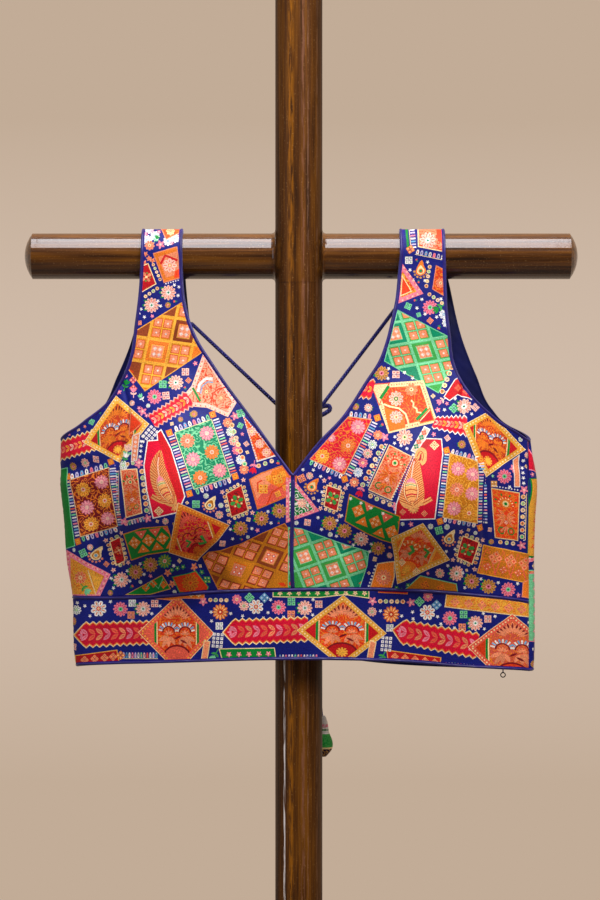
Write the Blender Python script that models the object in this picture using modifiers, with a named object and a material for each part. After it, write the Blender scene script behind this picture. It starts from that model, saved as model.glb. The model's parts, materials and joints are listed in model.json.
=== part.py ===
"""A choli blouse hung by its shoulder straps on a wooden cross rail.

Metres, +Z up. The origin is the middle of the post's foot, +X is the viewer's right and -Y the blouse's front.
Every cloth panel lies on one body form: a ring round the post at each height. A place on the form is
(turn, reach), where turn is the angle round the ring, 0 at the middle of the front and 90 degrees at the right
side, and reach is the height, which goes on as length of cloth where a strap bends over the rail.
"""

import math

import bmesh
import bpy
import numpy as np
from mathutils import Matrix

# Wooden cross rail
POST_RADIUS = 0.0200
POST_HEIGHT = 0.8000
POST_CHAMFER = 0.0015
RAIL_RADIUS = 0.0195
RAIL_HEIGHT = 0.5730
RAIL_LEFT = -0.2335
RAIL_RIGHT = 0.2375
RAIL_SETBACK = 0.0060  # the rail's axis, behind the post's
RAIL_END_DOME = 0.0068
RAIL_FLARE = 0.0035  # the rounding where the rail meets the post
ROUND_SIDES = 40

# Cloth
GAP = 0.0003  # between neighbouring solids
WALL = 0.0022
STRAP_WALL = 0.0030  # with the seam allowances folded in at the shoulder
STRAP_CLEARANCE = 0.0005
STRAP_BEND = RAIL_RADIUS + STRAP_CLEARANCE + STRAP_WALL  # outer radius of a strap over the rail
STRAP_FLAT_FROM = 0.5000  # above this height a strap leans in to the rail
SHOULDER_SEAM = math.radians(100)  # how far over the rail the front strap reaches
PIPING_RADIUS = 0.0012
PIPING_LIFT = -0.0005  # the piping's middle, from the cloth's outer face
PIPED_INSET = 2 * PIPING_RADIUS + GAP  # from a free edge to the panel inside its piping
CORDED_INSET = PIPING_RADIUS + GAP  # from the middle of a piped seam to the panel beside it
PLAIN_INSET = GAP / 2

# The body form: how far each ring reaches to both sides, to the front and to the back.
RINGS = (
    # height, left, right, front, back
    (0.210, -0.1850, 0.1980, 0.0370, 0.0285),
    (0.230, -0.1900, 0.2000, 0.0385, 0.0290),
    (0.255, -0.1915, 0.2005, 0.0395, 0.0295),
    (0.282, -0.1920, 0.2005, 0.0400, 0.0300),
    (0.315, -0.1970, 0.2000, 0.0440, 0.0300),
    (0.350, -0.1995, 0.2010, 0.0480, 0.0300),
    (0.380, -0.2025, 0.2025, 0.0490, 0.0300),
    (0.417, -0.2020, 0.1965, 0.0450, 0.0295),
    (0.450, -0.2020, 0.1965, 0.0390, 0.0290),
    (0.480, -0.2020, 0.1965, 0.0335, 0.0285),
    (0.510, -0.2020, 0.1965, 0.0300, 0.0285),
    (0.573, -0.2020, 0.1965, 0.0280, 0.0285),
)

# The two cups, as rounded swells of the front.
CUPS = (
    # x, height, half width, rise above, drop below, swell
    (-0.101, 0.364, 0.078, 0.125, 0.092, 0.041),
    (0.105, 0.365, 0.078, 0.125, 0.092, 0.041),
)

# Soft folds of the front, as low ridges and troughs.
FOLDS = (
    # x, height, lean from the upright in degrees, half length, half width, height of the ridge
    (-0.158, 0.318, 62, 0.040, 0.010, -0.0016),
    (-0.078, 0.312, -48, 0.030, 0.009, -0.0018),
    (0.074, 0.314, 50, 0.030, 0.009, -0.0018),
    (0.172, 0.330, -58, 0.038, 0.011, -0.0016),
    (-0.168, 0.395, -70, 0.034, 0.010, 0.0014),
    (0.166, 0.392, 66, 0.034, 0.010, 0.0014),
    (-0.030, 0.258, 8, 0.030, 0.024, -0.0012),
    (0.118, 0.255, -6, 0.030, 0.026, -0.0014),
    (-0.128, 0.252, 5, 0.030, 0.022, 0.0012),
)

# Edges and seams, as (x, height) on the front or the back of the form.
NECK_BOTTOM = (-0.0050, 0.3880)
NECK_FRONT_RIGHT = (
    (0.0855, 0.5730),
    (0.0838, 0.5580),
    (0.0812, 0.5340),
    (0.0775, 0.5170),
    (0.0735, 0.5005),
    (0.0672, 0.4835),
    (0.0562, 0.4665),
    (0.0335, 0.4330),
    (0.0175, 0.4165),
)
NECK_FRONT_LEFT = (
    (-0.0257, 0.4165),
    (-0.0375, 0.4330),
    (-0.0622, 0.4665),
    (-0.0737, 0.4835),
    (-0.0846, 0.5005),
    (-0.0915, 0.5170),
    (-0.0957, 0.5340),
    (-0.0980, 0.5580),
    (-0.0985, 0.5730),
)
NECK_BACK_LEFT = (
    (-0.0985, 0.5730),
    (-0.0965, 0.5450),
    (-0.0938, 0.5180),
    (-0.0885, 0.4700),
    (-0.0765, 0.4180),
    (-0.0480, 0.3680),
    (-0.0180, 0.3480),
)
NECK_BACK_MIDDLE = 0.3450
NECK_BACK_RIGHT = (
    (0.0180, 0.3480),
    (0.0500, 0.3680),
    (0.0800, 0.4180),
    (0.0920, 0.4700),
    (0.0945, 0.5180),
    (0.0900, 0.5480),
    (0.0855, 0.5730),
)
ARMHOLE_RIGHT_BACK = (
    (0.1240, 0.5730),
    (0.1290, 0.5505),
    (0.1410, 0.5000),
    (0.1521, 0.4715),
    (0.1645, 0.4440),
    (0.1830, 0.4270),
)
ARMHOLE_RIGHT_FRONT = (
    (0.1955, 0.4175),
    (0.1812, 0.4258),
    (0.1589, 0.4416),
    (0.1385, 0.4650),
    (0.1312, 0.4809),
    (0.1280, 0.5056),
    (0.1255, 0.5283),
    (0.1247, 0.5493),
    (0.1240, 0.5730),
)
ARMHOLE_LEFT_FRONT = (
    (-0.1335, 0.5730),
    (-0.1353, 0.5410),
    (-0.1387, 0.5123),
    (-0.1418, 0.4893),
    (-0.1500, 0.4670),
    (-0.1628, 0.4475),
    (-0.1788, 0.4350),
    (-0.1919, 0.4258),
)
ARMHOLE_LEFT_BACK = (
    (-0.1880, 0.4260),
    (-0.1690, 0.4430),
    (-0.1560, 0.4700),
    (-0.1440, 0.5000),
    (-0.1350, 0.5500),
    (-0.1335, 0.5730),
)
PRINCESS_SEAM_RIGHT = (
    (0.1588, 0.2850),
    (0.1555, 0.3210),
    (0.1546, 0.3500),
    (0.1530, 0.3830),
    (0.1496, 0.3980),
    (0.1430, 0.4165),
    (0.1380, 0.4320),
    (0.1370, 0.4500),
    (0.1385, 0.4650),
)
PRINCESS_SEAM_LEFT = (
    (-0.1500, 0.2835),
    (-0.1512, 0.3040),
    (-0.1526, 0.3330),
    (-0.1535, 0.3680),
    (-0.1510, 0.4000),
    (-0.1480, 0.4165),
    (-0.1440, 0.4320),
    (-0.1445, 0.4500),
    (-0.1500, 0.4670),
)
UNDERBUST = (
    (-0.1500, 0.2835),
    (-0.0740, 0.2890),
    (-0.0050, 0.2910),
    (0.0850, 0.2908),
    (0.1588, 0.2850),
    (0.1955, 0.2792),
)
HEM_FRONT = (
    (-0.1500, 0.2275),
    (-0.1160, 0.2300),
    (-0.0050, 0.2323),
    (0.0850, 0.2315),
    (0.1500, 0.2258),
    (0.1955, 0.2205),
)
HEM_BACK = ((0.1400, 0.2180), (0.0000, 0.2262), (-0.1400, 0.2215))
SIDE_SEAM_LEFT = math.radians(-94)
SEAM_LEFT_HEIGHTS = (0.2238, 0.2828, 0.4180)  # at the hem, the underbust and the armhole
SEAM_RIGHT_X = 0.1955

# How finely the panels are cut. Both sides of a panel have the same rows in all.
FRONT_COLUMNS = 10
SIDE_COLUMNS = 5
BACK_COLUMNS = 12
BAND_COLUMNS = 32
BAND_ROWS = 4
OVER_RAIL_ROWS = 5
NECK_ROWS = 16
CENTRE_ROWS = 8
PRINCESS_ROWS = 14
FRONT_ARMHOLE_ROWS = NECK_ROWS + CENTRE_ROWS - PRINCESS_ROWS
BACK_NECK_ROWS = 19
BACK_MIDDLE_ROWS = 8
BACK_SIDE_ROWS = 12
BACK_ARMHOLE_ROWS = BACK_NECK_ROWS + BACK_MIDDLE_ROWS - BACK_SIDE_ROWS

TURN_ROOM = 0.07  # a bend of one radian takes as many rows as this length of flat cloth
FINE_STEPS = 8  # on a smooth curve, for each row
NEARLY_STRAIGHT = 0.96  # cosine of the bend that counts as no corner
SHARP_ANGLE = math.radians(60)
MERGE = 0.00001
PIPING_END = 0.0012  # how far a capped piping stops before a side seam
CENTRE_HEAD = 0.0060  # how far the centre piping stops below the neckline
CENTRE_STEPS = 7

# Cords behind the neck, the knot and the hanging tassels
CORD_RADIUS = 0.00165
KNOT = (0.0040, 0.0300, 0.4255)
KNOT_SIZE = (0.0115, 0.0105, 0.0125)
DORI_LEFT_END = (-0.0921, 0.0254, 0.5165)
DORI_RIGHT_END = (0.0899, 0.0267, 0.5385)
CORD_STEP = 0.0080  # between the points of a cord
CORD_START = 0.0012  # clear of the knot
TAIL_SPREAD = 0.0030  # each tail from the knot's middle
TAIL_AT_WAIST = (0.0345, 0.3600)  # depth and height
TAIL_BELOW = 0.2700
TAIL_STRAIGHT = 0.0300  # above the tassel
TASSELS = {"left": (0.0010, 0.0375, 0.2040), "right": (0.0205, 0.0365, 0.1790)}  # x, depth, top
TASSEL_SIDES = 16
TASSEL_PROFILE = (
    # radius, drop below the tassel's top
    (0.0022, 0.0000),
    (0.0040, 0.0022),
    (0.0068, 0.0085),
    (0.0086, 0.0135),
    (0.0080, 0.0180),
    (0.0088, 0.0240),
    (0.0078, 0.0290),
    (0.0050, 0.0330),
    (0.0030, 0.0352),
)
EYE_PLACE = (0.1745, 0.2186)  # x and height of the back's hem where the eye hangs
EYE_RADIUS = 0.0020
EYE_WIRE = 0.0005
EYE_SIDES = 14

NAVY = (0.012, 0.020, 0.150, 1)
BROCADE = (0.020, 0.035, 0.180, 1)
PIPING_BLUE = (0.018, 0.012, 0.140, 1)
DARK_WOOD = (0.075, 0.032, 0.012, 1)
BLACK_METAL = (0.020, 0.020, 0.022, 1)
GREEN = (0.015, 0.250, 0.090, 1)


def smooth_value(at, places, values):
    """The value at a place on a smooth curve through rows of (place, value)."""
    slopes = np.gradient(values, places)
    at = min(max(at, places[0]), places[-1])
    row = min(max(int(np.searchsorted(places, at)) - 1, 0), len(places) - 2)
    step = places[row + 1] - places[row]
    t = (at - places[row]) / step
    rest = 1 - t
    ends = values[row] * (1 + 2 * t) * rest**2 + values[row + 1] * t**2 * (3 - 2 * t)
    bends = slopes[row] * t * rest**2 - slopes[row + 1] * t**2 * rest
    return float(ends + step * bends)


RING_TABLE = np.array(RINGS)


def ring(height):
    """The ring's middle, half width, front depth and back depth."""
    left, right, front, back = (
        smooth_value(height, RING_TABLE[:, 0], RING_TABLE[:, column]) for column in range(1, 5)
    )
    return (left + right) / 2, (right - left) / 2, front, back


def eased(at, start, stop):
    """0 below start, 1 above stop and a smooth rise between them."""
    t = min(max((at - start) / (stop - start), 0), 1)
    return t * t * (3 - 2 * t)


def swell(x, height):
    """How far the cups and the soft folds stand out of the plain ring."""
    out = 0.0
    for cup_x, cup_height, half_width, above, below, size in CUPS:
        span = above if height > cup_height else below
        away = ((x - cup_x) / half_width) ** 2 + ((height - cup_height) / span) ** 2
        out += size * (1 - away) ** 2 if away < 1 else 0.0
    for fold_x, fold_height, lean, half_length, half_width, ridge in FOLDS:
        tilt = math.radians(lean)
        right, up = x - fold_x, height - fold_height
        along = (right * math.sin(tilt) + up * math.cos(tilt)) / half_length
        across = (right * math.cos(tilt) - up * math.sin(tilt)) / half_width
        out += ridge * math.exp(-(along**2) - across**2)
    return out


def on_form(turn, reach):
    """The point of the form's outer face at this place."""
    height = min(reach, RAIL_HEIGHT)
    middle, half_width, front, back = ring(height)
    x = middle + half_width * math.sin(turn)
    lean = eased(height, STRAP_FLAT_FROM, RAIL_HEIGHT)
    forward = math.cos(turn)
    if forward > 0:
        depth = front * forward + swell(x, height) * (1 - lean) * min(1, 3 * forward)
    else:
        depth = -back * forward
    over = max(reach - RAIL_HEIGHT, 0) / STRAP_BEND
    depth = depth * (1 - lean) + STRAP_BEND * math.cos(over) * lean
    y = RAIL_SETBACK * lean + (-depth if forward > 0 else depth)
    return np.array((x, y, height + STRAP_BEND * math.sin(over)))


def slopes_at(turn, reach):
    """How the point moves with turn and with reach."""
    small_turn, small_reach = 1e-4, 2e-5
    by_turn = on_form(turn + small_turn, reach) - on_form(turn - small_turn, reach)
    by_reach = on_form(turn, reach + small_reach) - on_form(turn, reach - small_reach)
    return by_turn / (2 * small_turn), by_reach / (2 * small_reach)


def outward(turn, reach):
    """The unit normal of the form, pointing away from the wearer."""
    by_turn, by_reach = slopes_at(turn, reach)
    normal = np.cross(by_turn, by_reach)
    return normal / np.linalg.norm(normal)


def wall(reach):
    """The cloth's thickness."""
    return WALL + (STRAP_WALL - WALL) * eased(reach, STRAP_FLAT_FROM, RAIL_HEIGHT)


def front(x, height):
    """The place on the front that shows at x and height."""
    middle, half_width, _, _ = ring(height)
    return math.asin(min(max((x - middle) / half_width, -1), 1)), height


def back(x, height):
    """The place on the back that shows at x and height."""
    turn, reach = front(x, height)
    return math.pi - turn, reach


def round_again(places):
    """The same places, counted one whole turn further back."""
    return [(turn - 2 * math.pi, reach) for turn, reach in places]


def length_of(points):
    """The running length along a row of points."""
    steps = np.linalg.norm(np.diff(points, axis=0), axis=1)
    return np.concatenate(([0.0], np.cumsum(steps)))


def evenly(places, count):
    """count + 1 places along a row of places, closer together where the form bends, with both ends kept."""
    places = np.array(places)
    run = length_of(np.array([on_form(*place) for place in places]))
    run += TURN_ROOM * length_of(np.array([outward(*place) for place in places]))
    at = np.linspace(0, run[-1], count + 1)
    return np.column_stack([np.interp(at, run, places[:, column]) for column in (0, 1)])


def straight(start, stop, count):
    """count + 1 places, evenly spaced from start to stop across the form."""
    share = np.linspace(0, 1, 4 * count + 1)[:, None]
    return evenly((1 - share) * start + share * stop, count)


def smooth_path(rows, counts):
    """A smooth curve through rows of places, cut into pieces at the rows that counts names.

    counts lists (last row of a piece, number of steps in it). It returns one array of places for each piece.
    """
    rows = np.array(rows)
    run = length_of(np.array([on_form(*row) for row in rows]))
    pieces, begin = [], 0
    for end, count in counts:
        at = np.linspace(run[begin], run[end], FINE_STEPS * count + 1)
        fine = [[smooth_value(a, run, rows[:, column]) for column in (0, 1)] for a in at]
        pieces.append(evenly(fine, count))
        begin = end
    return pieces


def inset_step(place, before, after, inset_before, inset_after):
    """How a place of an outline moves so that both edges at it move in by their insets.

    The outline runs with the cloth on its left, seen from outside.
    """
    by_turn, by_reach = slopes_at(*place)
    normal = outward(*place)
    here = on_form(*place)
    rows, wanted = [], []
    for other, sign, inset in ((before, -1, inset_before), (after, 1, inset_after)):
        if other is not None:
            way = sign * (on_form(*other) - here)
            inward = np.cross(normal, way / np.linalg.norm(way))
            rows.append(inward)
            wanted.append(inset)
    if len(rows) == 1 or np.dot(rows[0], rows[1]) > NEARLY_STRAIGHT:
        inward = sum(rows) / np.linalg.norm(sum(rows))
        rows = [inward, np.cross(inward, normal)]
        wanted = [sum(wanted) / len(wanted), 0.0]
    slopes = np.array([[np.dot(row, by_turn), np.dot(row, by_reach)] for row in rows])
    return np.linalg.solve(slopes, wanted)


def inset_path(places, inset, closed=False):
    """An open or closed row of places, moved to its left."""
    moved = []
    for index, place in enumerate(places):
        before = places[index - 1] if index or closed else None
        after = places[(index + 1) % len(places)] if closed or index + 1 < len(places) else None
        moved.append(place + inset_step(place, before, after, inset, inset))
    return np.array(moved)


def panel_grid(bottom, right, top, left):
    """A grid of places inside four sides.

    Each side is a list of (places, inset), one entry for each seam along it. The sides follow each other
    round the panel with the cloth on their left: bottom, right going up, top, left going down.
    """
    outline, insets, corners = [], [], []
    for side in (bottom, right, top, left):
        corners.append(len(outline))
        for places, inset in side:
            outline += [np.array(place) for place in places[:-1]]
            insets += [inset] * (len(places) - 1)
    total = len(outline)
    moved = []
    for index in range(total):
        before, after = outline[index - 1], outline[(index + 1) % total]
        step = inset_step(outline[index], before, after, insets[index - 1], insets[index])
        moved.append(outline[index] + step)
    ring_of = np.array(moved + [moved[0]])
    low = ring_of[corners[0] : corners[1] + 1]
    far = ring_of[corners[1] : corners[2] + 1]
    high = ring_of[corners[2] : corners[3] + 1][::-1]
    near = ring_of[corners[3] :][::-1]
    rows = len(far) - 1
    lines = np.array([straight(near[row], far[row], len(low) - 1) for row in range(rows + 1)])
    up = np.linspace(0, 1, rows + 1)[:, None, None]
    return lines + (1 - up) * (low - lines[0]) + up * (high - lines[-1])


def finish(name, color, roughness, metallic=0.0):
    """A plain material."""
    material = bpy.data.materials.get(name) or bpy.data.materials.new(name)
    material.use_nodes = True
    shader = material.node_tree.nodes["Principled BSDF"]
    shader.inputs["Base Color"].default_value = color
    shader.inputs["Roughness"].default_value = roughness
    shader.inputs["Metallic"].default_value = metallic
    return material


def add_mesh(name, collection, material, mesh_maker):
    """A new mesh object, filled by mesh_maker."""
    made = bmesh.new()
    mesh_maker(made)
    mesh = bpy.data.meshes.new(name)
    made.to_mesh(mesh)
    made.free()
    mesh.materials.append(material)
    mesh.shade_smooth()
    mesh.set_sharp_from_angle(angle=SHARP_ANGLE)
    thing = bpy.data.objects.new(name, mesh)
    collection.objects.link(thing)
    return thing


def add_cloth(name, collection, material, grids):
    """A panel of cloth: the outer face of its grids, an inner face one wall further in, and the edges between."""

    def build(made):
        outer, inner, faces = {}, {}, []
        for grid in grids:
            keys = []
            for line in grid:
                row = []
                for place in line:
                    point = on_form(*place)
                    key = tuple(np.round(point, 6))
                    if key not in outer:
                        outer[key] = made.verts.new(point)
                        inner[key] = made.verts.new(point - outward(*place) * wall(place[1]))
                    row.append(key)
                keys.append(row)
            for low, high in zip(keys, keys[1:]):
                for column in range(len(low) - 1):
                    faces.append((low[column], low[column + 1], high[column + 1], high[column]))
        edges = {}
        for face in faces:
            made.faces.new([outer[key] for key in face])
            made.faces.new([inner[key] for key in reversed(face)])
            for start, stop in zip(face, face[1:] + face[:1]):
                edges[(start, stop)] = True
        for start, stop in edges:
            if (stop, start) not in edges:
                made.faces.new([outer[stop], outer[start], inner[start], inner[stop]])

    return add_mesh(name, collection, material, build)


def add_tube(name, collection, material, points, radius, sides_level=1, closed=False):
    """A round tube along a row of points."""
    curve = bpy.data.curves.new(name, "CURVE")
    curve.dimensions = "3D"
    curve.bevel_depth = radius
    curve.bevel_resolution = sides_level
    curve.use_fill_caps = not closed
    line = curve.splines.new("POLY")
    line.points.add(len(points) - 1)
    for spot, point in zip(line.points, points):
        spot.co = (*point, 1)
    line.use_cyclic_u = closed
    curve.materials.append(material)
    thing = bpy.data.objects.new(name, curve)
    collection.objects.link(thing)
    return thing


def add_turned(name, collection, material, profile, place, sides):
    """A turned solid: a profile of (radius, height) rows, screwed round the upright line through place."""

    def build(made):
        spots = [made.verts.new((radius, 0, height)) for radius, height in profile]
        for start, stop in zip(spots, spots[1:]):
            made.edges.new((start, stop))

    thing = add_mesh(name, collection, material, build)
    thing.location = place
    turn = thing.modifiers.new("turn", "SCREW")
    turn.steps = sides
    turn.render_steps = sides
    turn.use_merge_vertices = True
    turn.merge_threshold = MERGE
    return thing


def edge_points(places):
    """Where a tube runs along the cloth's edge."""
    return [on_form(*place) + outward(*place) * PIPING_LIFT for place in places]


def thinned(points, step):
    """Points about one step apart along a row of points, with both ends kept."""
    points = np.array(points)
    run = length_of(points)
    count = max(2, round(run[-1] / step))
    at = np.linspace(0, run[-1], count + 1)
    return np.column_stack([np.interp(at, run, points[:, axis]) for axis in range(3)])


def curve_through(points, step):
    """Points about one step apart on a smooth curve through a few points."""
    points = np.array(points)
    run = length_of(points)
    at = np.linspace(0, run[-1], 200)
    fine = [[smooth_value(a, run, points[:, axis]) for axis in range(3)] for a in at]
    return thinned(fine, step)


class Edges:
    """The blouse's seams and free edges as rows of places, each cut where another seam meets it."""

    def __init__(self):
        over_front = RAIL_HEIGHT + STRAP_BEND * SHOULDER_SEAM
        over_back = RAIL_HEIGHT + STRAP_BEND * (math.pi - SHOULDER_SEAM)
        self.over = {"front": over_front, "back": over_back}
        neck_right = self.rows(front, NECK_FRONT_RIGHT)
        neck_left = self.rows(front, NECK_FRONT_LEFT)
        bottom = front(*NECK_BOTTOM)
        hung = (neck_right[0][0], over_front)
        held = (neck_left[-1][0], over_front)
        self.neck_right = self.with_strap(hung, [*neck_right, bottom], NECK_ROWS)
        self.neck_left = self.with_strap(held, [*neck_left[::-1], bottom], NECK_ROWS)[::-1]
        back_left = self.rows(back, NECK_BACK_LEFT)
        back_right = self.rows(back, NECK_BACK_RIGHT)
        whole = [*back_left, (math.pi, NECK_BACK_MIDDLE), *back_right]
        pieces = smooth_path(whole, ((len(back_left), BACK_NECK_ROWS), (len(whole) - 1, BACK_NECK_ROWS)))
        top_left = self.strap_rows((back_left[0][0], over_back), pieces[0][0])
        top_right = self.strap_rows((back_right[-1][0], over_back), pieces[1][-1])
        self.neck_back_left = np.vstack((top_left, pieces[0]))
        self.neck_back_right = np.vstack((pieces[1], top_right[::-1]))
        self.cut_armholes()
        self.cut_seams()

    @staticmethod
    def rows(face, table):
        """A table's places on one face."""
        return [face(x, height) for x, height in table]

    @staticmethod
    def strap_rows(top, foot):
        """The rows over the rail, without the last one."""
        return evenly((top, foot), OVER_RAIL_ROWS)[:-1]

    def with_strap(self, top, rows, count):
        """A smooth curve down from the rail, with the rows over the rail before it."""
        (smooth,) = smooth_path(rows, ((len(rows) - 1, count),))
        return np.vstack((self.strap_rows(top, smooth[0]), smooth))

    def cut_armholes(self):
        """Each armhole runs towards smaller turns: down one strap, round the side and up the other."""
        behind = self.rows(back, ARMHOLE_RIGHT_BACK)
        ahead = self.rows(front, ARMHOLE_RIGHT_FRONT)
        whole = [*behind, *ahead]
        side = len(behind)
        counts = (BACK_ARMHOLE_ROWS, SIDE_COLUMNS, FRONT_ARMHOLE_ROWS)
        pieces = smooth_path(whole, tuple(zip((side, side + 3, len(whole) - 1), counts)))
        top = self.strap_rows((behind[0][0], self.over["back"]), pieces[0][0])
        last = self.strap_rows((ahead[-1][0], self.over["front"]), pieces[2][-1])[::-1]
        self.armhole_right = (np.vstack((top, pieces[0])), pieces[1], np.vstack((pieces[2], last)))
        ahead = self.rows(front, ARMHOLE_LEFT_FRONT)
        behind = round_again(self.rows(back, ARMHOLE_LEFT_BACK))
        whole = [*ahead, (SIDE_SEAM_LEFT, SEAM_LEFT_HEIGHTS[2]), *behind]
        side = len(ahead)
        pieces = smooth_path(whole, tuple(zip((4, side, len(whole) - 1), counts[::-1])))
        top = self.strap_rows((ahead[0][0], self.over["front"]), pieces[0][0])
        last = self.strap_rows((behind[-1][0], self.over["back"]), pieces[2][-1])[::-1]
        self.armhole_left = (np.vstack((top, pieces[0])), pieces[1], np.vstack((pieces[2], last)))

    def cut_seams(self):
        """The seams inside the front and the back, and the hem, all towards larger turns or upwards."""
        hem_seam, bust_seam, arm_seam = SEAM_LEFT_HEIGHTS
        under = [(SIDE_SEAM_LEFT, bust_seam), *self.rows(front, UNDERBUST)]
        self.underbust = smooth_path(
            under, ((1, SIDE_COLUMNS), (3, FRONT_COLUMNS), (5, FRONT_COLUMNS), (6, SIDE_COLUMNS))
        )
        hem = [(SIDE_SEAM_LEFT, hem_seam), *self.rows(front, HEM_FRONT)]
        (self.hem_front,) = smooth_path(hem, ((len(hem) - 1, BAND_COLUMNS),))
        last = (SIDE_SEAM_LEFT + 2 * math.pi, hem_seam)
        hem = [hem[-1], *self.rows(back, HEM_BACK), last]
        self.hem_back = smooth_path(hem, ((2, BACK_COLUMNS), (4, BACK_COLUMNS)))
        self.underbust_band = evenly(np.vstack(self.underbust), BAND_COLUMNS)
        (self.princess_right,) = smooth_path(
            self.rows(front, PRINCESS_SEAM_RIGHT), ((len(PRINCESS_SEAM_RIGHT) - 1, PRINCESS_ROWS),)
        )
        (self.princess_left,) = smooth_path(
            self.rows(front, PRINCESS_SEAM_LEFT), ((len(PRINCESS_SEAM_LEFT) - 1, PRINCESS_ROWS),)
        )
        middle = (self.underbust[2][0], self.neck_left[0])
        self.centre = evenly(middle, CENTRE_ROWS)
        left = [(SIDE_SEAM_LEFT, height) for height in SEAM_LEFT_HEIGHTS]
        self.left_band = evenly(left[:2], BAND_ROWS)
        self.left_side = evenly(left[1:], PRINCESS_ROWS)
        heights = (self.hem_front[-1][1], self.underbust[3][-1][1], self.armhole_right[1][0][1])
        self.right_band = self.right_seam(heights[0], heights[1], BAND_ROWS)
        self.right_side = self.right_seam(heights[1], heights[2], PRINCESS_ROWS)
        self.right_back = self.right_seam(heights[0], heights[2], BACK_SIDE_ROWS)
        self.left_back = evenly(round_forward((left[0], left[2])), BACK_SIDE_ROWS)
        self.back_middle = evenly((self.hem_back[0][-1], self.neck_back_right[0]), BACK_MIDDLE_ROWS)

    @staticmethod
    def right_seam(low, high, count):
        """The right side seam between two heights."""
        return np.array([front(SEAM_RIGHT_X, height) for height in np.linspace(low, high, count + 1)])


def round_forward(places):
    """The same places, counted one whole turn further on."""
    return [(turn + 2 * math.pi, reach) for turn, reach in places]


def build_front(edges, collection, cloth):
    """The two cupped fronts with their straps, the two side pieces and the band under them."""
    centre, bottom = edges.centre, edges.underbust
    strap_top = evenly((edges.armhole_right[2][-1], edges.neck_right[0]), FRONT_COLUMNS)
    grid = panel_grid(
        [(bottom[2], CORDED_INSET)],
        [(edges.princess_right, PLAIN_INSET), (edges.armhole_right[2], PIPED_INSET)],
        [(strap_top, PLAIN_INSET)],
        [(edges.neck_right, PIPED_INSET), (centre[::-1], CORDED_INSET)],
    )
    add_cloth("front_centre_right", collection, cloth, [grid])
    strap_top = evenly((edges.neck_left[-1], edges.armhole_left[0][0]), FRONT_COLUMNS)
    grid = panel_grid(
        [(bottom[1], CORDED_INSET)],
        [(centre, CORDED_INSET), (edges.neck_left, PIPED_INSET)],
        [(strap_top, PLAIN_INSET)],
        [(edges.armhole_left[0], PIPED_INSET), (edges.princess_left[::-1], PLAIN_INSET)],
    )
    add_cloth("front_centre_left", collection, cloth, [grid])
    grid = panel_grid(
        [(bottom[3], CORDED_INSET)],
        [(edges.right_side, PLAIN_INSET)],
        [(edges.armhole_right[1], PIPED_INSET)],
        [(edges.princess_right[::-1], PLAIN_INSET)],
    )
    add_cloth("front_side_right", collection, cloth, [grid])
    grid = panel_grid(
        [(bottom[0], CORDED_INSET)],
        [(edges.princess_left, PLAIN_INSET)],
        [(edges.armhole_left[1], PIPED_INSET)],
        [(edges.left_side[::-1], PLAIN_INSET)],
    )
    add_cloth("front_side_left", collection, cloth, [grid])
    grid = panel_grid(
        [(edges.hem_front, PIPED_INSET)],
        [(edges.right_band, PLAIN_INSET)],
        [(edges.underbust_band[::-1], CORDED_INSET)],
        [(edges.left_band[::-1], PLAIN_INSET)],
    )
    add_cloth("band_front", collection, cloth, [grid])


def build_back(edges, collection, cloth):
    """The back with its two straps, in one piece whose halves meet at the middle."""
    middle = edges.back_middle
    strap_top = evenly((edges.neck_back_right[-1], edges.armhole_right[0][0]), BACK_COLUMNS)
    right_half = panel_grid(
        [(edges.hem_back[0], PIPED_INSET)],
        [(middle, 0.0), (edges.neck_back_right, PIPED_INSET)],
        [(strap_top, PLAIN_INSET)],
        [(edges.armhole_right[0], PIPED_INSET), (edges.right_back[::-1], PLAIN_INSET)],
    )
    armhole = round_forward(edges.armhole_left[2])
    strap_top = evenly((armhole[-1], edges.neck_back_left[0]), BACK_COLUMNS)
    left_half = panel_grid(
        [(edges.hem_back[1], PIPED_INSET)],
        [(edges.left_back, PLAIN_INSET), (armhole, PIPED_INSET)],
        [(strap_top, PLAIN_INSET)],
        [(edges.neck_back_left, PIPED_INSET), (middle[::-1], 0.0)],
    )
    add_cloth("back", collection, cloth, [right_half, left_half])


def build_piping(edges, collection, fabric):
    """Piping round the neck, the armholes and the hem, down the middle and under the bust."""
    neck_front = np.vstack((edges.neck_right, edges.neck_left[1:]))
    neck_back = np.vstack((edges.neck_back_left, edges.neck_back_right[1:]))
    ahead = edge_points(inset_path(neck_front, PIPING_RADIUS))
    behind = edge_points(inset_path(neck_back, PIPING_RADIUS))
    add_tube("neck_piping", collection, fabric, [*ahead, *behind[1:-1]], PIPING_RADIUS, closed=True)
    for side, pieces in (("right", edges.armhole_right), ("left", edges.armhole_left)):
        whole = np.vstack((pieces[0], pieces[1][1:], pieces[2][1:]))
        points = edge_points(inset_path(whole, PIPING_RADIUS))[:-1]
        add_tube(f"armhole_piping_{side}", collection, fabric, points, PIPING_RADIUS, closed=True)
    hem = np.vstack((edges.hem_front, edges.hem_back[0][1:], edges.hem_back[1][1:]))
    points = edge_points(inset_path(hem, PIPING_RADIUS))[:-1]
    add_tube("hem_piping", collection, fabric, points, PIPING_RADIUS, closed=True)
    under = edge_points(evenly(np.vstack(edges.underbust), BAND_COLUMNS))
    for end, beside in ((0, 1), (-1, -2)):
        way = under[beside] - under[end]
        under[end] = under[end] + way * PIPING_END / np.linalg.norm(way)
    add_tube("underbust_piping", collection, fabric, under, PIPING_RADIUS)
    low, high = edges.centre[0], edges.centre[-1]
    foot = (low[0], low[1] + 2 * PIPING_RADIUS + GAP)
    head = (high[0], high[1] - CENTRE_HEAD)
    line = edge_points(evenly((foot, head), CENTRE_STEPS))
    add_tube("centre_piping", collection, fabric, line, PIPING_RADIUS)


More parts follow.
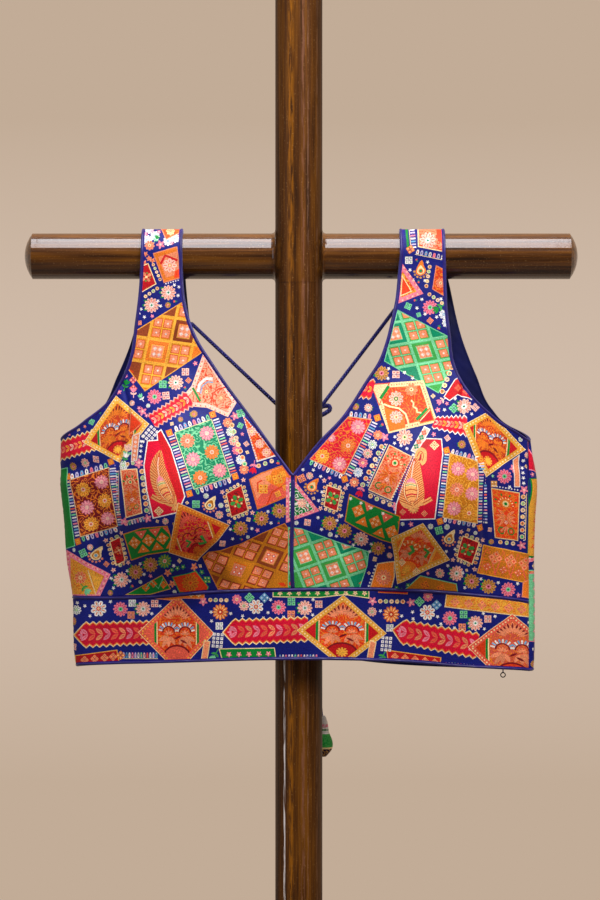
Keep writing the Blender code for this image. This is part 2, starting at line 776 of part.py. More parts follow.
def rail_profile():
    """Rows of (radius, place along the rail), from the pole of its right end to the pole of its left end."""
    ball = (RAIL_RADIUS**2 + RAIL_END_DOME**2) / (2 * RAIL_END_DOME)
    dome, flare = [], []
    for share in np.linspace(0, 1, 6):
        angle = share * math.asin(RAIL_RADIUS / ball)
        dome.append((ball * math.sin(angle), ball * (1 - math.cos(angle))))
        angle = (1 - share) * math.pi / 2
        edge = RAIL_RADIUS + RAIL_FLARE * (1 - math.sin(angle))
        flare.append((edge, POST_RADIUS + RAIL_FLARE * (1 - math.cos(angle))))
    right = [(radius, RAIL_RIGHT - drop) for radius, drop in dome] + flare
    left = [(radius, RAIL_LEFT + drop) for radius, drop in dome] + [(radius, -along) for radius, along in flare]
    return right + left[::-1]


def add_bar(name, collection, material, radius, low, high):
    """An upright round bar round the origin."""

    def build(made):
        bmesh.ops.create_cone(
            made,
            cap_ends=True,
            segments=ROUND_SIDES,
            radius1=radius,
            radius2=radius,
            depth=high - low,
            matrix=Matrix.Translation((0, 0, (low + high) / 2)),
        )

    return add_mesh(name, collection, material, build)


def build_rail(collection, cutters, wood):
    """The post, and the round rail that crosses it from side to side and is coped round it."""
    post = add_bar("post", collection, wood, POST_RADIUS, 0, POST_HEIGHT)
    edge = post.modifiers.new("soft_ends", "BEVEL")
    edge.width = POST_CHAMFER
    edge.segments = 2
    edge.limit_method = "ANGLE"
    edge.angle_limit = SHARP_ANGLE
    around = (RAIL_HEIGHT - 2 * RAIL_RADIUS, RAIL_HEIGHT + 2 * RAIL_RADIUS)
    cutter = add_bar("post_cope", cutters, wood, POST_RADIUS + GAP, *around)
    cutter.hide_render = True
    cutter.display_type = "WIRE"

    place = (0, RAIL_SETBACK, RAIL_HEIGHT)
    rail = add_turned("rail", collection, wood, rail_profile(), place, ROUND_SIDES)
    rail.rotation_euler = (0, math.pi / 2, 0)
    cope = rail.modifiers.new("cope", "BOOLEAN")
    cope.object = cutter
    cope.operation = "DIFFERENCE"


def build_ties(collection, fabric, lace):
    """The two cords from the back straps, their knot and the hanging tassels."""
    knot = np.array(KNOT)
    size = np.array(KNOT_SIZE) / 2

    def lump(made):
        bmesh.ops.create_uvsphere(made, u_segments=14, v_segments=8, radius=1.0)
        bmesh.ops.scale(made, vec=size, verts=made.verts)
        bmesh.ops.translate(made, vec=knot, verts=made.verts)

    add_mesh("dori_knot", collection, fabric, lump)
    for side, end in (("left", DORI_LEFT_END), ("right", DORI_RIGHT_END)):
        end = np.array(end)
        away = (end - knot) / np.linalg.norm(end - knot)
        start = knot + away * (1 / np.linalg.norm(away / size) + CORD_START)
        points = thinned((end, start), CORD_STEP)
        add_tube(f"dori_{side}", collection, fabric, points, CORD_RADIUS, sides_level=2)
    turned = [(0.0, -TASSEL_PROFILE[0][1])]
    turned += [(radius, -drop) for radius, drop in TASSEL_PROFILE]
    turned += [(0.0, -TASSEL_PROFILE[-1][1])]
    for side, (x, y, top) in TASSELS.items():
        lean = TAIL_SPREAD if side == "right" else -TAIL_SPREAD
        begin = knot + (lean, TAIL_SPREAD / 2, -size[2] - 2 * GAP)
        route = (
            begin,
            begin + (lean * 0.4, TAIL_SPREAD / 2, -0.020),
            (begin[0] + (x - begin[0]) * 0.30, *TAIL_AT_WAIST),
            (begin[0] + (x - begin[0]) * 0.75, y - GAP, TAIL_BELOW),
            (x, y, top + TAIL_STRAIGHT),
            (x, y, top + GAP),
        )
        points = curve_through(route, CORD_STEP)
        add_tube(f"tail_{side}", collection, fabric, points, CORD_RADIUS, sides_level=2)
        add_turned(f"latkan_{side}", collection, lace, turned, (x, y, top), TASSEL_SIDES)


def build_eye(collection, metal):
    """The wire eye of the back's fastening, hanging under the hem."""
    points = []
    for angle in np.linspace(0, 2 * math.pi, EYE_SIDES, endpoint=False):
        points.append((EYE_RADIUS * math.cos(angle), 0, EYE_RADIUS * math.sin(angle)))
    eye = add_tube("hook_eye", collection, metal, points, EYE_WIRE, closed=True)
    eye.location = on_form(*back(*EYE_PLACE)) - np.array((0, 0, EYE_RADIUS + EYE_WIRE + GAP))


def main():
    for thing in list(bpy.data.objects):
        bpy.data.objects.remove(thing, do_unlink=True)
    parts = bpy.data.collections.new("choli_blouse")
    cutters = bpy.data.collections.new("cutters")
    for collection in (parts, cutters):
        bpy.context.scene.collection.children.link(collection)
    brocade = finish("brocade", BROCADE, 0.62)
    piping = finish("piping", PIPING_BLUE, 0.7)
    cord = finish("cord", NAVY, 0.65)
    wood = finish("varnished_wood", DARK_WOOD, 0.3)
    tassel = finish("tassel", GREEN, 0.6)
    edges = Edges()
    build_rail(parts, cutters, wood)
    build_front(edges, parts, brocade)
    build_back(edges, parts, brocade)
    build_piping(edges, parts, piping)
    build_ties(parts, cord, tassel)
    build_eye(parts, finish("black_metal", BLACK_METAL, 0.35, metallic=1.0))


main()
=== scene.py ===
"""A choli blouse of patterned navy brocade, hung by its straps on a wooden cross rail.

Metres, +Z up. The origin is the middle of the post's foot, +X is the viewer's right and -Y the front.
Every piece of cloth lies on one body form. A place on the form is (turn, reach): turn is the angle round
the ring, 0 at the middle of the front and a quarter turn at the right side, and reach is the height, which
goes on as length of cloth where a strap bends over the rail. The cloth's pattern is drawn as shapes on the
unrolled cloth, cut into each panel's mesh, and each face of the mesh carries the colour of its yarn.
"""

from __future__ import annotations

import json
import logging
import math
from dataclasses import dataclass, field
from enum import Enum
from typing import Callable, Iterable, Sequence

import bpy
import numpy as np
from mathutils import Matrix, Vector
from mathutils.geometry import delaunay_2d_cdt
from mathutils.kdtree import KDTree

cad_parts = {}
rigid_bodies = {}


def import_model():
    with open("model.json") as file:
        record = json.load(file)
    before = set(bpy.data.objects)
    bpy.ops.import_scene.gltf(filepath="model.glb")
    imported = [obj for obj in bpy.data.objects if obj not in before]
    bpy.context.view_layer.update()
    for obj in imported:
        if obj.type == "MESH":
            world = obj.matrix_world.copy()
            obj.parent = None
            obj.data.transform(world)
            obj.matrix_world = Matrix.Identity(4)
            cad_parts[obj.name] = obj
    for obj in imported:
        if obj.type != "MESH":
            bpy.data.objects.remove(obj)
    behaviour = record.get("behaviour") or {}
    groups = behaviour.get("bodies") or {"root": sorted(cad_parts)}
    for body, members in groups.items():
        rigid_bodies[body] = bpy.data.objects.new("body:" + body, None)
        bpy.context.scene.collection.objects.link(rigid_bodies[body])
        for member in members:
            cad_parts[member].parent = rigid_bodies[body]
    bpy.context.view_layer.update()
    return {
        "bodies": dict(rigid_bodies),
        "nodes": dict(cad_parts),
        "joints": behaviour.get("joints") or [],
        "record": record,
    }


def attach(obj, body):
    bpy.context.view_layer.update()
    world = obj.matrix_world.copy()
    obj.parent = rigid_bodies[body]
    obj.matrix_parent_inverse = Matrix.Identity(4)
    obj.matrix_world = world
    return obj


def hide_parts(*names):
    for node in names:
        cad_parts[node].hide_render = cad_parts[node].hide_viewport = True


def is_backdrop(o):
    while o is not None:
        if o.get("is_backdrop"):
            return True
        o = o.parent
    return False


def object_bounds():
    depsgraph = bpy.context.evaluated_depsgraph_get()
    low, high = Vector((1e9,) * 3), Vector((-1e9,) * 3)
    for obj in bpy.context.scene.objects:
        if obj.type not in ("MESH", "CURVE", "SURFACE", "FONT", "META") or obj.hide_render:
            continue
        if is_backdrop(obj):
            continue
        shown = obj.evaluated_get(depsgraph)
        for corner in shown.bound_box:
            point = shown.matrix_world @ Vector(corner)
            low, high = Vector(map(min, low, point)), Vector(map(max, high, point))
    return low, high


LOG = logging.getLogger("choli_blouse")
Row = tuple[float, ...]
Socket = bpy.types.NodeSocket
BODY = "root"
MM = 0.001

# Wooden cross rail
POST_RADIUS = 0.0200
RAIL_RADIUS = 0.0195
RAIL_HEIGHT = 0.5730
RAIL_SETBACK = 0.0060
RAIL_FLARE = 0.0035  # the rounding where the rail meets the post

# Cloth
WALL = 0.0022
STRAP_WALL = 0.0030
STRAP_CLEARANCE = 0.0005
STRAP_BEND = RAIL_RADIUS + STRAP_CLEARANCE + STRAP_WALL
STRAP_FLAT_FROM = 0.5000
SHOULDER_SEAM = math.radians(100)
PIPING_RADIUS = 0.0012
PIPING_DEPTH = -0.0005

# The body form: how far each ring reaches to both sides, to the front and to the back.
RINGS: tuple[Row, ...] = (
    # height, left, right, front, back
    (0.210, -0.1850, 0.1980, 0.0370, 0.0285),
    (0.230, -0.1900, 0.2000, 0.0385, 0.0290),
    (0.255, -0.1915, 0.2005, 0.0395, 0.0295),
    (0.282, -0.1920, 0.2005, 0.0400, 0.0300),
    (0.315, -0.1970, 0.2000, 0.0440, 0.0300),
    (0.350, -0.1995, 0.2010, 0.0480, 0.0300),
    (0.380, -0.2025, 0.2025, 0.0490, 0.0300),
    (0.417, -0.2020, 0.1965, 0.0450, 0.0295),
    (0.450, -0.2020, 0.1965, 0.0390, 0.0290),
    (0.480, -0.2020, 0.1965, 0.0335, 0.0285),
    (0.510, -0.2020, 0.1965, 0.0300, 0.0285),
    (0.573, -0.2020, 0.1965, 0.0280, 0.0285),
)
CUPS: tuple[Row, ...] = (
    # x, height, half width, rise above, drop below, swell
    (-0.101, 0.364, 0.078, 0.125, 0.092, 0.041),
    (0.105, 0.365, 0.078, 0.125, 0.092, 0.041),
)
FOLDS: tuple[Row, ...] = (
    # x, height, lean from the upright in degrees, half length, half width, height of the ridge
    (-0.158, 0.318, 62, 0.040, 0.010, -0.0016),
    (-0.078, 0.312, -48, 0.030, 0.009, -0.0018),
    (0.074, 0.314, 50, 0.030, 0.009, -0.0018),
    (0.172, 0.330, -58, 0.038, 0.011, -0.0016),
    (-0.168, 0.395, -70, 0.034, 0.010, 0.0014),
    (0.166, 0.392, 66, 0.034, 0.010, 0.0014),
    (-0.030, 0.258, 8, 0.030, 0.024, -0.0012),
    (0.118, 0.255, -6, 0.030, 0.026, -0.0014),
    (-0.128, 0.252, 5, 0.030, 0.022, 0.0012),
)

# Edges and seams, as (x, height) on the front or the back of the form.
NECK_BOTTOM: Row = (-0.0050, 0.3880)
NECK_FRONT_RIGHT: tuple[Row, ...] = (
    (0.0855, 0.5730), (0.0838, 0.5580), (0.0812, 0.5340), (0.0775, 0.5170), (0.0735, 0.5005),
    (0.0672, 0.4835), (0.0562, 0.4665), (0.0335, 0.4330), (0.0175, 0.4165),
)
NECK_FRONT_LEFT: tuple[Row, ...] = (
    (-0.0257, 0.4165), (-0.0375, 0.4330), (-0.0622, 0.4665), (-0.0737, 0.4835), (-0.0846, 0.5005),
    (-0.0915, 0.5170), (-0.0957, 0.5340), (-0.0980, 0.5580), (-0.0985, 0.5730),
)
NECK_BACK_LEFT: tuple[Row, ...] = (
    (-0.0985, 0.5730), (-0.0965, 0.5450), (-0.0938, 0.5180), (-0.0885, 0.4700), (-0.0765, 0.4180),
    (-0.0480, 0.3680), (-0.0180, 0.3480),
)
NECK_BACK_MIDDLE = 0.3450
NECK_BACK_RIGHT: tuple[Row, ...] = (
    (0.0180, 0.3480), (0.0500, 0.3680), (0.0800, 0.4180), (0.0920, 0.4700), (0.0945, 0.5180),
    (0.0900, 0.5480), (0.0855, 0.5730),
)
ARMHOLE_RIGHT_BACK: tuple[Row, ...] = (
    (0.1240, 0.5730), (0.1290, 0.5505), (0.1410, 0.5000), (0.1521, 0.4715), (0.1645, 0.4440),
    (0.1830, 0.4270),
)
ARMHOLE_RIGHT_FRONT: tuple[Row, ...] = (
    (0.1955, 0.4175), (0.1812, 0.4258), (0.1589, 0.4416), (0.1385, 0.4650), (0.1312, 0.4809),
    (0.1280, 0.5056), (0.1255, 0.5283), (0.1247, 0.5493), (0.1240, 0.5730),
)
ARMHOLE_LEFT_FRONT: tuple[Row, ...] = (
    (-0.1335, 0.5730), (-0.1353, 0.5410), (-0.1387, 0.5123), (-0.1418, 0.4893), (-0.1500, 0.4670),
    (-0.1628, 0.4475), (-0.1788, 0.4350), (-0.1919, 0.4258),
)
ARMHOLE_LEFT_BACK: tuple[Row, ...] = (
    (-0.1880, 0.4260), (-0.1690, 0.4430), (-0.1560, 0.4700), (-0.1440, 0.5000), (-0.1350, 0.5500),
    (-0.1335, 0.5730),
)
PRINCESS_SEAM_RIGHT: tuple[Row, ...] = (
    (0.1588, 0.2850), (0.1555, 0.3210), (0.1546, 0.3500), (0.1530, 0.3830), (0.1496, 0.3980),
    (0.1430, 0.4165), (0.1380, 0.4320), (0.1370, 0.4500), (0.1385, 0.4650),
)
PRINCESS_SEAM_LEFT: tuple[Row, ...] = (
    (-0.1500, 0.2835), (-0.1512, 0.3040), (-0.1526, 0.3330), (-0.1535, 0.3680), (-0.1510, 0.4000),
    (-0.1480, 0.4165), (-0.1440, 0.4320), (-0.1445, 0.4500), (-0.1500, 0.4670),
)
UNDERBUST: tuple[Row, ...] = (
    (-0.1500, 0.2835), (-0.0740, 0.2890), (-0.0050, 0.2910), (0.0850, 0.2908), (0.1588, 0.2850),
    (0.1955, 0.2792),
)
HEM_FRONT: tuple[Row, ...] = (
    (-0.1500, 0.2275), (-0.1160, 0.2288), (-0.0050, 0.2320), (0.0850, 0.2300), (0.1500, 0.2243),
    (0.1955, 0.2205),
)
HEM_BACK: tuple[Row, ...] = ((0.1400, 0.2218), (0.0000, 0.2316), (-0.1400, 0.2250))
SIDE_SEAM_LEFT = math.radians(-94)
SEAM_LEFT_HEIGHTS: Row = (0.2238, 0.2828, 0.4180)  # at the hem, the underbust and the armhole
SEAM_RIGHT_X = 0.1955
EDGE_STEP = 0.0016  # between the points of a seam or an edge
SEAM_REACH = 0.014  # how far from a seam it shapes the cloth
FAR_OFF = 1.0

Array = np.ndarray


def hermite(at: Array, places: Array, values: Array) -> Array:
    """A smooth curve through rows of (place, value), read at many places.

    Args:
        at: The places to read.
        places: The rows' places, rising.
        values: The rows' values.

    Returns:
        One value for each place.
    """
    slopes = np.gradient(values, places)
    at = np.clip(np.asarray(at, float), places[0], places[-1])
    row = np.clip(np.searchsorted(places, at) - 1, 0, len(places) - 2)
    step = places[row + 1] - places[row]
    share = (at - places[row]) / step
    rest = 1 - share
    ends = values[row] * (1 + 2 * share) * rest**2 + values[row + 1] * share**2 * (3 - 2 * share)
    return ends + step * (slopes[row] * share * rest**2 - slopes[row + 1] * share**2 * rest)


def eased(at: Array, start: float, stop: float) -> Array:
    """0 below start, 1 above stop and a smooth rise between them."""
    share = np.clip((np.asarray(at, float) - start) / (stop - start), 0, 1)
    return share * share * (3 - 2 * share)


def running_length(points: Array) -> Array:
    """The running length along a row of points."""
    steps = np.linalg.norm(np.diff(points, axis=0), axis=1)
    return np.concatenate(([0.0], np.cumsum(steps)))


def unit(vectors: Array) -> Array:
    """The same directions, one unit long."""
    return vectors / np.maximum(np.linalg.norm(vectors, axis=-1, keepdims=True), 1e-12)


def ways_along(line: Array, closed: bool = False) -> Array:
    """Gives the direction of a line at each of its points.

    Args:
        line: The line's points.
        closed: Whether it meets itself.

    Returns:
        One direction for each point.
    """
    if closed:
        return unit(np.roll(line, -1, axis=0) - np.roll(line, 1, axis=0))
    return unit(np.gradient(line, axis=0))


def sideways(ways: Array) -> Array:
    """Flat directions turned a quarter, as from across to up."""
    return np.column_stack((-ways[:, 1], ways[:, 0]))


class BodyForm:
    """The form that the blouse hangs in: a ring round the post at each height, with two cups."""

    def __init__(self) -> None:
        """Takes the rings."""
        self.table = np.array(RINGS)

    def ring(self, height: Array) -> tuple[Array, Array, Array, Array]:
        """The ring's middle, half width, front depth and back depth at each height."""
        left, right, front, back = (hermite(height, self.table[:, 0], self.table[:, c]) for c in range(1, 5))
        return (left + right) / 2, (right - left) / 2, front, back

    @staticmethod
    def swell(x: Array, height: Array) -> Array:
        """How far the cups and the soft folds stand out of the plain ring.

        Args:
            x: Where across.
            height: How high.

        Returns:
            How far, in metres.
        """
        out = np.zeros_like(x)
        for cup_x, cup_height, half_width, above, below, size in CUPS:
            span = np.where(height > cup_height, above, below)
            away = ((x - cup_x) / half_width) ** 2 + ((height - cup_height) / span) ** 2
            out += size * np.clip(1 - away, 0, None) ** 2
        for fold_x, fold_height, lean, half_length, half_width, ridge in FOLDS:
            tilt = math.radians(lean)
            right, up = x - fold_x, height - fold_height
            along = (right * math.sin(tilt) + up * math.cos(tilt)) / half_length
            across = (right * math.cos(tilt) - up * math.sin(tilt)) / half_width
            out += ridge * np.exp(-(along**2) - across**2)
        return out

    def at(self, places: Array) -> Array:
        """The points of the form's outer face.

        Args:
            places: Rows of (turn, reach).

        Returns:
            Rows of (x, y, z).
        """
        turn, reach = places[..., 0], places[..., 1]
        height = np.minimum(reach, RAIL_HEIGHT)
        middle, half_width, front, back = self.ring(height)
        x = middle + half_width * np.sin(turn)
        lean = eased(height, STRAP_FLAT_FROM, RAIL_HEIGHT)
        forward = np.cos(turn)
        ahead = front * forward + self.swell(x, height) * (1 - lean) * np.minimum(1, 3 * forward)
        depth = np.where(forward > 0, ahead, -back * forward)
        over = np.maximum(reach - RAIL_HEIGHT, 0) / STRAP_BEND
        depth = depth * (1 - lean) + STRAP_BEND * np.cos(over) * lean
        y = RAIL_SETBACK * lean + np.where(forward > 0, -depth, depth)
        return np.stack((x, y, height + STRAP_BEND * np.sin(over)), axis=-1)

    def outward(self, places: Array) -> Array:
        """The unit normals of the form, pointing away from the wearer.

        Args:
            places: Places on the form.

        Returns:
            One normal for each place.
        """
        by_turn = self.at(places + (1e-4, 0)) - self.at(places - (1e-4, 0))
        by_reach = self.at(places + (0, 2e-5)) - self.at(places - (0, 2e-5))
        return unit(np.cross(by_turn, by_reach))

    @staticmethod
    def wall(reach: Array) -> Array:
        """The cloth's thickness."""
        return WALL + (STRAP_WALL - WALL) * eased(reach, STRAP_FLAT_FROM, RAIL_HEIGHT)

    def front(self, table: Iterable[Row]) -> Array:
        """The places on the front that show at rows of (x, height).

        Args:
            table: The rows.

        Returns:
            One place for each row.
        """
        rows = np.array(tuple(table), float)
        middle, half_width, _, _ = self.ring(rows[:, 1])
        turn = np.arcsin(np.clip((rows[:, 0] - middle) / half_width, -1, 1))
        return np.column_stack((turn, rows[:, 1]))

    def back(self, table: Iterable[Row]) -> Array:
        """The places on the back that show at rows of (x, height)."""
        places = self.front(table)
        return np.column_stack((math.pi - places[:, 0], places[:, 1]))


FORM = BodyForm()


def evenly(places: Array, step: float = EDGE_STEP) -> Array:
    """Sets places one step apart along a row of places.

    Args:
        places: The row.
        step: The step, in metres.

    Returns:
        The places, with both ends kept.
    """
    fine = np.linspace(0, len(places) - 1, 24 * (len(places) - 1) + 1)
    index = np.arange(len(places))
    places = np.column_stack([np.interp(fine, index, places[:, c]) for c in (0, 1)])
    run = running_length(FORM.at(places))
    at = np.linspace(0, run[-1], max(2, round(run[-1] / step)) + 1)
    return np.column_stack([np.interp(at, run, places[:, c]) for c in (0, 1)])


def smooth_path(rows: Array, ends: Sequence[int]) -> list[Array]:
    """A smooth curve through rows of places, cut into pieces at some of the rows.

    Args:
        rows: The places that the curve goes through.
        ends: The last row of each piece.

    Returns:
        One array of places for each piece.
    """
    run = running_length(FORM.at(rows))
    pieces, begin = [], 0
    for end in ends:
        at = np.linspace(run[begin], run[end], 2 + int((run[end] - run[begin]) / 0.001))
        pieces.append(evenly(np.column_stack([hermite(at, run, column) for column in rows.T])))
        begin = end
    return pieces


def joined(*pieces: Array) -> Array:
    """Rows of places one after another, without the places where they meet told twice."""
    return np.vstack([pieces[0], *(piece[1:] for piece in pieces[1:])])


def turned(places: Array, turns: int) -> Array:
    """The same places, counted some whole turns further on."""
    return places + (2 * math.pi * turns, 0)


class Seams:
    """The blouse's seams and free edges as rows of places, each cut where another seam meets it."""

    def __init__(self) -> None:
        """Works out every edge and seam."""
        over_front = RAIL_HEIGHT + STRAP_BEND * SHOULDER_SEAM
        over_back = RAIL_HEIGHT + STRAP_BEND * (math.pi - SHOULDER_SEAM)
        bottom = FORM.front((NECK_BOTTOM,))
        right, left = FORM.front(NECK_FRONT_RIGHT), FORM.front(NECK_FRONT_LEFT)
        self.neck_right = self.hung(over_front, np.vstack((right, bottom)))
        self.neck_left = self.hung(over_front, np.vstack((left[::-1], bottom)))[::-1]
        left, right = FORM.back(NECK_BACK_LEFT), FORM.back(NECK_BACK_RIGHT)
        whole = np.vstack((left, [(math.pi, NECK_BACK_MIDDLE)], right))
        falls, rises = smooth_path(whole, (len(left), len(whole) - 1))
        self.neck_back_left = joined(self.over(over_back, falls[0]), falls)
        self.neck_back_right = joined(rises, self.over(over_back, rises[-1])[::-1])
        self.cut_armholes(over_front, over_back)
        self.cut_seams()

    @staticmethod
    def over(top: float, foot: Array) -> Array:
        """The edge of a strap over the rail, from its shoulder seam down to its foot."""
        return evenly(np.array(((foot[0], top), foot)), 0.0012)

    def hung(self, top: float, rows: Array) -> Array:
        """A smooth curve down from the rail, with its stretch over the rail before it."""
        (smooth,) = smooth_path(rows, (len(rows) - 1,))
        return joined(self.over(top, smooth[0]), smooth)

    def cut_armholes(self, over_front: float, over_back: float) -> None:
        """Makes the armholes: down one strap, round the side and up the other.

        Args:
            over_front: How far up the front straps reach over the rail.
            over_back: How far up the back straps reach over the rail.
        """
        behind, ahead = FORM.back(ARMHOLE_RIGHT_BACK), FORM.front(ARMHOLE_RIGHT_FRONT)
        side = len(behind)
        whole = np.vstack((behind, ahead))
        one, two, three = smooth_path(whole, (side, side + 3, len(whole) - 1))
        one = joined(self.over(over_back, one[0]), one)
        three = joined(three, self.over(over_front, three[-1])[::-1])
        self.armhole_right = (one, two, three)
        ahead = FORM.front(ARMHOLE_LEFT_FRONT)
        behind = turned(FORM.back(ARMHOLE_LEFT_BACK), -1)
        side = len(ahead)
        whole = np.vstack((ahead, [(SIDE_SEAM_LEFT, SEAM_LEFT_HEIGHTS[2])], behind))
        one, two, three = smooth_path(whole, (4, side, len(whole) - 1))
        one = joined(self.over(over_front, one[0]), one)
        three = joined(three, self.over(over_back, three[-1])[::-1])
        self.armhole_left = (one, two, three)

    def cut_seams(self) -> None:
        """The seams inside the front and the back, and the hem, all towards larger turns or upwards."""
        hem_seam, bust_seam, arm_seam = SEAM_LEFT_HEIGHTS
        under = np.vstack(([(SIDE_SEAM_LEFT, bust_seam)], FORM.front(UNDERBUST)))
        self.underbust = smooth_path(under, (1, 3, 5, 6))
        hem = np.vstack(([(SIDE_SEAM_LEFT, hem_seam)], FORM.front(HEM_FRONT)))
        (self.hem_front,) = smooth_path(hem, (len(hem) - 1,))
        last = [(SIDE_SEAM_LEFT + 2 * math.pi, hem_seam)]
        self.hem_back = smooth_path(np.vstack((hem[-1:], FORM.back(HEM_BACK), last)), (2, 4))
        rows = FORM.front(PRINCESS_SEAM_RIGHT)
        (self.princess_right,) = smooth_path(rows, (len(rows) - 1,))
        rows = FORM.front(PRINCESS_SEAM_LEFT)
        (self.princess_left,) = smooth_path(rows, (len(rows) - 1,))
        self.centre = evenly(np.vstack((self.underbust[2][0], self.neck_left[0])))
        self.left_band = evenly(np.array(((SIDE_SEAM_LEFT, hem_seam), (SIDE_SEAM_LEFT, bust_seam))))
        self.left_side = evenly(np.array(((SIDE_SEAM_LEFT, bust_seam), (SIDE_SEAM_LEFT, arm_seam))))
        heights = (self.hem_front[-1][1], self.underbust[3][-1][1], self.armhole_right[1][0][1])
        self.right_band = self.right_seam(heights[0], heights[1])
        self.right_side = self.right_seam(heights[1], heights[2])

    @staticmethod
    def right_seam(low: float, high: float) -> Array:
        """The right side seam between two heights."""
        count = max(2, round((high - low) / EDGE_STEP))
        return FORM.front([(SEAM_RIGHT_X, height) for height in np.linspace(low, high, count + 1)])


SEAMS = Seams()


class ClothMap:
    """Lays the form's surface out flat: across is the length of cloth round the ring and up is the reach."""

    ROWS = 90
    LOWEST = 0.205
    TURNS = (-3.8, 5.6)
    SPANS = (-0.80, 1.05)
    STEPS = 2400

    def __init__(self) -> None:
        """Measures the form ring by ring."""
        self.heights = np.linspace(self.LOWEST, RAIL_HEIGHT, self.ROWS)
        self.turns = np.linspace(*self.TURNS, self.STEPS)
        self.spans = np.linspace(*self.SPANS, self.STEPS)
        _, half_width, front, back = FORM.ring(self.heights)
        deep = np.where(np.cos(self.turns) > 0, front[:, None], back[:, None])
        speed = np.hypot(half_width[:, None] * np.cos(self.turns), deep * np.sin(self.turns))
        step = self.turns[1] - self.turns[0]
        run = np.cumsum((speed[:, 1:] + speed[:, :-1]) / 2 * step, axis=1)
        run = np.column_stack((np.zeros(self.ROWS), run))
        start = [np.interp(0.0, self.turns, row) for row in run]
        self.run = run - np.array(start)[:, None]
        self.turn = np.array([np.interp(self.spans, row, self.turns) for row in self.run])

    def read(self, table: Array, low: float, high: float, across: Array, reach: Array) -> Array:
        """Reads a table between its rows and columns.

        Args:
            table: The table.
            low: What its first column stands for.
            high: What its last column stands for.
            across: The places across.
            reach: Their reach.

        Returns:
            One value for each place.
        """
        rows = np.clip((reach - self.LOWEST) / (RAIL_HEIGHT - self.LOWEST), 0, 1) * (self.ROWS - 1)
        columns = np.clip((across - low) / (high - low), 0, 1) * (self.STEPS - 1)
        row = np.minimum(rows.astype(int), self.ROWS - 2)
        column = np.minimum(columns.astype(int), self.STEPS - 2)
        up, along = rows - row, columns - column
        lower = table[row, column] * (1 - along) + table[row, column + 1] * along
        upper = table[row + 1, column] * (1 - along) + table[row + 1, column + 1] * along
        return lower * (1 - up) + upper * up

    def unroll(self, places: Array) -> Array:
        """Places on the form as points of flat cloth."""
        across = self.read(self.run, *self.TURNS, places[..., 0], places[..., 1])
        return np.stack((across, places[..., 1]), axis=-1)

    def roll(self, points: Array) -> Array:
        """Points of flat cloth as places on the form."""
        turn = self.read(self.turn, *self.SPANS, points[..., 0], points[..., 1])
        return np.stack((turn, points[..., 1]), axis=-1)


CLOTH = ClothMap()


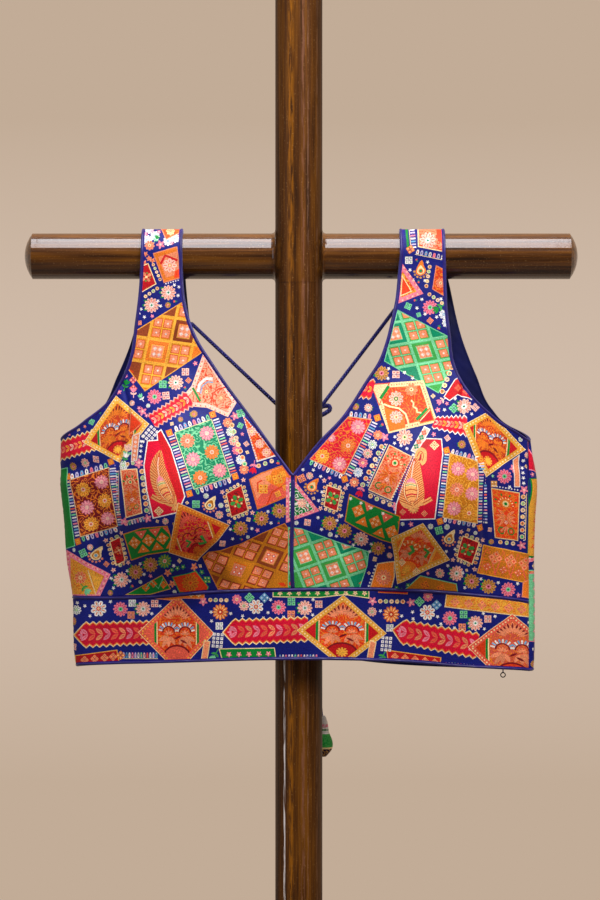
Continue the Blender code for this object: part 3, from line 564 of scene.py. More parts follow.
class Drawing:
    """The layout of the cloth's pattern: a sheet 600 units wide and 900 high, as the viewer sees the blouse.

    One unit is 0.85 mm at the post's middle. Points of the sheet fall on the cloth along the lines of sight.
    """

    UNIT = 0.00085
    MIDDLE = (300.0, 450.0)
    EYE = (0.001, -2.55, 0.408)
    SIDE = 0.985  # how far round towards the side the sheet is read as seen
    SPREAD = 1.9  # past that, how much cloth a length of the sheet covers
    CROWN = 0.95  # how far up the strap's bend the sheet is read as seen
    CORNER = (30.0, 200.0)
    STEP = 3.0
    SIZE = (180, 170)

    def __init__(self, behind: bool) -> None:
        """Works out where the sheet falls on the front, or on the back.

        Args:
            behind: Whether it is the back's sheet.
        """
        columns, rows = (start + self.STEP * np.arange(count) for start, count in zip(self.CORNER, self.SIZE))
        sheet = np.stack(np.meshgrid(columns, rows, indexing="ij"), axis=-1).reshape(-1, 2)
        flat = self.on_back(sheet) if behind else self.on_front(sheet)
        self.table = flat.reshape(*self.SIZE, 2)

    def on_cloth(self, points: Array) -> Array:
        """Lays points of the sheet on flat cloth.

        Args:
            points: The points.

        Returns:
            The points of flat cloth, in metres.
        """
        at = (points - self.CORNER) / self.STEP
        cell = np.clip(at.astype(int), 0, np.array(self.SIZE) - 2)
        share = at - cell
        i, j = cell.T
        u, v = share[:, :1], share[:, 1:]
        upper = self.table[i, j] * (1 - u) + self.table[i + 1, j] * u
        lower = self.table[i, j + 1] * (1 - u) + self.table[i + 1, j + 1] * u
        return upper * (1 - v) + lower * v

    def on_front(self, sheet: Array) -> Array:
        """Lays points of the sheet on the front.

        Args:
            sheet: The points.

        Returns:
            The points of the front's flat cloth, in metres.
        """
        right = (sheet[:, 0] - self.MIDDLE[0]) * self.UNIT
        up = (self.MIDDLE[1] - sheet[:, 1]) * self.UNIT
        y = np.full(len(sheet), -0.04)
        for _ in range(8):
            nearness = (y - self.EYE[1]) / -self.EYE[1]
            places, beyond = self.place(self.EYE[0] + right * nearness, self.EYE[2] + up * nearness)
            y = FORM.at(places)[:, 1]
        return CLOTH.unroll(places) + np.column_stack((beyond * self.SPREAD, np.zeros(len(sheet))))

    def on_back(self, sheet: Array) -> Array:
        """Lays points of a sheet seen from behind on the back.

        Args:
            sheet: The points.

        Returns:
            The points of the back's flat cloth, in metres.
        """
        x = (self.MIDDLE[0] - sheet[:, 0]) * self.UNIT
        places, beyond = self.place(x, self.EYE[2] + (self.MIDDLE[1] - sheet[:, 1]) * self.UNIT)
        places[:, 0] = math.pi - places[:, 0]
        return CLOTH.unroll(places) - np.column_stack((beyond * self.SPREAD, np.zeros(len(sheet))))

    def place(self, x: Array, z: Array) -> tuple[Array, Array]:
        """Finds the place on the front at x and z.

        Args:
            x: Where across.
            z: How high.

        Returns:
            The place, and how far x is beyond the side.
        """
        over = np.maximum((z - RAIL_HEIGHT) / STRAP_BEND, 0)
        bent = np.arcsin(np.minimum(over, self.CROWN)) + 2.2 * np.maximum(over - self.CROWN, 0)
        reach = np.where(z > RAIL_HEIGHT, RAIL_HEIGHT + STRAP_BEND * bent, z)
        middle, half_width, _, _ = FORM.ring(np.minimum(reach, RAIL_HEIGHT))
        share = (x - middle) / half_width
        kept = np.clip(share, -self.SIDE, self.SIDE)
        return np.column_stack((np.arcsin(kept), reach)), (share - kept) * half_width


def densified(points: Array, step: float, closed: bool = True) -> Array:
    """Adds points to a line.

    Args:
        points: Its points.
        step: The most from point to point.
        closed: Whether it meets itself.

    Returns:
        The same line, with points at most a step apart.
    """
    starts = points if closed else points[:-1]
    ways = np.vstack((points[1:], points[:1]))[: len(starts)] - starts
    counts = np.maximum(1, np.ceil(np.hypot(ways[:, 0], ways[:, 1]) / step)).astype(int)
    owner = np.repeat(np.arange(len(starts)), counts)
    share = (np.arange(len(owner)) - (counts.cumsum() - counts)[owner]) / counts[owner]
    dense = starts[owner] + ways[owner] * share[:, None]
    return dense if closed else np.vstack((dense, points[-1:]))


def signed_area(outline: Array) -> float:
    """The area of an outline, positive if it runs anticlockwise."""
    x, y = outline[:, 0], outline[:, 1]
    return float((x[:-1] * y[1:] - x[1:] * y[:-1]).sum() + x[-1] * y[0] - x[0] * y[-1]) / 2


def inside_outline(points: Array, outline: Array) -> Array:
    """Tells which points lie inside an outline.

    Args:
        points: The points.
        outline: The outline's points.

    Returns:
        Whether each point lies inside.
    """
    x, y = points[:, :1], points[:, 1:]
    x0, y0 = outline.T
    x1, y1 = np.roll(outline, -1, axis=0).T
    crosses = (y0 > y) != (y1 > y)
    with np.errstate(divide="ignore", invalid="ignore"):
        left = x < (x1 - x0) * (y - y0) / (y1 - y0) + x0
    return (crosses & left).sum(axis=1) % 2 == 1


def linear(color: Sequence[float]) -> tuple[float, float, float]:
    """Turns a colour for the eye into the light it stands for.

    Args:
        color: The colour, as 0 to 255.

    Returns:
        The light, as 0 to 1.
    """
    share = np.array(color[:3], float) / 255
    light = np.where(share <= 0.04045, share / 12.92, ((share + 0.055) / 1.055) ** 2.4)
    return tuple(float(value) for value in light)


class Yarn(Enum):
    """The colours of the cloth's yarns, as 0 to 255 for the eye."""

    NAVY = (20, 28, 116)
    BINDING = (38, 26, 118)
    ROYAL = (34, 48, 140)
    INK = (12, 14, 52)
    TEAL = (10, 140, 96)
    GREEN = (12, 134, 50)
    LEAF = (60, 160, 70)
    MINT = (120, 206, 150)
    RED = (198, 22, 30)
    CRIMSON = (216, 16, 50)
    MAROON = (126, 20, 30)
    FLAME = (226, 62, 24)
    ORANGE = (234, 122, 36)
    BROWN = (140, 62, 30)
    OCHRE = (206, 124, 26)
    YELLOW = (244, 172, 58)
    PEACH = (240, 142, 100)
    CORAL = (230, 92, 70)
    PINK = (236, 128, 150)
    BLUSH = (246, 192, 172)
    CREAM = (246, 216, 158)
    WHITE = (236, 230, 222)
    SKY = (110, 168, 206)
    LILAC = (198, 186, 222)
    GOLD = (200, 144, 66)
    APRICOT = (222, 150, 116)
    EMBER = (198, 62, 30)
    HONEY = (240, 168, 98)


(
    NAVY, BINDING, ROYAL, INK, TEAL, GREEN, LEAF, MINT, RED, CRIMSON, MAROON, FLAME, ORANGE, BROWN, OCHRE,
    YELLOW, PEACH, CORAL, PINK, BLUSH, CREAM, WHITE, SKY, LILAC, GOLD, APRICOT, EMBER, HONEY,
) = Yarn


def yarn_color(yarn: Yarn | None) -> tuple[float, ...]:
    """A yarn's light with how much of it there is, all nought for no yarn."""
    return (0.0, 0.0, 0.0, 0.0) if yarn is None else (*linear(yarn.value), 1.0)


@dataclass
class Shape:
    """One shape of the cloth's pattern.

    Attributes:
        outline: Its points on the flat cloth, in millimetres.
        yarn: Its colour.
        inside: The number of the shape that it doesn't leave.
        tone: How much lighter or darker than its yarn it is.
        scroll: The yarn of the fine scrollwork on it, if it has any.
    """

    outline: Array
    yarn: Yarn
    inside: int
    tone: float
    scroll: Yarn | None = None


class Weave:
    """The pattern of one panel: shapes on flat cloth, the later ones on top."""

    LONGEST_EDGE = 2.6
    GRID = 3.0
    SELVEDGE_ROWS = (0.7, 1.5, 2.6)
    TONES = (0.86, 1.12)

    def __init__(self, outline: Array, ground: Yarn, seed: int) -> None:
        """Starts a pattern.

        Args:
            outline: The panel's outline on flat cloth, in metres, anticlockwise.
            ground: The yarn of what no shape covers.
            seed: The start of this panel's random tones.
        """
        self.outline = outline / MM
        self.dice = np.random.default_rng(seed)
        self.shapes = [Shape(self.outline, ground, 0, 1.0)]
        self.low = self.outline.min(axis=0)
        self.high = self.outline.max(axis=0)

    def add(self, outline: Array, yarn: Yarn, inside: int = 0, scroll: Yarn | None = None) -> int:
        """Puts a shape on top of those before it.

        Args:
            outline: Its points on flat cloth, in metres.
            yarn: Its colour.
            inside: The number of the shape that it doesn't leave.
            scroll: The yarn of the fine scrollwork on it, if it has any.

        Returns:
            The new shape's number, or that of the shape it should lie in if it misses the panel.
        """
        points = outline / MM
        if (points.max(axis=0) < self.low).any() or (points.min(axis=0) > self.high).any():
            return inside
        area = signed_area(points)
        if abs(area) < 0.01:
            return inside
        if area < 0:
            points = points[::-1]
        tone = float(self.dice.uniform(*self.TONES))
        self.shapes.append(Shape(densified(points, self.LONGEST_EDGE), yarn, inside, tone, scroll))
        return len(self.shapes) - 1

    def spare_points(self) -> Array:
        """Strews points that let the panel's mesh follow the form between the outlines.

        Returns:
            The points, in millimetres.
        """
        low, high = self.low, self.high
        xs = np.arange(low[0], high[0], self.GRID)
        ys = np.arange(low[1], high[1], self.GRID * 0.866)
        grid = np.array([(x + (row % 2) * self.GRID / 2, y) for row, y in enumerate(ys) for x in xs])
        inward = sideways(ways_along(self.outline, closed=True))
        rows = [self.outline + inward * depth for depth in self.SELVEDGE_ROWS]
        points = np.vstack((grid, *rows))
        points = points[inside_outline(points, self.outline)]
        nearest = np.full(len(points), np.inf)
        for start in range(0, len(self.outline), 200):
            block = self.outline[start : start + 200]
            apart = np.linalg.norm(points[:, None] - block[None], axis=2).min(axis=1)
            nearest = np.minimum(nearest, apart)
        return points[nearest > self.SELVEDGE_ROWS[0] * 0.8]

    def open_spots(self, pitch: float) -> list[tuple[float, float, float]]:
        """Finds bare ground.

        Args:
            pitch: The step between the spots that are tried, in millimetres.

        Returns:
            The spots in millimetres, the widest first, each with its distance from what is drawn.
        """
        low, high = self.low, self.high
        dice = np.random.default_rng(len(self.shapes))
        xs, ys = np.arange(low[0], high[0], pitch), np.arange(low[1], high[1], pitch)
        points = np.array([(x, y) for y in ys for x in xs])
        points = points + dice.uniform(-0.35, 0.35, points.shape) * pitch
        points = points[inside_outline(points, self.outline)]
        for shape in self.shapes[1:]:
            if not shape.inside:
                low, high = shape.outline.min(axis=0), shape.outline.max(axis=0)
                near = np.flatnonzero(((points > low) & (points < high)).all(axis=1))
                if len(near):
                    points = np.delete(points, near[inside_outline(points[near], shape.outline)], axis=0)
        marks = np.vstack([shape.outline for shape in self.shapes if not shape.inside])
        tree = KDTree(len(marks))
        for index, (x, y) in enumerate(marks):
            tree.insert((x, y, 0.0), index)
        tree.balance()
        return sorted(((x, y, tree.find((x, y, 0.0))[2]) for x, y in points), key=lambda spot: -spot[2])

    def cut(self) -> tuple[Array, Array, Array, Array]:
        """Cuts the panel into triangles along the outlines of all its shapes.

        Returns:
            The points on flat cloth in metres, the triangles, and for each triangle the colour of its yarn
            and of its scrollwork, with how strong that is.
        """
        points, faces = [], []
        for shape in self.shapes:
            faces.append(list(range(len(points), len(points) + len(shape.outline))))
            points.extend(map(tuple, shape.outline))
        points.extend(map(tuple, self.spare_points()))
        flat, _, triangles, _, _, covers = delaunay_2d_cdt(points, [], faces, 0, 1e-4)
        flat = np.array([tuple(point) for point in flat])
        triangles = np.array(triangles)
        counts = np.array([len(cover) for cover in covers])
        owner = np.repeat(np.arange(len(triangles)), counts)
        shape = np.array([number for cover in covers for number in cover])
        middles = flat[triangles].mean(axis=1)[owner]
        lows = np.array([s.outline.min(axis=0) for s in self.shapes])[shape]
        highs = np.array([s.outline.max(axis=0) for s in self.shapes])[shape]
        fits = ((middles >= lows - 1e-3) & (middles <= highs + 1e-3)).all(axis=1)
        owner, shape = owner[fits], shape[fits]
        total = len(self.shapes)
        keys = owner * total + shape
        within = np.array([s.inside for s in self.shapes])[shape]
        fits = np.isin(owner * total + within, keys) & np.isin(owner * total, keys)
        top = np.full(len(triangles), -1)
        np.maximum.at(top, owner[fits], shape[fits])
        kept = top >= 0
        yarns = np.array([(*(np.array(linear(s.yarn.value)) * s.tone), 1.0) for s in self.shapes])
        scrolls = np.array([yarn_color(s.scroll) for s in self.shapes])
        return flat * MM, triangles[kept], yarns[top[kept]], scrolls[top[kept]]


Mapping = Callable[[Array], Array]
MOTIF_REACH = 12  # how far a motif may reach from its place, in millimetres


@dataclass(frozen=True)
class Brush:
    """Draws shapes in a frame of its own, in millimetres.

    Attributes:
        weave: The pattern that it draws on.
        inside: The number of the shape that its shapes don't leave.
        place: Turns points of its own frame into points of flat cloth, in metres.
    """

    weave: Weave
    inside: int
    place: Mapping

    def moved(self, u: float, v: float, angle: float = 0.0, size: float = 1.0) -> Brush:
        """Moves the frame, then turns it, then makes it larger.

        Args:
            u: How far along.
            v: How far down.
            angle: The turn in degrees.
            size: How many times larger.

        Returns:
            The same brush in that frame.
        """
        turn = math.radians(angle)
        spin = np.array(((math.cos(turn), math.sin(turn)), (-math.sin(turn), math.cos(turn)))) * size
        return Brush(self.weave, self.inside, lambda points: self.place(points @ spin + (u, v)))

    def within(self, inside: int) -> Brush:
        """The same brush, kept inside another shape."""
        return Brush(self.weave, inside, self.place)

    def on(self, points: Iterable[Row], yarn: Yarn, scroll: Yarn | None = None) -> Brush:
        """The same brush, kept inside a new shape."""
        return self.within(self.shape(points, yarn, scroll))

    def shape(self, points: Iterable[Row], yarn: Yarn, scroll: Yarn | None = None) -> int:
        """A shape from its corners."""
        outline = densified(np.array(tuple(points), float), 3.0)
        return self.weave.add(self.place(outline), yarn, self.inside, scroll)

    def near(self, spots: Sequence[Spot]) -> bool:
        """Whether what is drawn at these places of the frame can touch the panel."""
        points = self.place(np.array(spots, float)) / MM
        above = points.max(axis=0) > self.weave.low - MOTIF_REACH
        return bool(above.all() and (points.min(axis=0) < self.weave.high + MOTIF_REACH).all())

    def disc(self, radius: float, yarn: Yarn, u: float = 0.0, v: float = 0.0, sides: int = 8) -> int:
        """A round spot."""
        angles = np.arange(sides) * 2 * math.pi / sides
        return self.shape(np.column_stack((u + radius * np.cos(angles), v + radius * np.sin(angles))), yarn)

    def box(self, u: float, v: float, width: float, height: float, yarn: Yarn) -> int:
        """An upright rectangle round its middle."""
        w, h = width / 2, height / 2
        return self.shape(((u - w, v - h), (u + w, v - h), (u + w, v + h), (u - w, v + h)), yarn)

    def diamond(self, w: float, h: float, yarn: Yarn, u: float = 0.0, v: float = 0.0) -> int:
        """A diamond round its middle, from its half width and half height."""
        return self.shape(((u, v - h), (u + w, v), (u, v + h), (u - w, v)), yarn)

    def leaf(self, start: float, length: float, width: float, yarn: Yarn) -> int:
        """A pointed leaf along the frame's v axis.

        Args:
            start: Where it starts.
            length: Its length.
            width: Its width.
            yarn: Its yarn.

        Returns:
            The shape's number.
        """
        w, end = width / 2, start + length
        sides = ((0.8, 0.28), (1.0, 0.55), (0.55, 0.85))
        body = ((0, start), *((w * out, start + length * far) for out, far in sides))
        back = tuple((-u, v) for u, v in body[:0:-1])
        return self.shape((*body, (0, end), *back), yarn)

    def petal(self, start: float, length: float, width: float, yarn: Yarn) -> int:
        """A round-ended petal along the frame's v axis.

        Args:
            start: Where it starts.
            length: Its length.
            width: Its width.
            yarn: Its yarn.

        Returns:
            The shape's number.
        """
        w, end = width / 2, start + length
        bulge = ((w, start + length * 0.55), (w * 0.8, start + length * 0.88))
        side = ((w * 0.35, start), *bulge, (w * 0.3, end))
        return self.shape((*side, *((-u, v) for u, v in side[::-1])), yarn)

    def line(self, points: Sequence[Row], width: float, yarn: Yarn) -> int:
        """A line of one width along a row of points.

        Args:
            points: The points of its middle line.
            width: Its width.
            yarn: Its yarn.

        Returns:
            The shape's number.
        """
        row = np.array(tuple(points), float)
        ways = unit(np.diff(row, axis=0))
        ways = unit(np.vstack((ways[:1], ways[1:] + ways[:-1], ways[-1:])))
        aside = sideways(ways) * width / 2
        return self.shape(np.vstack((row - aside, (row + aside)[::-1])), yarn)

    def ring(self, radius: float, width: float, yarn: Yarn, ground: Yarn, sides: int = 10) -> None:
        """A ring round the frame's middle, with its ground inside."""
        self.disc(radius, yarn, sides=sides)
        self.disc(radius - width, ground, sides=sides)


Spot = tuple[float, float]
Corners = tuple[Spot, ...]


def between(start: Sequence[float], stop: Sequence[float], share: float) -> Spot:
    """The point a share of the way from start to stop."""
    return (start[0] + (stop[0] - start[0]) * share, start[1] + (stop[1] - start[1]) * share)


def apart(start: Sequence[float], stop: Sequence[float]) -> float:
    """How far apart two points are."""
    return math.hypot(stop[0] - start[0], stop[1] - start[1])


def arch(x: float, y: float, radius: float, rise: float, step: int) -> list[Spot]:
    """Half an oval, from its left end over its top to its right end.

    Args:
        x: Its middle, across.
        y: Its middle, down.
        radius: Half its width.
        rise: How high it stands.
        step: From point to point, in degrees.

    Returns:
        The oval's points.
    """
    angles = [math.radians(angle) for angle in range(180, 361, step)]
    return [(x + radius * math.cos(angle), y + rise * math.sin(angle)) for angle in angles]


def heading(way: Sequence[float]) -> float:
    """The turn, in degrees, that points a frame's v along a way."""
    return math.degrees(math.atan2(-way[0], way[1]))


def in_quad(brush: Brush, corners: Corners) -> tuple[Brush, float, float]:
    """A brush whose frame fills a patch with four corners.

    Args:
        brush: The brush of the sheet.
        corners: The patch's corners in order: the frame's u runs from the first to the second.

    Returns:
        The new brush, and the frame's width and height in the sheet's units.
    """
    a, b, c, d = (np.array(corner, float) for corner in corners)
    width = (apart(a, b) + apart(d, c)) / 2
    height = (apart(a, d) + apart(b, c)) / 2

    def place(points: Array) -> Array:
        """Points of the patch as points of flat cloth."""
        u, v = points[:, :1] / width, points[:, 1:] / height
        return brush.place(a * (1 - u) * (1 - v) + b * u * (1 - v) + c * u * v + d * (1 - u) * v)

    return Brush(brush.weave, brush.inside, place), width, height


@dataclass(frozen=True)
class Flower:
    """A round flower with split petals.

    Attributes:
        radius: Its radius.
        petal: The petals' yarn.
        vein: The yarn of the stripe in each petal.
        ring: The yarn round the heart.
        heart: The heart's yarn.
        petals: How many petals it has.
        leaf: The yarn of the leaves behind it, if it has any.
        leaf_angle: Where they stand, in degrees.
    """

    radius: float
    petal: Yarn
    vein: Yarn
    ring: Yarn
    heart: Yarn
    petals: int = 10
    leaf: Yarn | None = None
    leaf_angle: float = 270.0

    def draw(self, brush: Brush) -> None:
        """Draws it round the frame's middle.

        Args:
            brush: The brush to draw with.
        """
        if self.leaf is not None:
            for lean in (-34, 0, 34):
                spot = brush.moved(0, 0, self.leaf_angle + lean)
                spot.leaf(self.radius * 0.5, self.radius * 0.75, 3.2, self.leaf)
        broad = 2 * math.pi * self.radius * 0.72 / self.petals
        for k in range(self.petals):
            turned = brush.moved(0, 0, 360 * k / self.petals)
            turned.petal(self.radius * 0.28, self.radius * 0.72, broad * 0.96, self.petal)
            turned.box(0, self.radius * 0.64, broad * 0.22, self.radius * 0.40, self.vein)
        brush.disc(self.radius * 0.31, self.ring)
        brush.disc(self.radius * 0.15, self.heart, sides=6)


@dataclass(frozen=True)
class FourDiamonds:
    """Four small diamonds that make a large one.

    Attributes:
        size: From the middle to a corner of the large one.
        yarn: The diamonds' yarn.
        dot: The yarn of the spot in each.
    """

    size: float
    yarn: Yarn
    dot: Yarn

    def draw(self, brush: Brush) -> None:
        """Draws them round the frame's middle.

        Args:
            brush: The brush to draw with.
        """
        half = self.size * 0.44
        for u, v in ((0, -1), (1, 0), (0, 1), (-1, 0)):
            u, v = u * self.size * 0.5, v * self.size * 0.5
            brush.diamond(half, half, self.yarn, u, v)
            brush.diamond(half * 0.36, half * 0.36, self.dot, u, v)


@dataclass(frozen=True)
class Star:
    """A small star or bud with five points."""

    size: float
    yarn: Yarn
    heart: Yarn

    def draw(self, brush: Brush) -> None:
        """Draws it round the frame's middle.

        Args:
            brush: The brush to draw with.
        """
        for k in range(5):
            brush.moved(0, 0, 72 * k).leaf(0, self.size, self.size * 0.55, self.yarn)
        brush.disc(self.size * 0.26, self.heart, sides=6)


@dataclass(frozen=True)
class Bud:
    """A bud on a short stem with two leaves."""

    size: float
    yarn: Yarn
    leaf: Yarn

    def draw(self, brush: Brush) -> None:
        """Draws it round the frame's middle, with its tip along v.

        Args:
            brush: The brush to draw with.
        """
        brush.box(0, -self.size * 0.5, self.size * 0.14, self.size, self.leaf)
        for lean in (-58, 58):
            brush.moved(0, -self.size * 0.4, lean).leaf(0, self.size * 0.7, self.size * 0.34, self.leaf)
        for lean in (-30, 30, 0):
            brush.moved(0, 0, lean).leaf(0, self.size, self.size * 0.44, self.yarn)


@dataclass(frozen=True)
class Paisley:
    """A drop with a curled tip, a rim and small scallops along its back.

    Attributes:
        size: Its length.
        rim: The rim's yarn.
        body: The yarn inside the rim.
        eye: The yarn of its eye.
        scallop: The yarn of the scallops.
    """

    size: float
    rim: Yarn
    body: Yarn
    eye: Yarn
    scallop: Yarn

    def outline(self, width: float) -> list[Spot]:
        """Gives the drop's outline.

        Args:
            width: How much narrower it is all round.

        Returns:
            The outline's points.
        """
        shrink = 1 - width
        points = []
        for k in range(16):
            angle = 2 * math.pi * k / 16
            u = 0.34 * math.sin(angle) * shrink
            v = 0.30 * -math.cos(angle) * shrink
            if v < 0:
                share = -v / 0.30
                v *= 1.0 + 1.05 * share**1.6
                u = u * (1 - 0.25 * share) + 0.30 * share**3
            points.append((u * self.size, (v + 0.16) * self.size))
        return points

    def draw(self, brush: Brush) -> None:
        """Draws it with its tip against v.

        Args:
            brush: The brush to draw with.
        """
        size = self.size
        for k in range(7):
            angle = math.radians(200 - 30 * k)
            u, v = 0.42 * math.cos(angle) * size, (0.20 + 0.38 * math.sin(angle)) * size
            brush.disc(size * 0.075, self.scallop, u, v, 6)
        brush.shape(self.outline(0.0), self.rim)
        tip = brush.moved(size * 0.34, -size * 0.34, 40)
        tip.leaf(0, size * 0.30, size * 0.17, self.rim)
        brush.shape(self.outline(0.30), self.body)
        brush.disc(size * 0.155, self.rim, 0, size * 0.17)
        brush.disc(size * 0.10, self.eye, 0, size * 0.17, 6)


@dataclass(frozen=True)
class Rosette:
    """A squared flower of four petals with dots between them."""

    size: float
    petal: Yarn
    dot: Yarn
    heart: Yarn

    def draw(self, brush: Brush) -> None:
        """Draws it round the frame's middle.

        Args:
            brush: The brush to draw with.
        """
        for k in range(4):
            turned = brush.moved(0, 0, 90 * k + 45)
            turned.petal(self.size * 0.18, self.size * 0.72, self.size * 0.52, self.petal)
            brush.moved(0, 0, 90 * k).disc(self.size * 0.15, self.dot, 0, self.size * 0.66, 6)
        brush.disc(self.size * 0.22, self.heart, sides=6)


RUNG_YARNS = (WHITE, LILAC, SKY, WHITE, PINK, LILAC, WHITE, MINT, BLUSH, CORAL)


@dataclass(frozen=True)
class Ladder:
    """A border of rungs between two thin lines, along the frame's u.

    Attributes:
        pitch: From rung to rung.
        line: The lines' yarn.
        arched: Whether each rung ends in an arch with a dot, as a row of little doors.
        first: Where in the round of yarns it starts.
    """

    pitch: float = 2.7
    line: Yarn = CREAM
    arched: bool = False
    first: int = 0

    def draw(self, brush: Brush, length: float, width: float) -> None:
        """Draws it in a frame so long and wide.

        Args:
            brush: The brush to draw with.
            length: The frame's length.
            width: The frame's width.
        """
        if width > 3:
            brush.box(length / 2, width * 0.95, length, 0.55, self.line)
        count = max(2, round(length / self.pitch))
        for k in range(count):
            u = (k + 0.5) * length / count
            yarn = RUNG_YARNS[(k + self.first) % len(RUNG_YARNS)]
            if self.arched:
                half = length / count * 0.33
                left = ((u - half, width * 0.86), (u - half, width * 0.42), (u - half * 0.5, width * 0.14))
                right = ((u + half * 0.5, width * 0.14), (u + half, width * 0.42), (u + half, width * 0.86))
                brush.shape((*left, *right), yarn)
                brush.box(u, width * 0.52, half * 0.62, width * 0.34, INK if k % 2 else CORAL)
            else:
                brush.box(u, width * 0.47, length / count * 0.50, width * 0.74, yarn)


@dataclass(frozen=True)
class BeadRow:
    """Round beads between two thin lines, along the frame's u."""

    pitch: float = 6.6
    line: Yarn | None = CREAM
    yarns: tuple[Yarn, ...] = (PEACH, MINT, BLUSH, CREAM, CORAL)
    scallops: bool = False

    def draw(self, brush: Brush, length: float, width: float) -> None:
        """Draws it in a frame so long and wide.

        Args:
            brush: The brush to draw with.
            length: The frame's length.
            width: The frame's width.
        """
        if self.line is not None:
            brush.box(length / 2, width * 0.04, length, 0.6, self.line)
            if not self.scallops:
                brush.box(length / 2, width * 0.96, length, 0.6, self.line)
        count = max(1, round(length / self.pitch))
        radius = min(width * 0.36, length / count * 0.40)
        for k in range(count):
            spot = brush.moved((k + 0.5) * length / count, width / 2)
            spot.disc(radius, CREAM)
            spot.disc(radius * 0.72, self.yarns[k % len(self.yarns)])
            spot.box(0, -radius * 0.1, radius * 0.7, radius * 0.35, FLAME if k % 2 else GREEN)
            if self.scallops:
                spot.disc(radius * 0.26, WHITE, length / count / 2, -width * 0.30, 6)


@dataclass(frozen=True)
class Spots:
    """A row of plain spots along the frame's u."""

    pitch: float = 4.6
    radius: float = 1.5
    yarn: Yarn = WHITE

    def draw(self, brush: Brush, length: float, width: float) -> None:
        """Draws it in a frame so long and wide.

        Args:
            brush: The brush to draw with.
            length: The frame's length.
            width: The frame's width.
        """
        count = max(1, round(length / self.pitch))
        for k in range(count):
            brush.disc(self.radius, self.yarn, (k + 0.5) * length / count, width / 2, 6)


Trim = Ladder | BeadRow | Spots


def draw_border(brush: Brush, start: Spot, stop: Spot, width: float, border: Trim) -> None:
    """Draws a straight border.

    Args:
        brush: The brush of the sheet.
        start: Where its inner edge starts.
        stop: Where its inner edge ends.
        width: Its width, to the left of the way from start to stop as the sheet is seen.
        border: What it is made of.
    """
    long = apart(start, stop)
    aside = ((stop[1] - start[1]) / long * width, -(stop[0] - start[0]) / long * width)
    far = [(x + aside[0], y + aside[1]) for x, y in (start, stop)]
    frame, length, height = in_quad(brush, (far[0], far[1], stop, start))
    border.draw(frame, length, height)


def draw_dots(
    brush: Brush, corners: Corners, inset: float, pitch: float, radius: float, yarns: tuple[Yarn, ...]
) -> None:
    """Draws a row of dots inside each side of an outline.

    Args:
        brush: The brush of the sheet.
        corners: The outline's corners.
        inset: How far inside it they stand, as a share of the way to its middle.
        pitch: From dot to dot.
        radius: A dot's radius.
        yarns: The dots' yarns, in turn.
    """
    middle = np.mean(corners, axis=0)
    inside = [between(corner, middle, inset) for corner in corners]
    for start, stop in zip(inside, inside[1:] + inside[:1]):
        count = max(2, round(apart(start, stop) / pitch))
        for k in range(count):
            brush.disc(radius, yarns[k % len(yarns)], *between(start, stop, (k + 0.5) / count), 6)


class Patch:
    """Something drawn on the sheet."""

    def spots(self) -> Sequence[Spot]:
        """Places of the sheet that it covers."""
        return next(getattr(self, name) for name in ("corners", "outline", "points") if hasattr(self, name))

    def draw(self, brush: Brush) -> None:
        """Draws it with the sheet's brush."""
        raise NotImplementedError


@dataclass(frozen=True)
class FloralPatch(Patch):
    """A patch of flowers on leaves, with ladder borders.

    Attributes:
        corners: Its corners, without the borders.
        ground: Its ground's yarn.
        scroll: The yarn of its scrollwork.
        flowers: The flowers' places, radii and yarns.
        borders: For each side from the first corner on, its border's width and kind, or nothing.
        squares: The places of the small squares at its corners.
        edge: The yarn of the thin line round it.
    """

    corners: Corners
    ground: Yarn
    scroll: Yarn
    flowers: tuple[tuple[float, float, float, Yarn], ...]
    borders: tuple[tuple[float, Trim] | None, ...] = ()
    squares: Corners = ()
    edge: Yarn = CREAM

    def draw(self, brush: Brush) -> None:
        """Draws it on the sheet.

        Args:
            brush: The brush to draw with.
        """
        outer = brush.on(swollen(self.corners, 0.7), self.edge)
        inner = outer.on(self.corners, self.ground, self.scroll)
        for x, y, radius, yarn in self.flowers:
            inner.disc(radius * 0.9, yarn, x, y)
            vein = {PINK: BLUSH, YELLOW: FLAME, ORANGE: PEACH}.get(yarn, CORAL)
            Flower(radius * 1.06, yarn, vein, BLUSH, vein, 12).draw(inner.moved(x, y, x * 7))
        count = len(self.corners)
        for k, side in enumerate(self.borders):
            if side is not None:
                draw_border(brush, self.corners[k], self.corners[(k + 1) % count], *side)
        for x, y in self.squares:
            spot = brush.moved(x, y, -18)
            spot.box(0, 0, 6.0, 6.4, ORANGE)
            spot.diamond(2.2, 2.4, YELLOW)
            spot.diamond(0.9, 1.0, FLAME)


def swollen(corners: Sequence[Spot], by: float) -> list[Spot]:
    """Moves the sides of a polygon outwards.

    Args:
        corners: Its corners.
        by: How far, or inwards where it is negative.

    Returns:
        The new corners.
    """
    outline = np.array(corners, float)
    if signed_area(outline) < 0:
        outline = outline[::-1]
    before = unit(outline - np.roll(outline, 1, axis=0))
    after = unit(np.roll(outline, -1, axis=0) - outline)
    out_before = np.column_stack((before[:, 1], -before[:, 0]))
    out_after = np.column_stack((after[:, 1], -after[:, 0]))
    bisector = unit(out_before + out_after)
    stretch = 1 / np.maximum((bisector * out_before).sum(axis=1), 0.4)
    return [tuple(point) for point in outline + bisector * (by * stretch)[:, None]]


class Cell(Enum):
    """What fills one cell of a lattice."""

    FRAMED = "a large framed square"
    FRAMED_DARK = "a large framed square in a dark frame"
    WINDOWS = "four small windows"
    PLAIN = "a plain cell"
    DARK = "a plain dark cell"


FRAMED, FRAMED_DARK, WINDOWS, PLAIN, DARK = Cell
QUARTERS = ((-1, -1), (1, -1), (1, 1), (-1, 1))


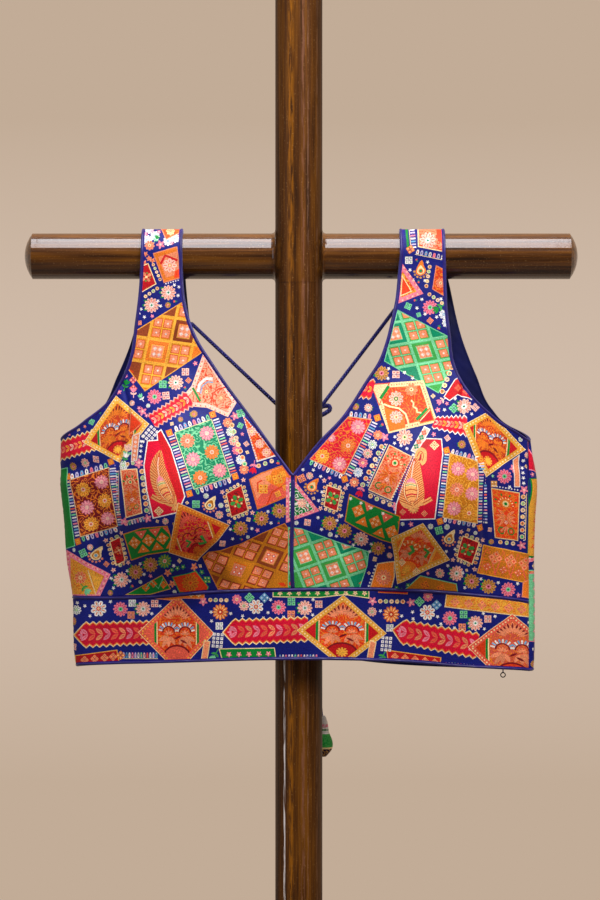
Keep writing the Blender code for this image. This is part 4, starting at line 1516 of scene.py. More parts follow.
@dataclass(frozen=True)
class Lattice(Patch):
    """A lattice of lines with framed squares and small windows in its cells.

    Attributes:
        outline: The patch's outline.
        origin: The middle of the cell (0, 0).
        along: From a cell's middle to the next one's.
        down: From a cell's middle to the one below it.
        cells: What is in which cell.
        line: The lines' yarn.
        ground: The windows' ground.
        frame: The ground of a framed square.
        dark: The ground of a dark cell.
        window: The windows' yarn.
        fleck: The yarn of the flecks in them.
    """

    outline: Corners
    origin: Spot
    along: Spot
    down: Spot
    cells: tuple[tuple[int, int, Cell], ...]
    line: Yarn
    ground: Yarn
    frame: Yarn
    dark: Yarn
    window: Yarn
    fleck: Yarn

    def draw(self, brush: Brush) -> None:
        """Draws it on the sheet.

        Args:
            brush: The brush to draw with.
        """
        inner = brush.on(self.outline, self.line).on(swollen(self.outline, -0.9), self.ground)
        (ax, ay), (dx, dy) = self.along, self.down
        for column, row, cell in self.cells:
            x = self.origin[0] + column * ax + row * dx
            y = self.origin[1] + column * ay + row * dy
            corners = tuple((x + i * ax / 2 + j * dx / 2, y + i * ay / 2 + j * dy / 2) for i, j in QUARTERS)
            frame, width, height = in_quad(inner, corners)
            self.fill(frame, width, height, cell)

    def fill(self, brush: Brush, width: float, height: float, cell: Cell) -> None:
        """Draws one cell.

        Args:
            brush: The brush in the cell's frame.
            width: The cell's width.
            height: The cell's height.
            cell: What is in it.
        """
        u, v = width / 2, height / 2
        brush.box(u, v, width * 1.06, height * 1.06, self.line)
        ground = {
            FRAMED: self.frame,
            FRAMED_DARK: self.dark,
            WINDOWS: self.ground,
            PLAIN: self.frame,
            DARK: self.dark,
        }[cell]
        brush.box(u, v, width * 0.88, height * 0.88, ground)
        if cell is WINDOWS:
            for i, j in QUARTERS:
                spot = brush.moved(u + i * width * 0.215, v + j * height * 0.215)
                self.pane(spot, width * 0.31, height * 0.31, 1)
            brush.box(u, v, width * 0.045, height * 0.88, self.line)
            brush.box(u, v, width * 0.88, height * 0.045, self.line)
        elif cell in (FRAMED, FRAMED_DARK):
            brush.box(u, v - height * 0.27, width * 0.58, height * 0.07, FLAME)
            self.pane(brush.moved(u, v + height * 0.01), width * 0.52, height * 0.52, 2)
        else:
            brush.diamond(width * 0.2, height * 0.1, FLAME, u, v)

    def pane(self, brush: Brush, width: float, height: float, count: int) -> None:
        """Draws one pane with its flecks.

        Args:
            brush: The brush in the pane's frame.
            width: The pane's width.
            height: The pane's height.
            count: How many flecks it has along each side.
        """
        brush.box(0, 0, width * 1.12, height * 1.12, FLAME if count == 1 else self.line)
        brush.box(0, 0, width, height, self.window)
        for i in range(count):
            for j in range(count):
                u = (i - (count - 1) / 2) * width * 0.44
                v = (j - (count - 1) / 2) * height * 0.44
                brush.diamond(width * 0.20, height * 0.20, self.fleck, u, v)
                brush.diamond(width * 0.09, height * 0.09, WHITE, u, v)


@dataclass(frozen=True)
class Medallion(Patch):
    """A square of two peacocks back to back under a fan, standing on a sun.

    Attributes:
        corners: Its top, right, bottom and left corners.
        rim: The rim's yarn.
        bead: The yarn of the beads on it.
        ground: Its ground's yarn.
        corner: The yarn of the triangles in its side corners.
        figure: The peacocks' yarn.
        line: The yarn of the lines round them.
        bar: The yarn of the bars beside the triangles.
        teeth: The yarns of the fans' teeth.
        rim_width: The rim's width.
    """

    corners: Corners
    rim: Yarn
    bead: Yarn
    ground: Yarn
    corner: Yarn
    figure: Yarn
    line: Yarn
    bar: Yarn = GREEN
    teeth: tuple[Yarn, Yarn] = (WHITE, SKY)
    rim_width: float = 4.6

    def draw(self, brush: Brush) -> None:
        """Draws it on the sheet.

        Args:
            brush: The brush to draw with.
        """
        rim = brush.on(swollen(self.corners, 0.6), CREAM).on(self.corners, self.rim)
        draw_dots(rim, self.corners, 0.075, 3.4, 0.95, (self.bead,))
        inner = rim.on(swollen(self.corners, -self.rim_width), self.ground, ORANGE)
        # The frame's top corner is its origin, and its side corners are the ends of its axes.
        frame, width, height = in_quad(inner, self.corners)
        self.figures(frame, width, height)

    def figures(self, brush: Brush, width: float, height: float) -> None:
        """Draws what is inside the rim, in a frame whose diagonal stands upright.

        Args:
            brush: The brush to draw with.
            width: The frame's width.
            height: The frame's height.
        """

        def square(points: Array) -> Array:
            """Points of an upright frame, -1 to 1, as points of the tilted square."""
            u = (points[:, 0] + points[:, 1] + 1) / 2
            v = (points[:, 1] - points[:, 0] + 1) / 2
            return brush.place(np.column_stack((u * width, v * height)))

        upright = Brush(brush.weave, brush.inside, square)
        self.stand(upright)

    def stand(self, brush: Brush) -> None:
        """Draws the corners, the fans, the peacocks and the sun.

        Args:
            brush: The brush to draw with.
        """
        for side in (-1, 1):
            brush.shape(((side * 0.60, -0.5), (side * 1.0, 0.0), (side * 0.60, 0.5)), self.corner)
            brush.box(side * 0.57, 0.0, 0.055, 0.56, self.bar)
            brush.box(side * 0.525, 0.0, 0.028, 0.60, CREAM)
        for k in range(9):
            feather = brush.moved(0, -0.30, (k - 4) * 15 - 180)
            feather.leaf(0.16, 0.34, 0.10, self.figure)
            feather.leaf(0.30, 0.16, 0.05, self.line)
        for side in (-1, 1):
            for k in range(9):
                angle = 195 + k * 19 if side < 0 else -15 - k * 19
                tooth = brush.moved(side * 0.22, -0.02, angle - 90)
                tooth.box(0, 0.225, 0.042, 0.10, self.teeth[k % 2])
            brush.line(arch(side * 0.22, -0.02, 0.155, 0.155, 20), 0.035, self.line)
            for lean in (-70, -35, 0, 35, 70):
                brush.moved(side * 0.22, 0.04, 180 + lean).leaf(0.01, 0.13, 0.045, self.figure)
            for lean, far in ((150, 0.30), (120, 0.36), (95, 0.28), (60, 0.26)):
                turn = lean if side < 0 else 180 - lean
                brush.moved(side * 0.20, 0.04, turn - 90).leaf(0.04, far, 0.11, self.figure)
            brush.moved(side * 0.08, 0.16, -90 + side * 28).leaf(0, 0.22, 0.06, self.line)
        dome = arch(0.0, 0.62, 0.36, 0.30, 18)
        brush.shape((*dome, (0.0, 0.98)), self.corner)
        brush.line(dome, 0.045, self.line)
        for k in range(10):
            brush.moved(0, 0.58, 36 * k).box(0, 0.10, 0.045, 0.07, self.rim)
        brush.disc(0.07, self.rim, 0, 0.58)


@dataclass(frozen=True)
class Braid(Patch):
    """A red band with toothed edges and a chain of leaves along its middle.

    Attributes:
        corners: Its corners: the chain runs from the first two's side to the others'.
        ground: Its ground's yarn.
        teeth: The yarn of its toothed edges.
        leaves: The yarns of the chain.
        pitch: From tooth to tooth.
        pointed: How far its first end runs out to a point.
        back: Whether its leaves point to its first end.
        link: From leaf to leaf.
    """

    corners: Corners
    ground: Yarn = CRIMSON
    teeth: tuple[Yarn, Yarn] = (CREAM, ORANGE)
    leaves: tuple[Yarn, ...] = (BLUSH, PEACH, YELLOW)
    pitch: float = 5.2
    pointed: float = 0.0
    back: bool = True
    link: float = 4.3

    def draw(self, brush: Brush) -> None:
        """Draws it on the sheet.

        Args:
            brush: The brush to draw with.
        """
        frame, length, width = in_quad(brush, self.corners)
        inner = frame
        for k, yarn in enumerate((*self.teeth, self.ground)):
            inner = inner.on(self.outline(length, width, 1.1 * k, 0.8 * k), yarn)
        start = self.pointed * 0.75 + 2.0
        count = max(2, round((length - start) / self.link))
        step = (length - start) / count
        turn = 90 if self.back else -90
        for k in range(count):
            u = start + (k + (0.75 if self.back else 0.25)) * step
            yarn = self.leaves[k % len(self.leaves)]
            for side in (-1, 1):
                leaf = inner.moved(u, width / 2, turn + side * 38 * (1 if self.back else -1))
                leaf.leaf(0.2, self.link * 1.2, self.link * 0.54, yarn)
                leaf.box(0, self.link * 0.54, 0.5, self.link * 0.6, FLAME)
        if self.pointed:
            tip = inner.moved(start, width / 2, 90)
            for lean in (-60, 0, 60):
                tip.moved(0, 0, lean).leaf(0, 4.6, 2.2, self.leaves[0])

    def outline(self, length: float, width: float, inset: float, ahead: float) -> list[Spot]:
        """Gives the band's toothed outline.

        Args:
            length: The frame's length.
            width: The frame's width.
            inset: How far inside the edge it runs.
            ahead: How far inside the point it starts.

        Returns:
            The outline's points.
        """
        count = max(2, round((length - self.pointed) / self.pitch))
        step = (length - self.pointed) / count
        depth = 2.6
        upper, lower = [], []
        for k in range(count):
            u = self.pointed + k * step
            upper.append((u, depth + inset))
            upper.append((u + step / 2, inset))
            lower.append((u, width - depth - inset))
            lower.append((u + step / 2, width - inset))
        upper.append((length, depth + inset))
        lower.append((length, width - depth - inset))
        tip = [(1.6 * ahead, width / 2)] if self.pointed else []
        return [*upper, *lower[::-1], *tip]


@dataclass(frozen=True)
class ColumnPanel(Patch):
    """An upright panel with an arch of teeth, an eye, wings and curls.

    Attributes:
        corners: Its top left, top right, bottom right and bottom left corners.
        ground: Its ground's yarn.
        figure: The wings' yarn.
        line: The lines' yarn.
        green: The yarn of the teeth and the curls.
    """

    corners: Corners
    ground: Yarn
    figure: Yarn
    line: Yarn
    green: Yarn = GREEN

    def draw(self, brush: Brush) -> None:
        """Draws it on the sheet.

        Args:
            brush: The brush to draw with.
        """
        frame, width, height = in_quad(brush.on(swollen(self.corners, 0.9), CREAM), self.corners)
        inner = frame.on(((0, 0), (width, 0), (width, height), (0, height)), self.ground, self.line)
        middle = width / 2
        for k in range(9):
            tooth = inner.moved(middle, height * 0.30, 180 + (k - 4) * 22)
            tooth.leaf(width * 0.36, 3.2, 1.7, self.green if k % 2 else self.line)
            tooth.leaf(width * 0.24, 2.0, 1.2, CREAM)
        inner.disc(width * 0.20, self.line, middle, height * 0.27)
        inner.disc(width * 0.13, CREAM, middle, height * 0.27)
        inner.disc(width * 0.07, self.green, middle, height * 0.27, 6)
        for side in (-1, 1):
            for lean, far in ((38, 0.46), (64, 0.42), (92, 0.36), (128, 0.40)):
                wing = inner.moved(middle, height * 0.54, -side * lean)
                wing.leaf(0.8, width * far, 2.6, self.figure)
                wing.leaf(1.4, width * far * 0.7, 0.9, self.line)
            curl = inner.moved(middle + side * width * 0.22, height * 0.84)
            curl.ring(width * 0.155, width * 0.05, self.green, self.ground)
            curl.disc(width * 0.05, self.figure, sides=6)
            for lean in (20, 50):
                inner.moved(middle, height * 0.74, side * lean).leaf(0, width * 0.34, 1.8, self.figure)
        Star(2.4, BLUSH, self.line).draw(inner.moved(middle, height * 0.66))


@dataclass(frozen=True)
class ZigzagPatch(Patch):
    """Diamonds between two zigzag lines.

    Attributes:
        outline: The patch's outline.
        middles: The diamonds' places.
        size: A diamond's half width and half height.
        turn: How far the diamonds lean, in degrees.
        line: The zigzags' yarn.
        ground: The ground between them.
    """

    outline: Corners
    middles: Corners
    size: Spot
    turn: float
    line: Yarn = GREEN
    ground: Yarn = ORANGE

    def draw(self, brush: Brush) -> None:
        """Draws it on the sheet.

        Args:
            brush: The brush to draw with.
        """
        inner = brush.on(swollen(self.outline, 0.5), OCHRE).on(swollen(self.outline, -0.5), self.line)
        half_width, half_height = self.size
        for x, y in self.middles:
            cell = inner.moved(x, y, self.turn)
            cell.diamond(half_width, half_height, self.ground)
            for u, v in ((-0.3, -0.3), (0.3, -0.3), (0.3, 0.3), (-0.3, 0.3)):
                cell.diamond(half_width * 0.22, half_height * 0.22, CREAM, u * half_width, v * half_height)
                cell.diamond(half_width * 0.10, half_height * 0.10, FLAME, u * half_width, v * half_height)
            beside = cell.moved(half_width * 1.22, 0)
            for side in (-1, 1):
                top = side * half_height * 1.28
                out = half_width * 0.95
                corner = ((0, top * 0.32), (out, top * 1.32), (-out, top * 1.32))
                beside.shape(corner, CORAL if side < 0 else self.ground)
                beside.diamond(half_width * 0.16, half_height * 0.16, CREAM, 0, top * 0.92)


@dataclass(frozen=True)
class SmallSquare(Patch):
    """A small square with a flower in it and a beaded edge.

    Attributes:
        corners: Its corners.
        ground: Its ground's yarn.
        motif: The flower.
        beads: The width of the beaded edge.
    """

    corners: Corners
    ground: Yarn
    motif: Rosette | Flower
    beads: float = 5.4

    def draw(self, brush: Brush) -> None:
        """Draws it on the sheet.

        Args:
            brush: The brush to draw with.
        """
        corners = self.corners if signed_area(np.array(self.corners)) > 0 else self.corners[::-1]
        for start, stop in zip(corners, corners[1:] + corners[:1]):
            draw_border(brush, start, stop, self.beads, BeadRow(4.4, None))
        for x, y in swollen(corners, self.beads * 0.72):
            Star(2.6, BLUSH, CORAL).draw(brush.moved(x, y, x * 9))
        inner = brush.on(swollen(corners, 1.0), CREAM).on(corners, self.ground, MAROON)
        self.motif.draw(inner.moved(*np.mean(corners, axis=0), 20))


@dataclass(frozen=True)
class Strip(Patch):
    """A long patch with a thin edge and a row of small motifs.

    Attributes:
        corners: Its corners, the first two along its length.
        ground: Its ground's yarn.
        edge: The edge's yarn.
        marks: The motifs' yarns.
        pitch: From motif to motif.
    """

    corners: Corners
    ground: Yarn
    edge: Yarn = CREAM
    marks: tuple[Yarn, ...] = ()
    pitch: float = 7.0

    def draw(self, brush: Brush) -> None:
        """Draws it on the sheet.

        Args:
            brush: The brush to draw with.
        """
        inner = brush.on(swollen(self.corners, 0.8), self.edge).on(self.corners, self.ground)
        if not self.marks:
            return
        frame, length, width = in_quad(inner, self.corners)
        count = max(1, round(length / self.pitch))
        for k in range(count):
            spot = frame.moved((k + 0.5) * length / count, width / 2)
            yarn = self.marks[k % len(self.marks)]
            spot.diamond(self.pitch * 0.36, width * 0.34, yarn)
            spot.diamond(self.pitch * 0.14, width * 0.15, CREAM)
            for side in (-1, 1):
                spot.moved(self.pitch * 0.5, 0, side * 40).leaf(0, width * 0.42, 1.2, yarn)


@dataclass(frozen=True)
class Wedge(Patch):
    """A triangle with a dotted border.

    Attributes:
        corners: Its corners.
        ground: Its ground's yarn.
        rim: The border's yarn.
        bead: The yarn of the dots.
        width: The border's width.
        scroll: The yarn of its scrollwork, if it has any.
    """

    corners: Corners
    ground: Yarn
    rim: Yarn = PINK
    bead: Yarn = CREAM
    width: float = 4.0
    scroll: Yarn | None = None

    def draw(self, brush: Brush) -> None:
        """Draws it on the sheet.

        Args:
            brush: The brush to draw with.
        """
        outer = brush.on(self.corners, self.rim)
        draw_dots(outer, self.corners, 0.10, 2.6, 0.75, (CORAL, self.bead))
        outer.shape(swollen(self.corners, -self.width), self.ground, self.scroll)


@dataclass(frozen=True)
class Check:
    """A cluster of small white diamonds."""

    columns: int
    rows: int
    yarn: Yarn = WHITE
    size: float = 1.75

    def draw(self, brush: Brush) -> None:
        """Draws it round the frame's middle.

        Args:
            brush: The brush to draw with.
        """
        pitch = self.size * 2.25
        for i in range(self.columns):
            for j in range(self.rows):
                u = (i - (self.columns - 1) / 2) * pitch
                v = (j - (self.rows - 1) / 2) * pitch
                brush.box(u, v, self.size * 1.6, self.size * 1.6, self.yarn)
                brush.box(u, v, self.size * 0.5, self.size * 0.5, ROYAL)


def rounded(points: Sequence[Row], count: int) -> Array:
    """Runs a smooth line through a row of points.

    Args:
        points: The points.
        count: How many points the line has.

    Returns:
        The line's points.
    """
    rows = np.array(points, float)
    run = running_length(rows)
    at = np.linspace(0, run[-1], count)
    return np.column_stack([hermite(at, run, column) for column in rows.T])


@dataclass(frozen=True)
class FeatherPatch(Patch):
    """A red patch with one large golden paisley.

    Attributes:
        outline: The patch's outline.
        ground: Its ground's yarn.
        shade: The corners and the yarn of its other ground, if it has one.
        spine: The paisley's middle line from its foot to its tip.
        girth: How wide the paisley is.
        flare: Where its side leaf ends.
        mark: The place of the four diamonds.
        belly: How near its foot the paisley is widest.
    """

    outline: Corners
    ground: Yarn
    shade: tuple[Corners, Yarn] | None
    spine: Corners
    girth: float
    flare: Spot
    mark: Spot
    belly: float = 0.42

    def draw(self, brush: Brush) -> None:
        """Draws it on the sheet.

        Args:
            brush: The brush to draw with.
        """
        inner = brush.on(self.outline, WHITE).on(swollen(self.outline, -1.1), self.ground)
        if self.shade is not None:
            inner.shape(*self.shade)
        line = rounded(self.spine, 24)
        share = running_length(line) / running_length(line)[-1]
        blunt = 0.75 * self.belly / (1 - self.belly)
        peak = self.belly**blunt * (1 - self.belly) ** 0.75
        profile = self.girth * np.power(share + 0.01, blunt) * np.power(1 - share, 0.75) / peak
        ways = ways_along(line)
        aside = sideways(ways)
        foot = inner.moved(*self.spine[0], heading(line[0] - line[1]))
        for lean in (-75, -45, -15, 15, 45, 75):
            foot.moved(0, 0, lean).leaf(0.5, 5.5, 2.2, HONEY)
        begin = line[2]
        bend = 0.55 * begin + 0.45 * np.array(self.flare) + (0.0, 2.4)
        leaf = rounded((begin, bend, self.flare), 8)
        inner.line(leaf, 4.4, HONEY)
        inner.line(leaf, 0.9, EMBER)
        body = inner.within(self.drop(inner, line, aside, profile, HONEY))
        for k in range(1, 22):
            ahead = min(k + 3, 23)
            for side in (-1, 1):
                root = line[k] + aside[k] * side * profile[k] * 0.08
                tip = line[ahead] + aside[ahead] * side * profile[ahead]
                body.line((root, tip), 0.8, EMBER)
        body.line(line[12:21], 1.1, BLUSH)
        rows = slice(2, 14)
        within = np.linspace(0.0, 1.0, 12)
        round_profile = 0.62 * self.girth * np.sqrt(within * (1 - within)) * 2
        for part, yarn in ((1.0, EMBER), (0.92, CREAM), (0.80, EMBER), (0.70, HONEY)):
            core = self.drop(body, line[rows], aside[rows], round_profile * part, yarn)
        heart = body.within(core)
        for k, width, yarn in (
            (12, 5.2, PINK), (11, 0.8, BLUSH), (10, 2.2, CREAM), (10, 0.7, GREEN), (8, 1.0, EMBER),
            (6, 1.4, CRIMSON), (5, 0.8, EMBER), (3, 0.8, EMBER),
        ):
            way, bow = aside[k] * self.girth, ways[k] * self.girth * 0.25
            heart.line((line[k] - way - bow, line[k], line[k] + way - bow), width, yarn)
        FourDiamonds(5.2, CREAM, FLAME).draw(inner.moved(*self.mark))

    @staticmethod
    def drop(brush: Brush, line: Array, aside: Array, profile: Array, yarn: Yarn) -> int:
        """Draws a drop round a row of points."""
        rim = np.vstack((line - aside * profile[:, None], (line + aside * profile[:, None])[::-1]))
        return brush.shape(rim, yarn)


Figure = Flower | FourDiamonds | Star | Bud | Paisley | Rosette | Check


@dataclass(frozen=True)
class Placed(Patch):
    """A motif at a place of the sheet, turned by degrees."""

    motif: Figure
    x: float
    y: float
    turn: float = 0.0

    def spots(self) -> Sequence[Spot]:
        """Its middle."""
        return ((self.x, self.y),)

    def draw(self, brush: Brush) -> None:
        """Draws it on the sheet."""
        self.motif.draw(brush.moved(self.x, self.y, self.turn))


@dataclass(frozen=True)
class Trimming(Patch):
    """A border from one place of the sheet to another."""

    start: Spot
    stop: Spot
    width: float
    trim: Trim

    def spots(self) -> Sequence[Spot]:
        """Its two ends."""
        return (self.start, self.stop)

    def draw(self, brush: Brush) -> None:
        """Draws it on the sheet."""
        draw_border(brush, self.start, self.stop, self.width, self.trim)


@dataclass(frozen=True)
class Field(Patch):
    """A plain polygon, with a thin edge if it has a yarn for one."""

    outline: Corners
    yarn: Yarn
    edge: Yarn | None = None
    scroll: Yarn | None = None

    def draw(self, brush: Brush) -> None:
        """Draws it on the sheet.

        Args:
            brush: The brush to draw with.
        """
        if self.edge is not None:
            brush.shape(swollen(self.outline, 0.9), self.edge)
        brush.shape(self.outline, self.yarn, self.scroll)


@dataclass(frozen=True)
class Stroke(Patch):
    """A line of one width, smooth if it is bent."""

    points: Corners
    width: float
    yarn: Yarn
    bent: bool = False

    def draw(self, brush: Brush) -> None:
        """Draws it on the sheet."""
        points = rounded(self.points, 5 * len(self.points)) if self.bent else self.points
        brush.line(points, self.width, self.yarn)


@dataclass(frozen=True)
class Posies(Patch):
    """Motifs of one kind at several places."""

    motif: Figure
    places: tuple[Row, ...]

    def spots(self) -> Sequence[Spot]:
        """Their middles."""
        return [(x, y) for x, y, *_ in self.places]

    def draw(self, brush: Brush) -> None:
        """Draws them on the sheet.

        Args:
            brush: The brush to draw with.
        """
        for x, y, *turn in self.places:
            if brush.near(((x, y),)):
                self.motif.draw(brush.moved(x, y, turn[0] if turn else 0.0))


# Motifs that come back in many places
SPOT_WHITE = Star(1.9, WHITE, WHITE)
SPOT_PINK = Star(2.2, PINK, WHITE)
STAR_PINK = Star(4.6, PINK, BLUSH)
DIAMONDS_GREEN = FourDiamonds(5.6, MINT, GREEN)
DIAMONDS_WHITE = FourDiamonds(5.4, WHITE, TEAL)
DIAMONDS_PINK = FourDiamonds(5.4, BLUSH, CRIMSON)
DIAMONDS_PEACH = FourDiamonds(5.4, PEACH, BROWN)
DAISY_CREAM = Flower(7.6, BLUSH, CORAL, WHITE, TEAL, 12, GREEN, 90.0)
DAISY_GOLD = Flower(7.4, GOLD, BROWN, PINK, MAROON, 12, GREEN, 110.0)
DAISY_PINK = Flower(7.4, PINK, CRIMSON, MINT, GREEN, 12)
DAISY_GREEN = Flower(7.0, LEAF, OCHRE, BLUSH, CORAL, 12)
BLOOM_PEACH = Flower(5.0, PEACH, CORAL, CREAM, RED, 9)
BLOOM_GREEN = Flower(4.8, WHITE, TEAL, MINT, CREAM, 9)
BLOOM_RED = Flower(5.0, BLUSH, RED, MINT, CORAL, 9)
BLOOM_PINK = Flower(5.0, PINK, CRIMSON, CREAM, ORANGE, 9)
BLOOM_SKY = Flower(4.9, WHITE, SKY, SKY, WHITE, 9)
PAISLEY_TEAL = Paisley(16.0, CREAM, OCHRE, SKY, PEACH)
PAISLEY_GOLD = Paisley(16.0, ORANGE, CREAM, TEAL, GOLD)
SMALL_ROSETTE = Rosette(7.6, LEAF, CREAM, ORANGE)

SCATTERED_LARGE = (
    (DAISY_GOLD, 8.6), (DIAMONDS_PINK, 5.4), (BLOOM_RED, 5), (DIAMONDS_GREEN, 5.6), (DAISY_CREAM, 8.6),
    (DIAMONDS_PEACH, 5.4),
)
SCATTERED_SMALL = (
    (STAR_PINK, 4.6), (FourDiamonds(4, CREAM, CORAL), 4), (Bud(4.4, CORAL, LEAF), 4.4), (BLOOM_GREEN, 4.8),
)
SCATTERED_TINY = (
    (SPOT_WHITE, 1.9), (SPOT_PINK, 2.2), (Star(2, MINT, WHITE), 2), (Star(2, PEACH, CORAL), 2),
)

STRAP_LEFT: tuple[Patch, ...] = (
    Posies(BLOOM_SKY, ((149, 229), (155, 236), (147, 240), (168, 241), (175, 238))),
    Posies(SPOT_PINK, ((152, 231), (159, 232), (146, 234), (172, 243), (180, 236))),
    Placed(Bud(4.6, GREEN, MINT), 156, 239, 210),
    Placed(BLOOM_PEACH, 149.6, 245.4),
    Placed(STAR_PINK, 160.5, 244.5, 12),
    Field(((157.5, 219), (186, 219), (184, 230), (166.4, 238.6)), FLAME, PEACH, ORANGE),
    Placed(Flower(4.4, CREAM, ORANGE, CORAL, CREAM, 8), 170.5, 231),
    Posies(Star(3, PEACH, CORAL), ((145.5, 254), (149, 258.5, 30), (144, 262.5, 10), (152.6, 260.5))),
    Trimming((148.6, 264.6), (157, 283), 8.5, BeadRow(4.2, None)),
    Trimming((157, 284), (141.5, 294.6), 7.5, BeadRow(4.4, None)),
    Field(((141.8, 266.5), (147.8, 264.2), (155.4, 283.6), (139.5, 292.8)), RED, CREAM),
    Placed(Rosette(6, PEACH, LEAF, CREAM), 146.4, 277, 10),
    Field(((154, 253.8), (176.4, 247.4), (181, 277), (164.4, 282)), ORANGE, PEACH),
    Field(((158.2, 257), (177, 251.2), (180, 273.4), (166, 277.6)), PEACH),
    Stroke(((160.6, 264), (165.2, 255.4), (177.5, 260.5)), 2.4, RED),
    Field(((175, 271), (180, 268), (181, 277), (174, 278)), FLAME),
    Placed(Flower(7, BLUSH, CORAL, PEACH, CREAM, 8), 169.8, 265.4),
    Trimming((165, 285), (182, 280), 1.8, Spots(2.6, 0.7)),
    Posies(DAISY_CREAM, ((168.4, 292.6), (151.6, 305.2))),
    Posies(SPOT_WHITE, ((158, 301), (174.4, 285), (178, 295.5), (179, 287), (144.4, 317), (160.6, 306),
        (141, 309))),
    Lattice(((182.9, 301.4), (188, 314), (202.6, 352.4), (144.9, 391.4), (122, 361.5), (129, 334.5)),
        (157, 351.5), (22.3, 3.3), (-5, 23.4), ((-2, 0, WINDOWS), (-1, 0, WINDOWS), (0, 0, FRAMED),
        (1, 0, WINDOWS), (2, 0, PLAIN), (-1, -1, DARK), (0, -1, WINDOWS), (1, -1, FRAMED_DARK),
        (2, -1, WINDOWS), (0, -2, DARK), (1, -2, WINDOWS), (2, -2, WINDOWS), (-1, 1, DARK), (0, 1, WINDOWS),
        (1, 1, DARK), (0, 2, WINDOWS)), YELLOW, OCHRE, ORANGE, BROWN, PEACH, BLUSH),
)

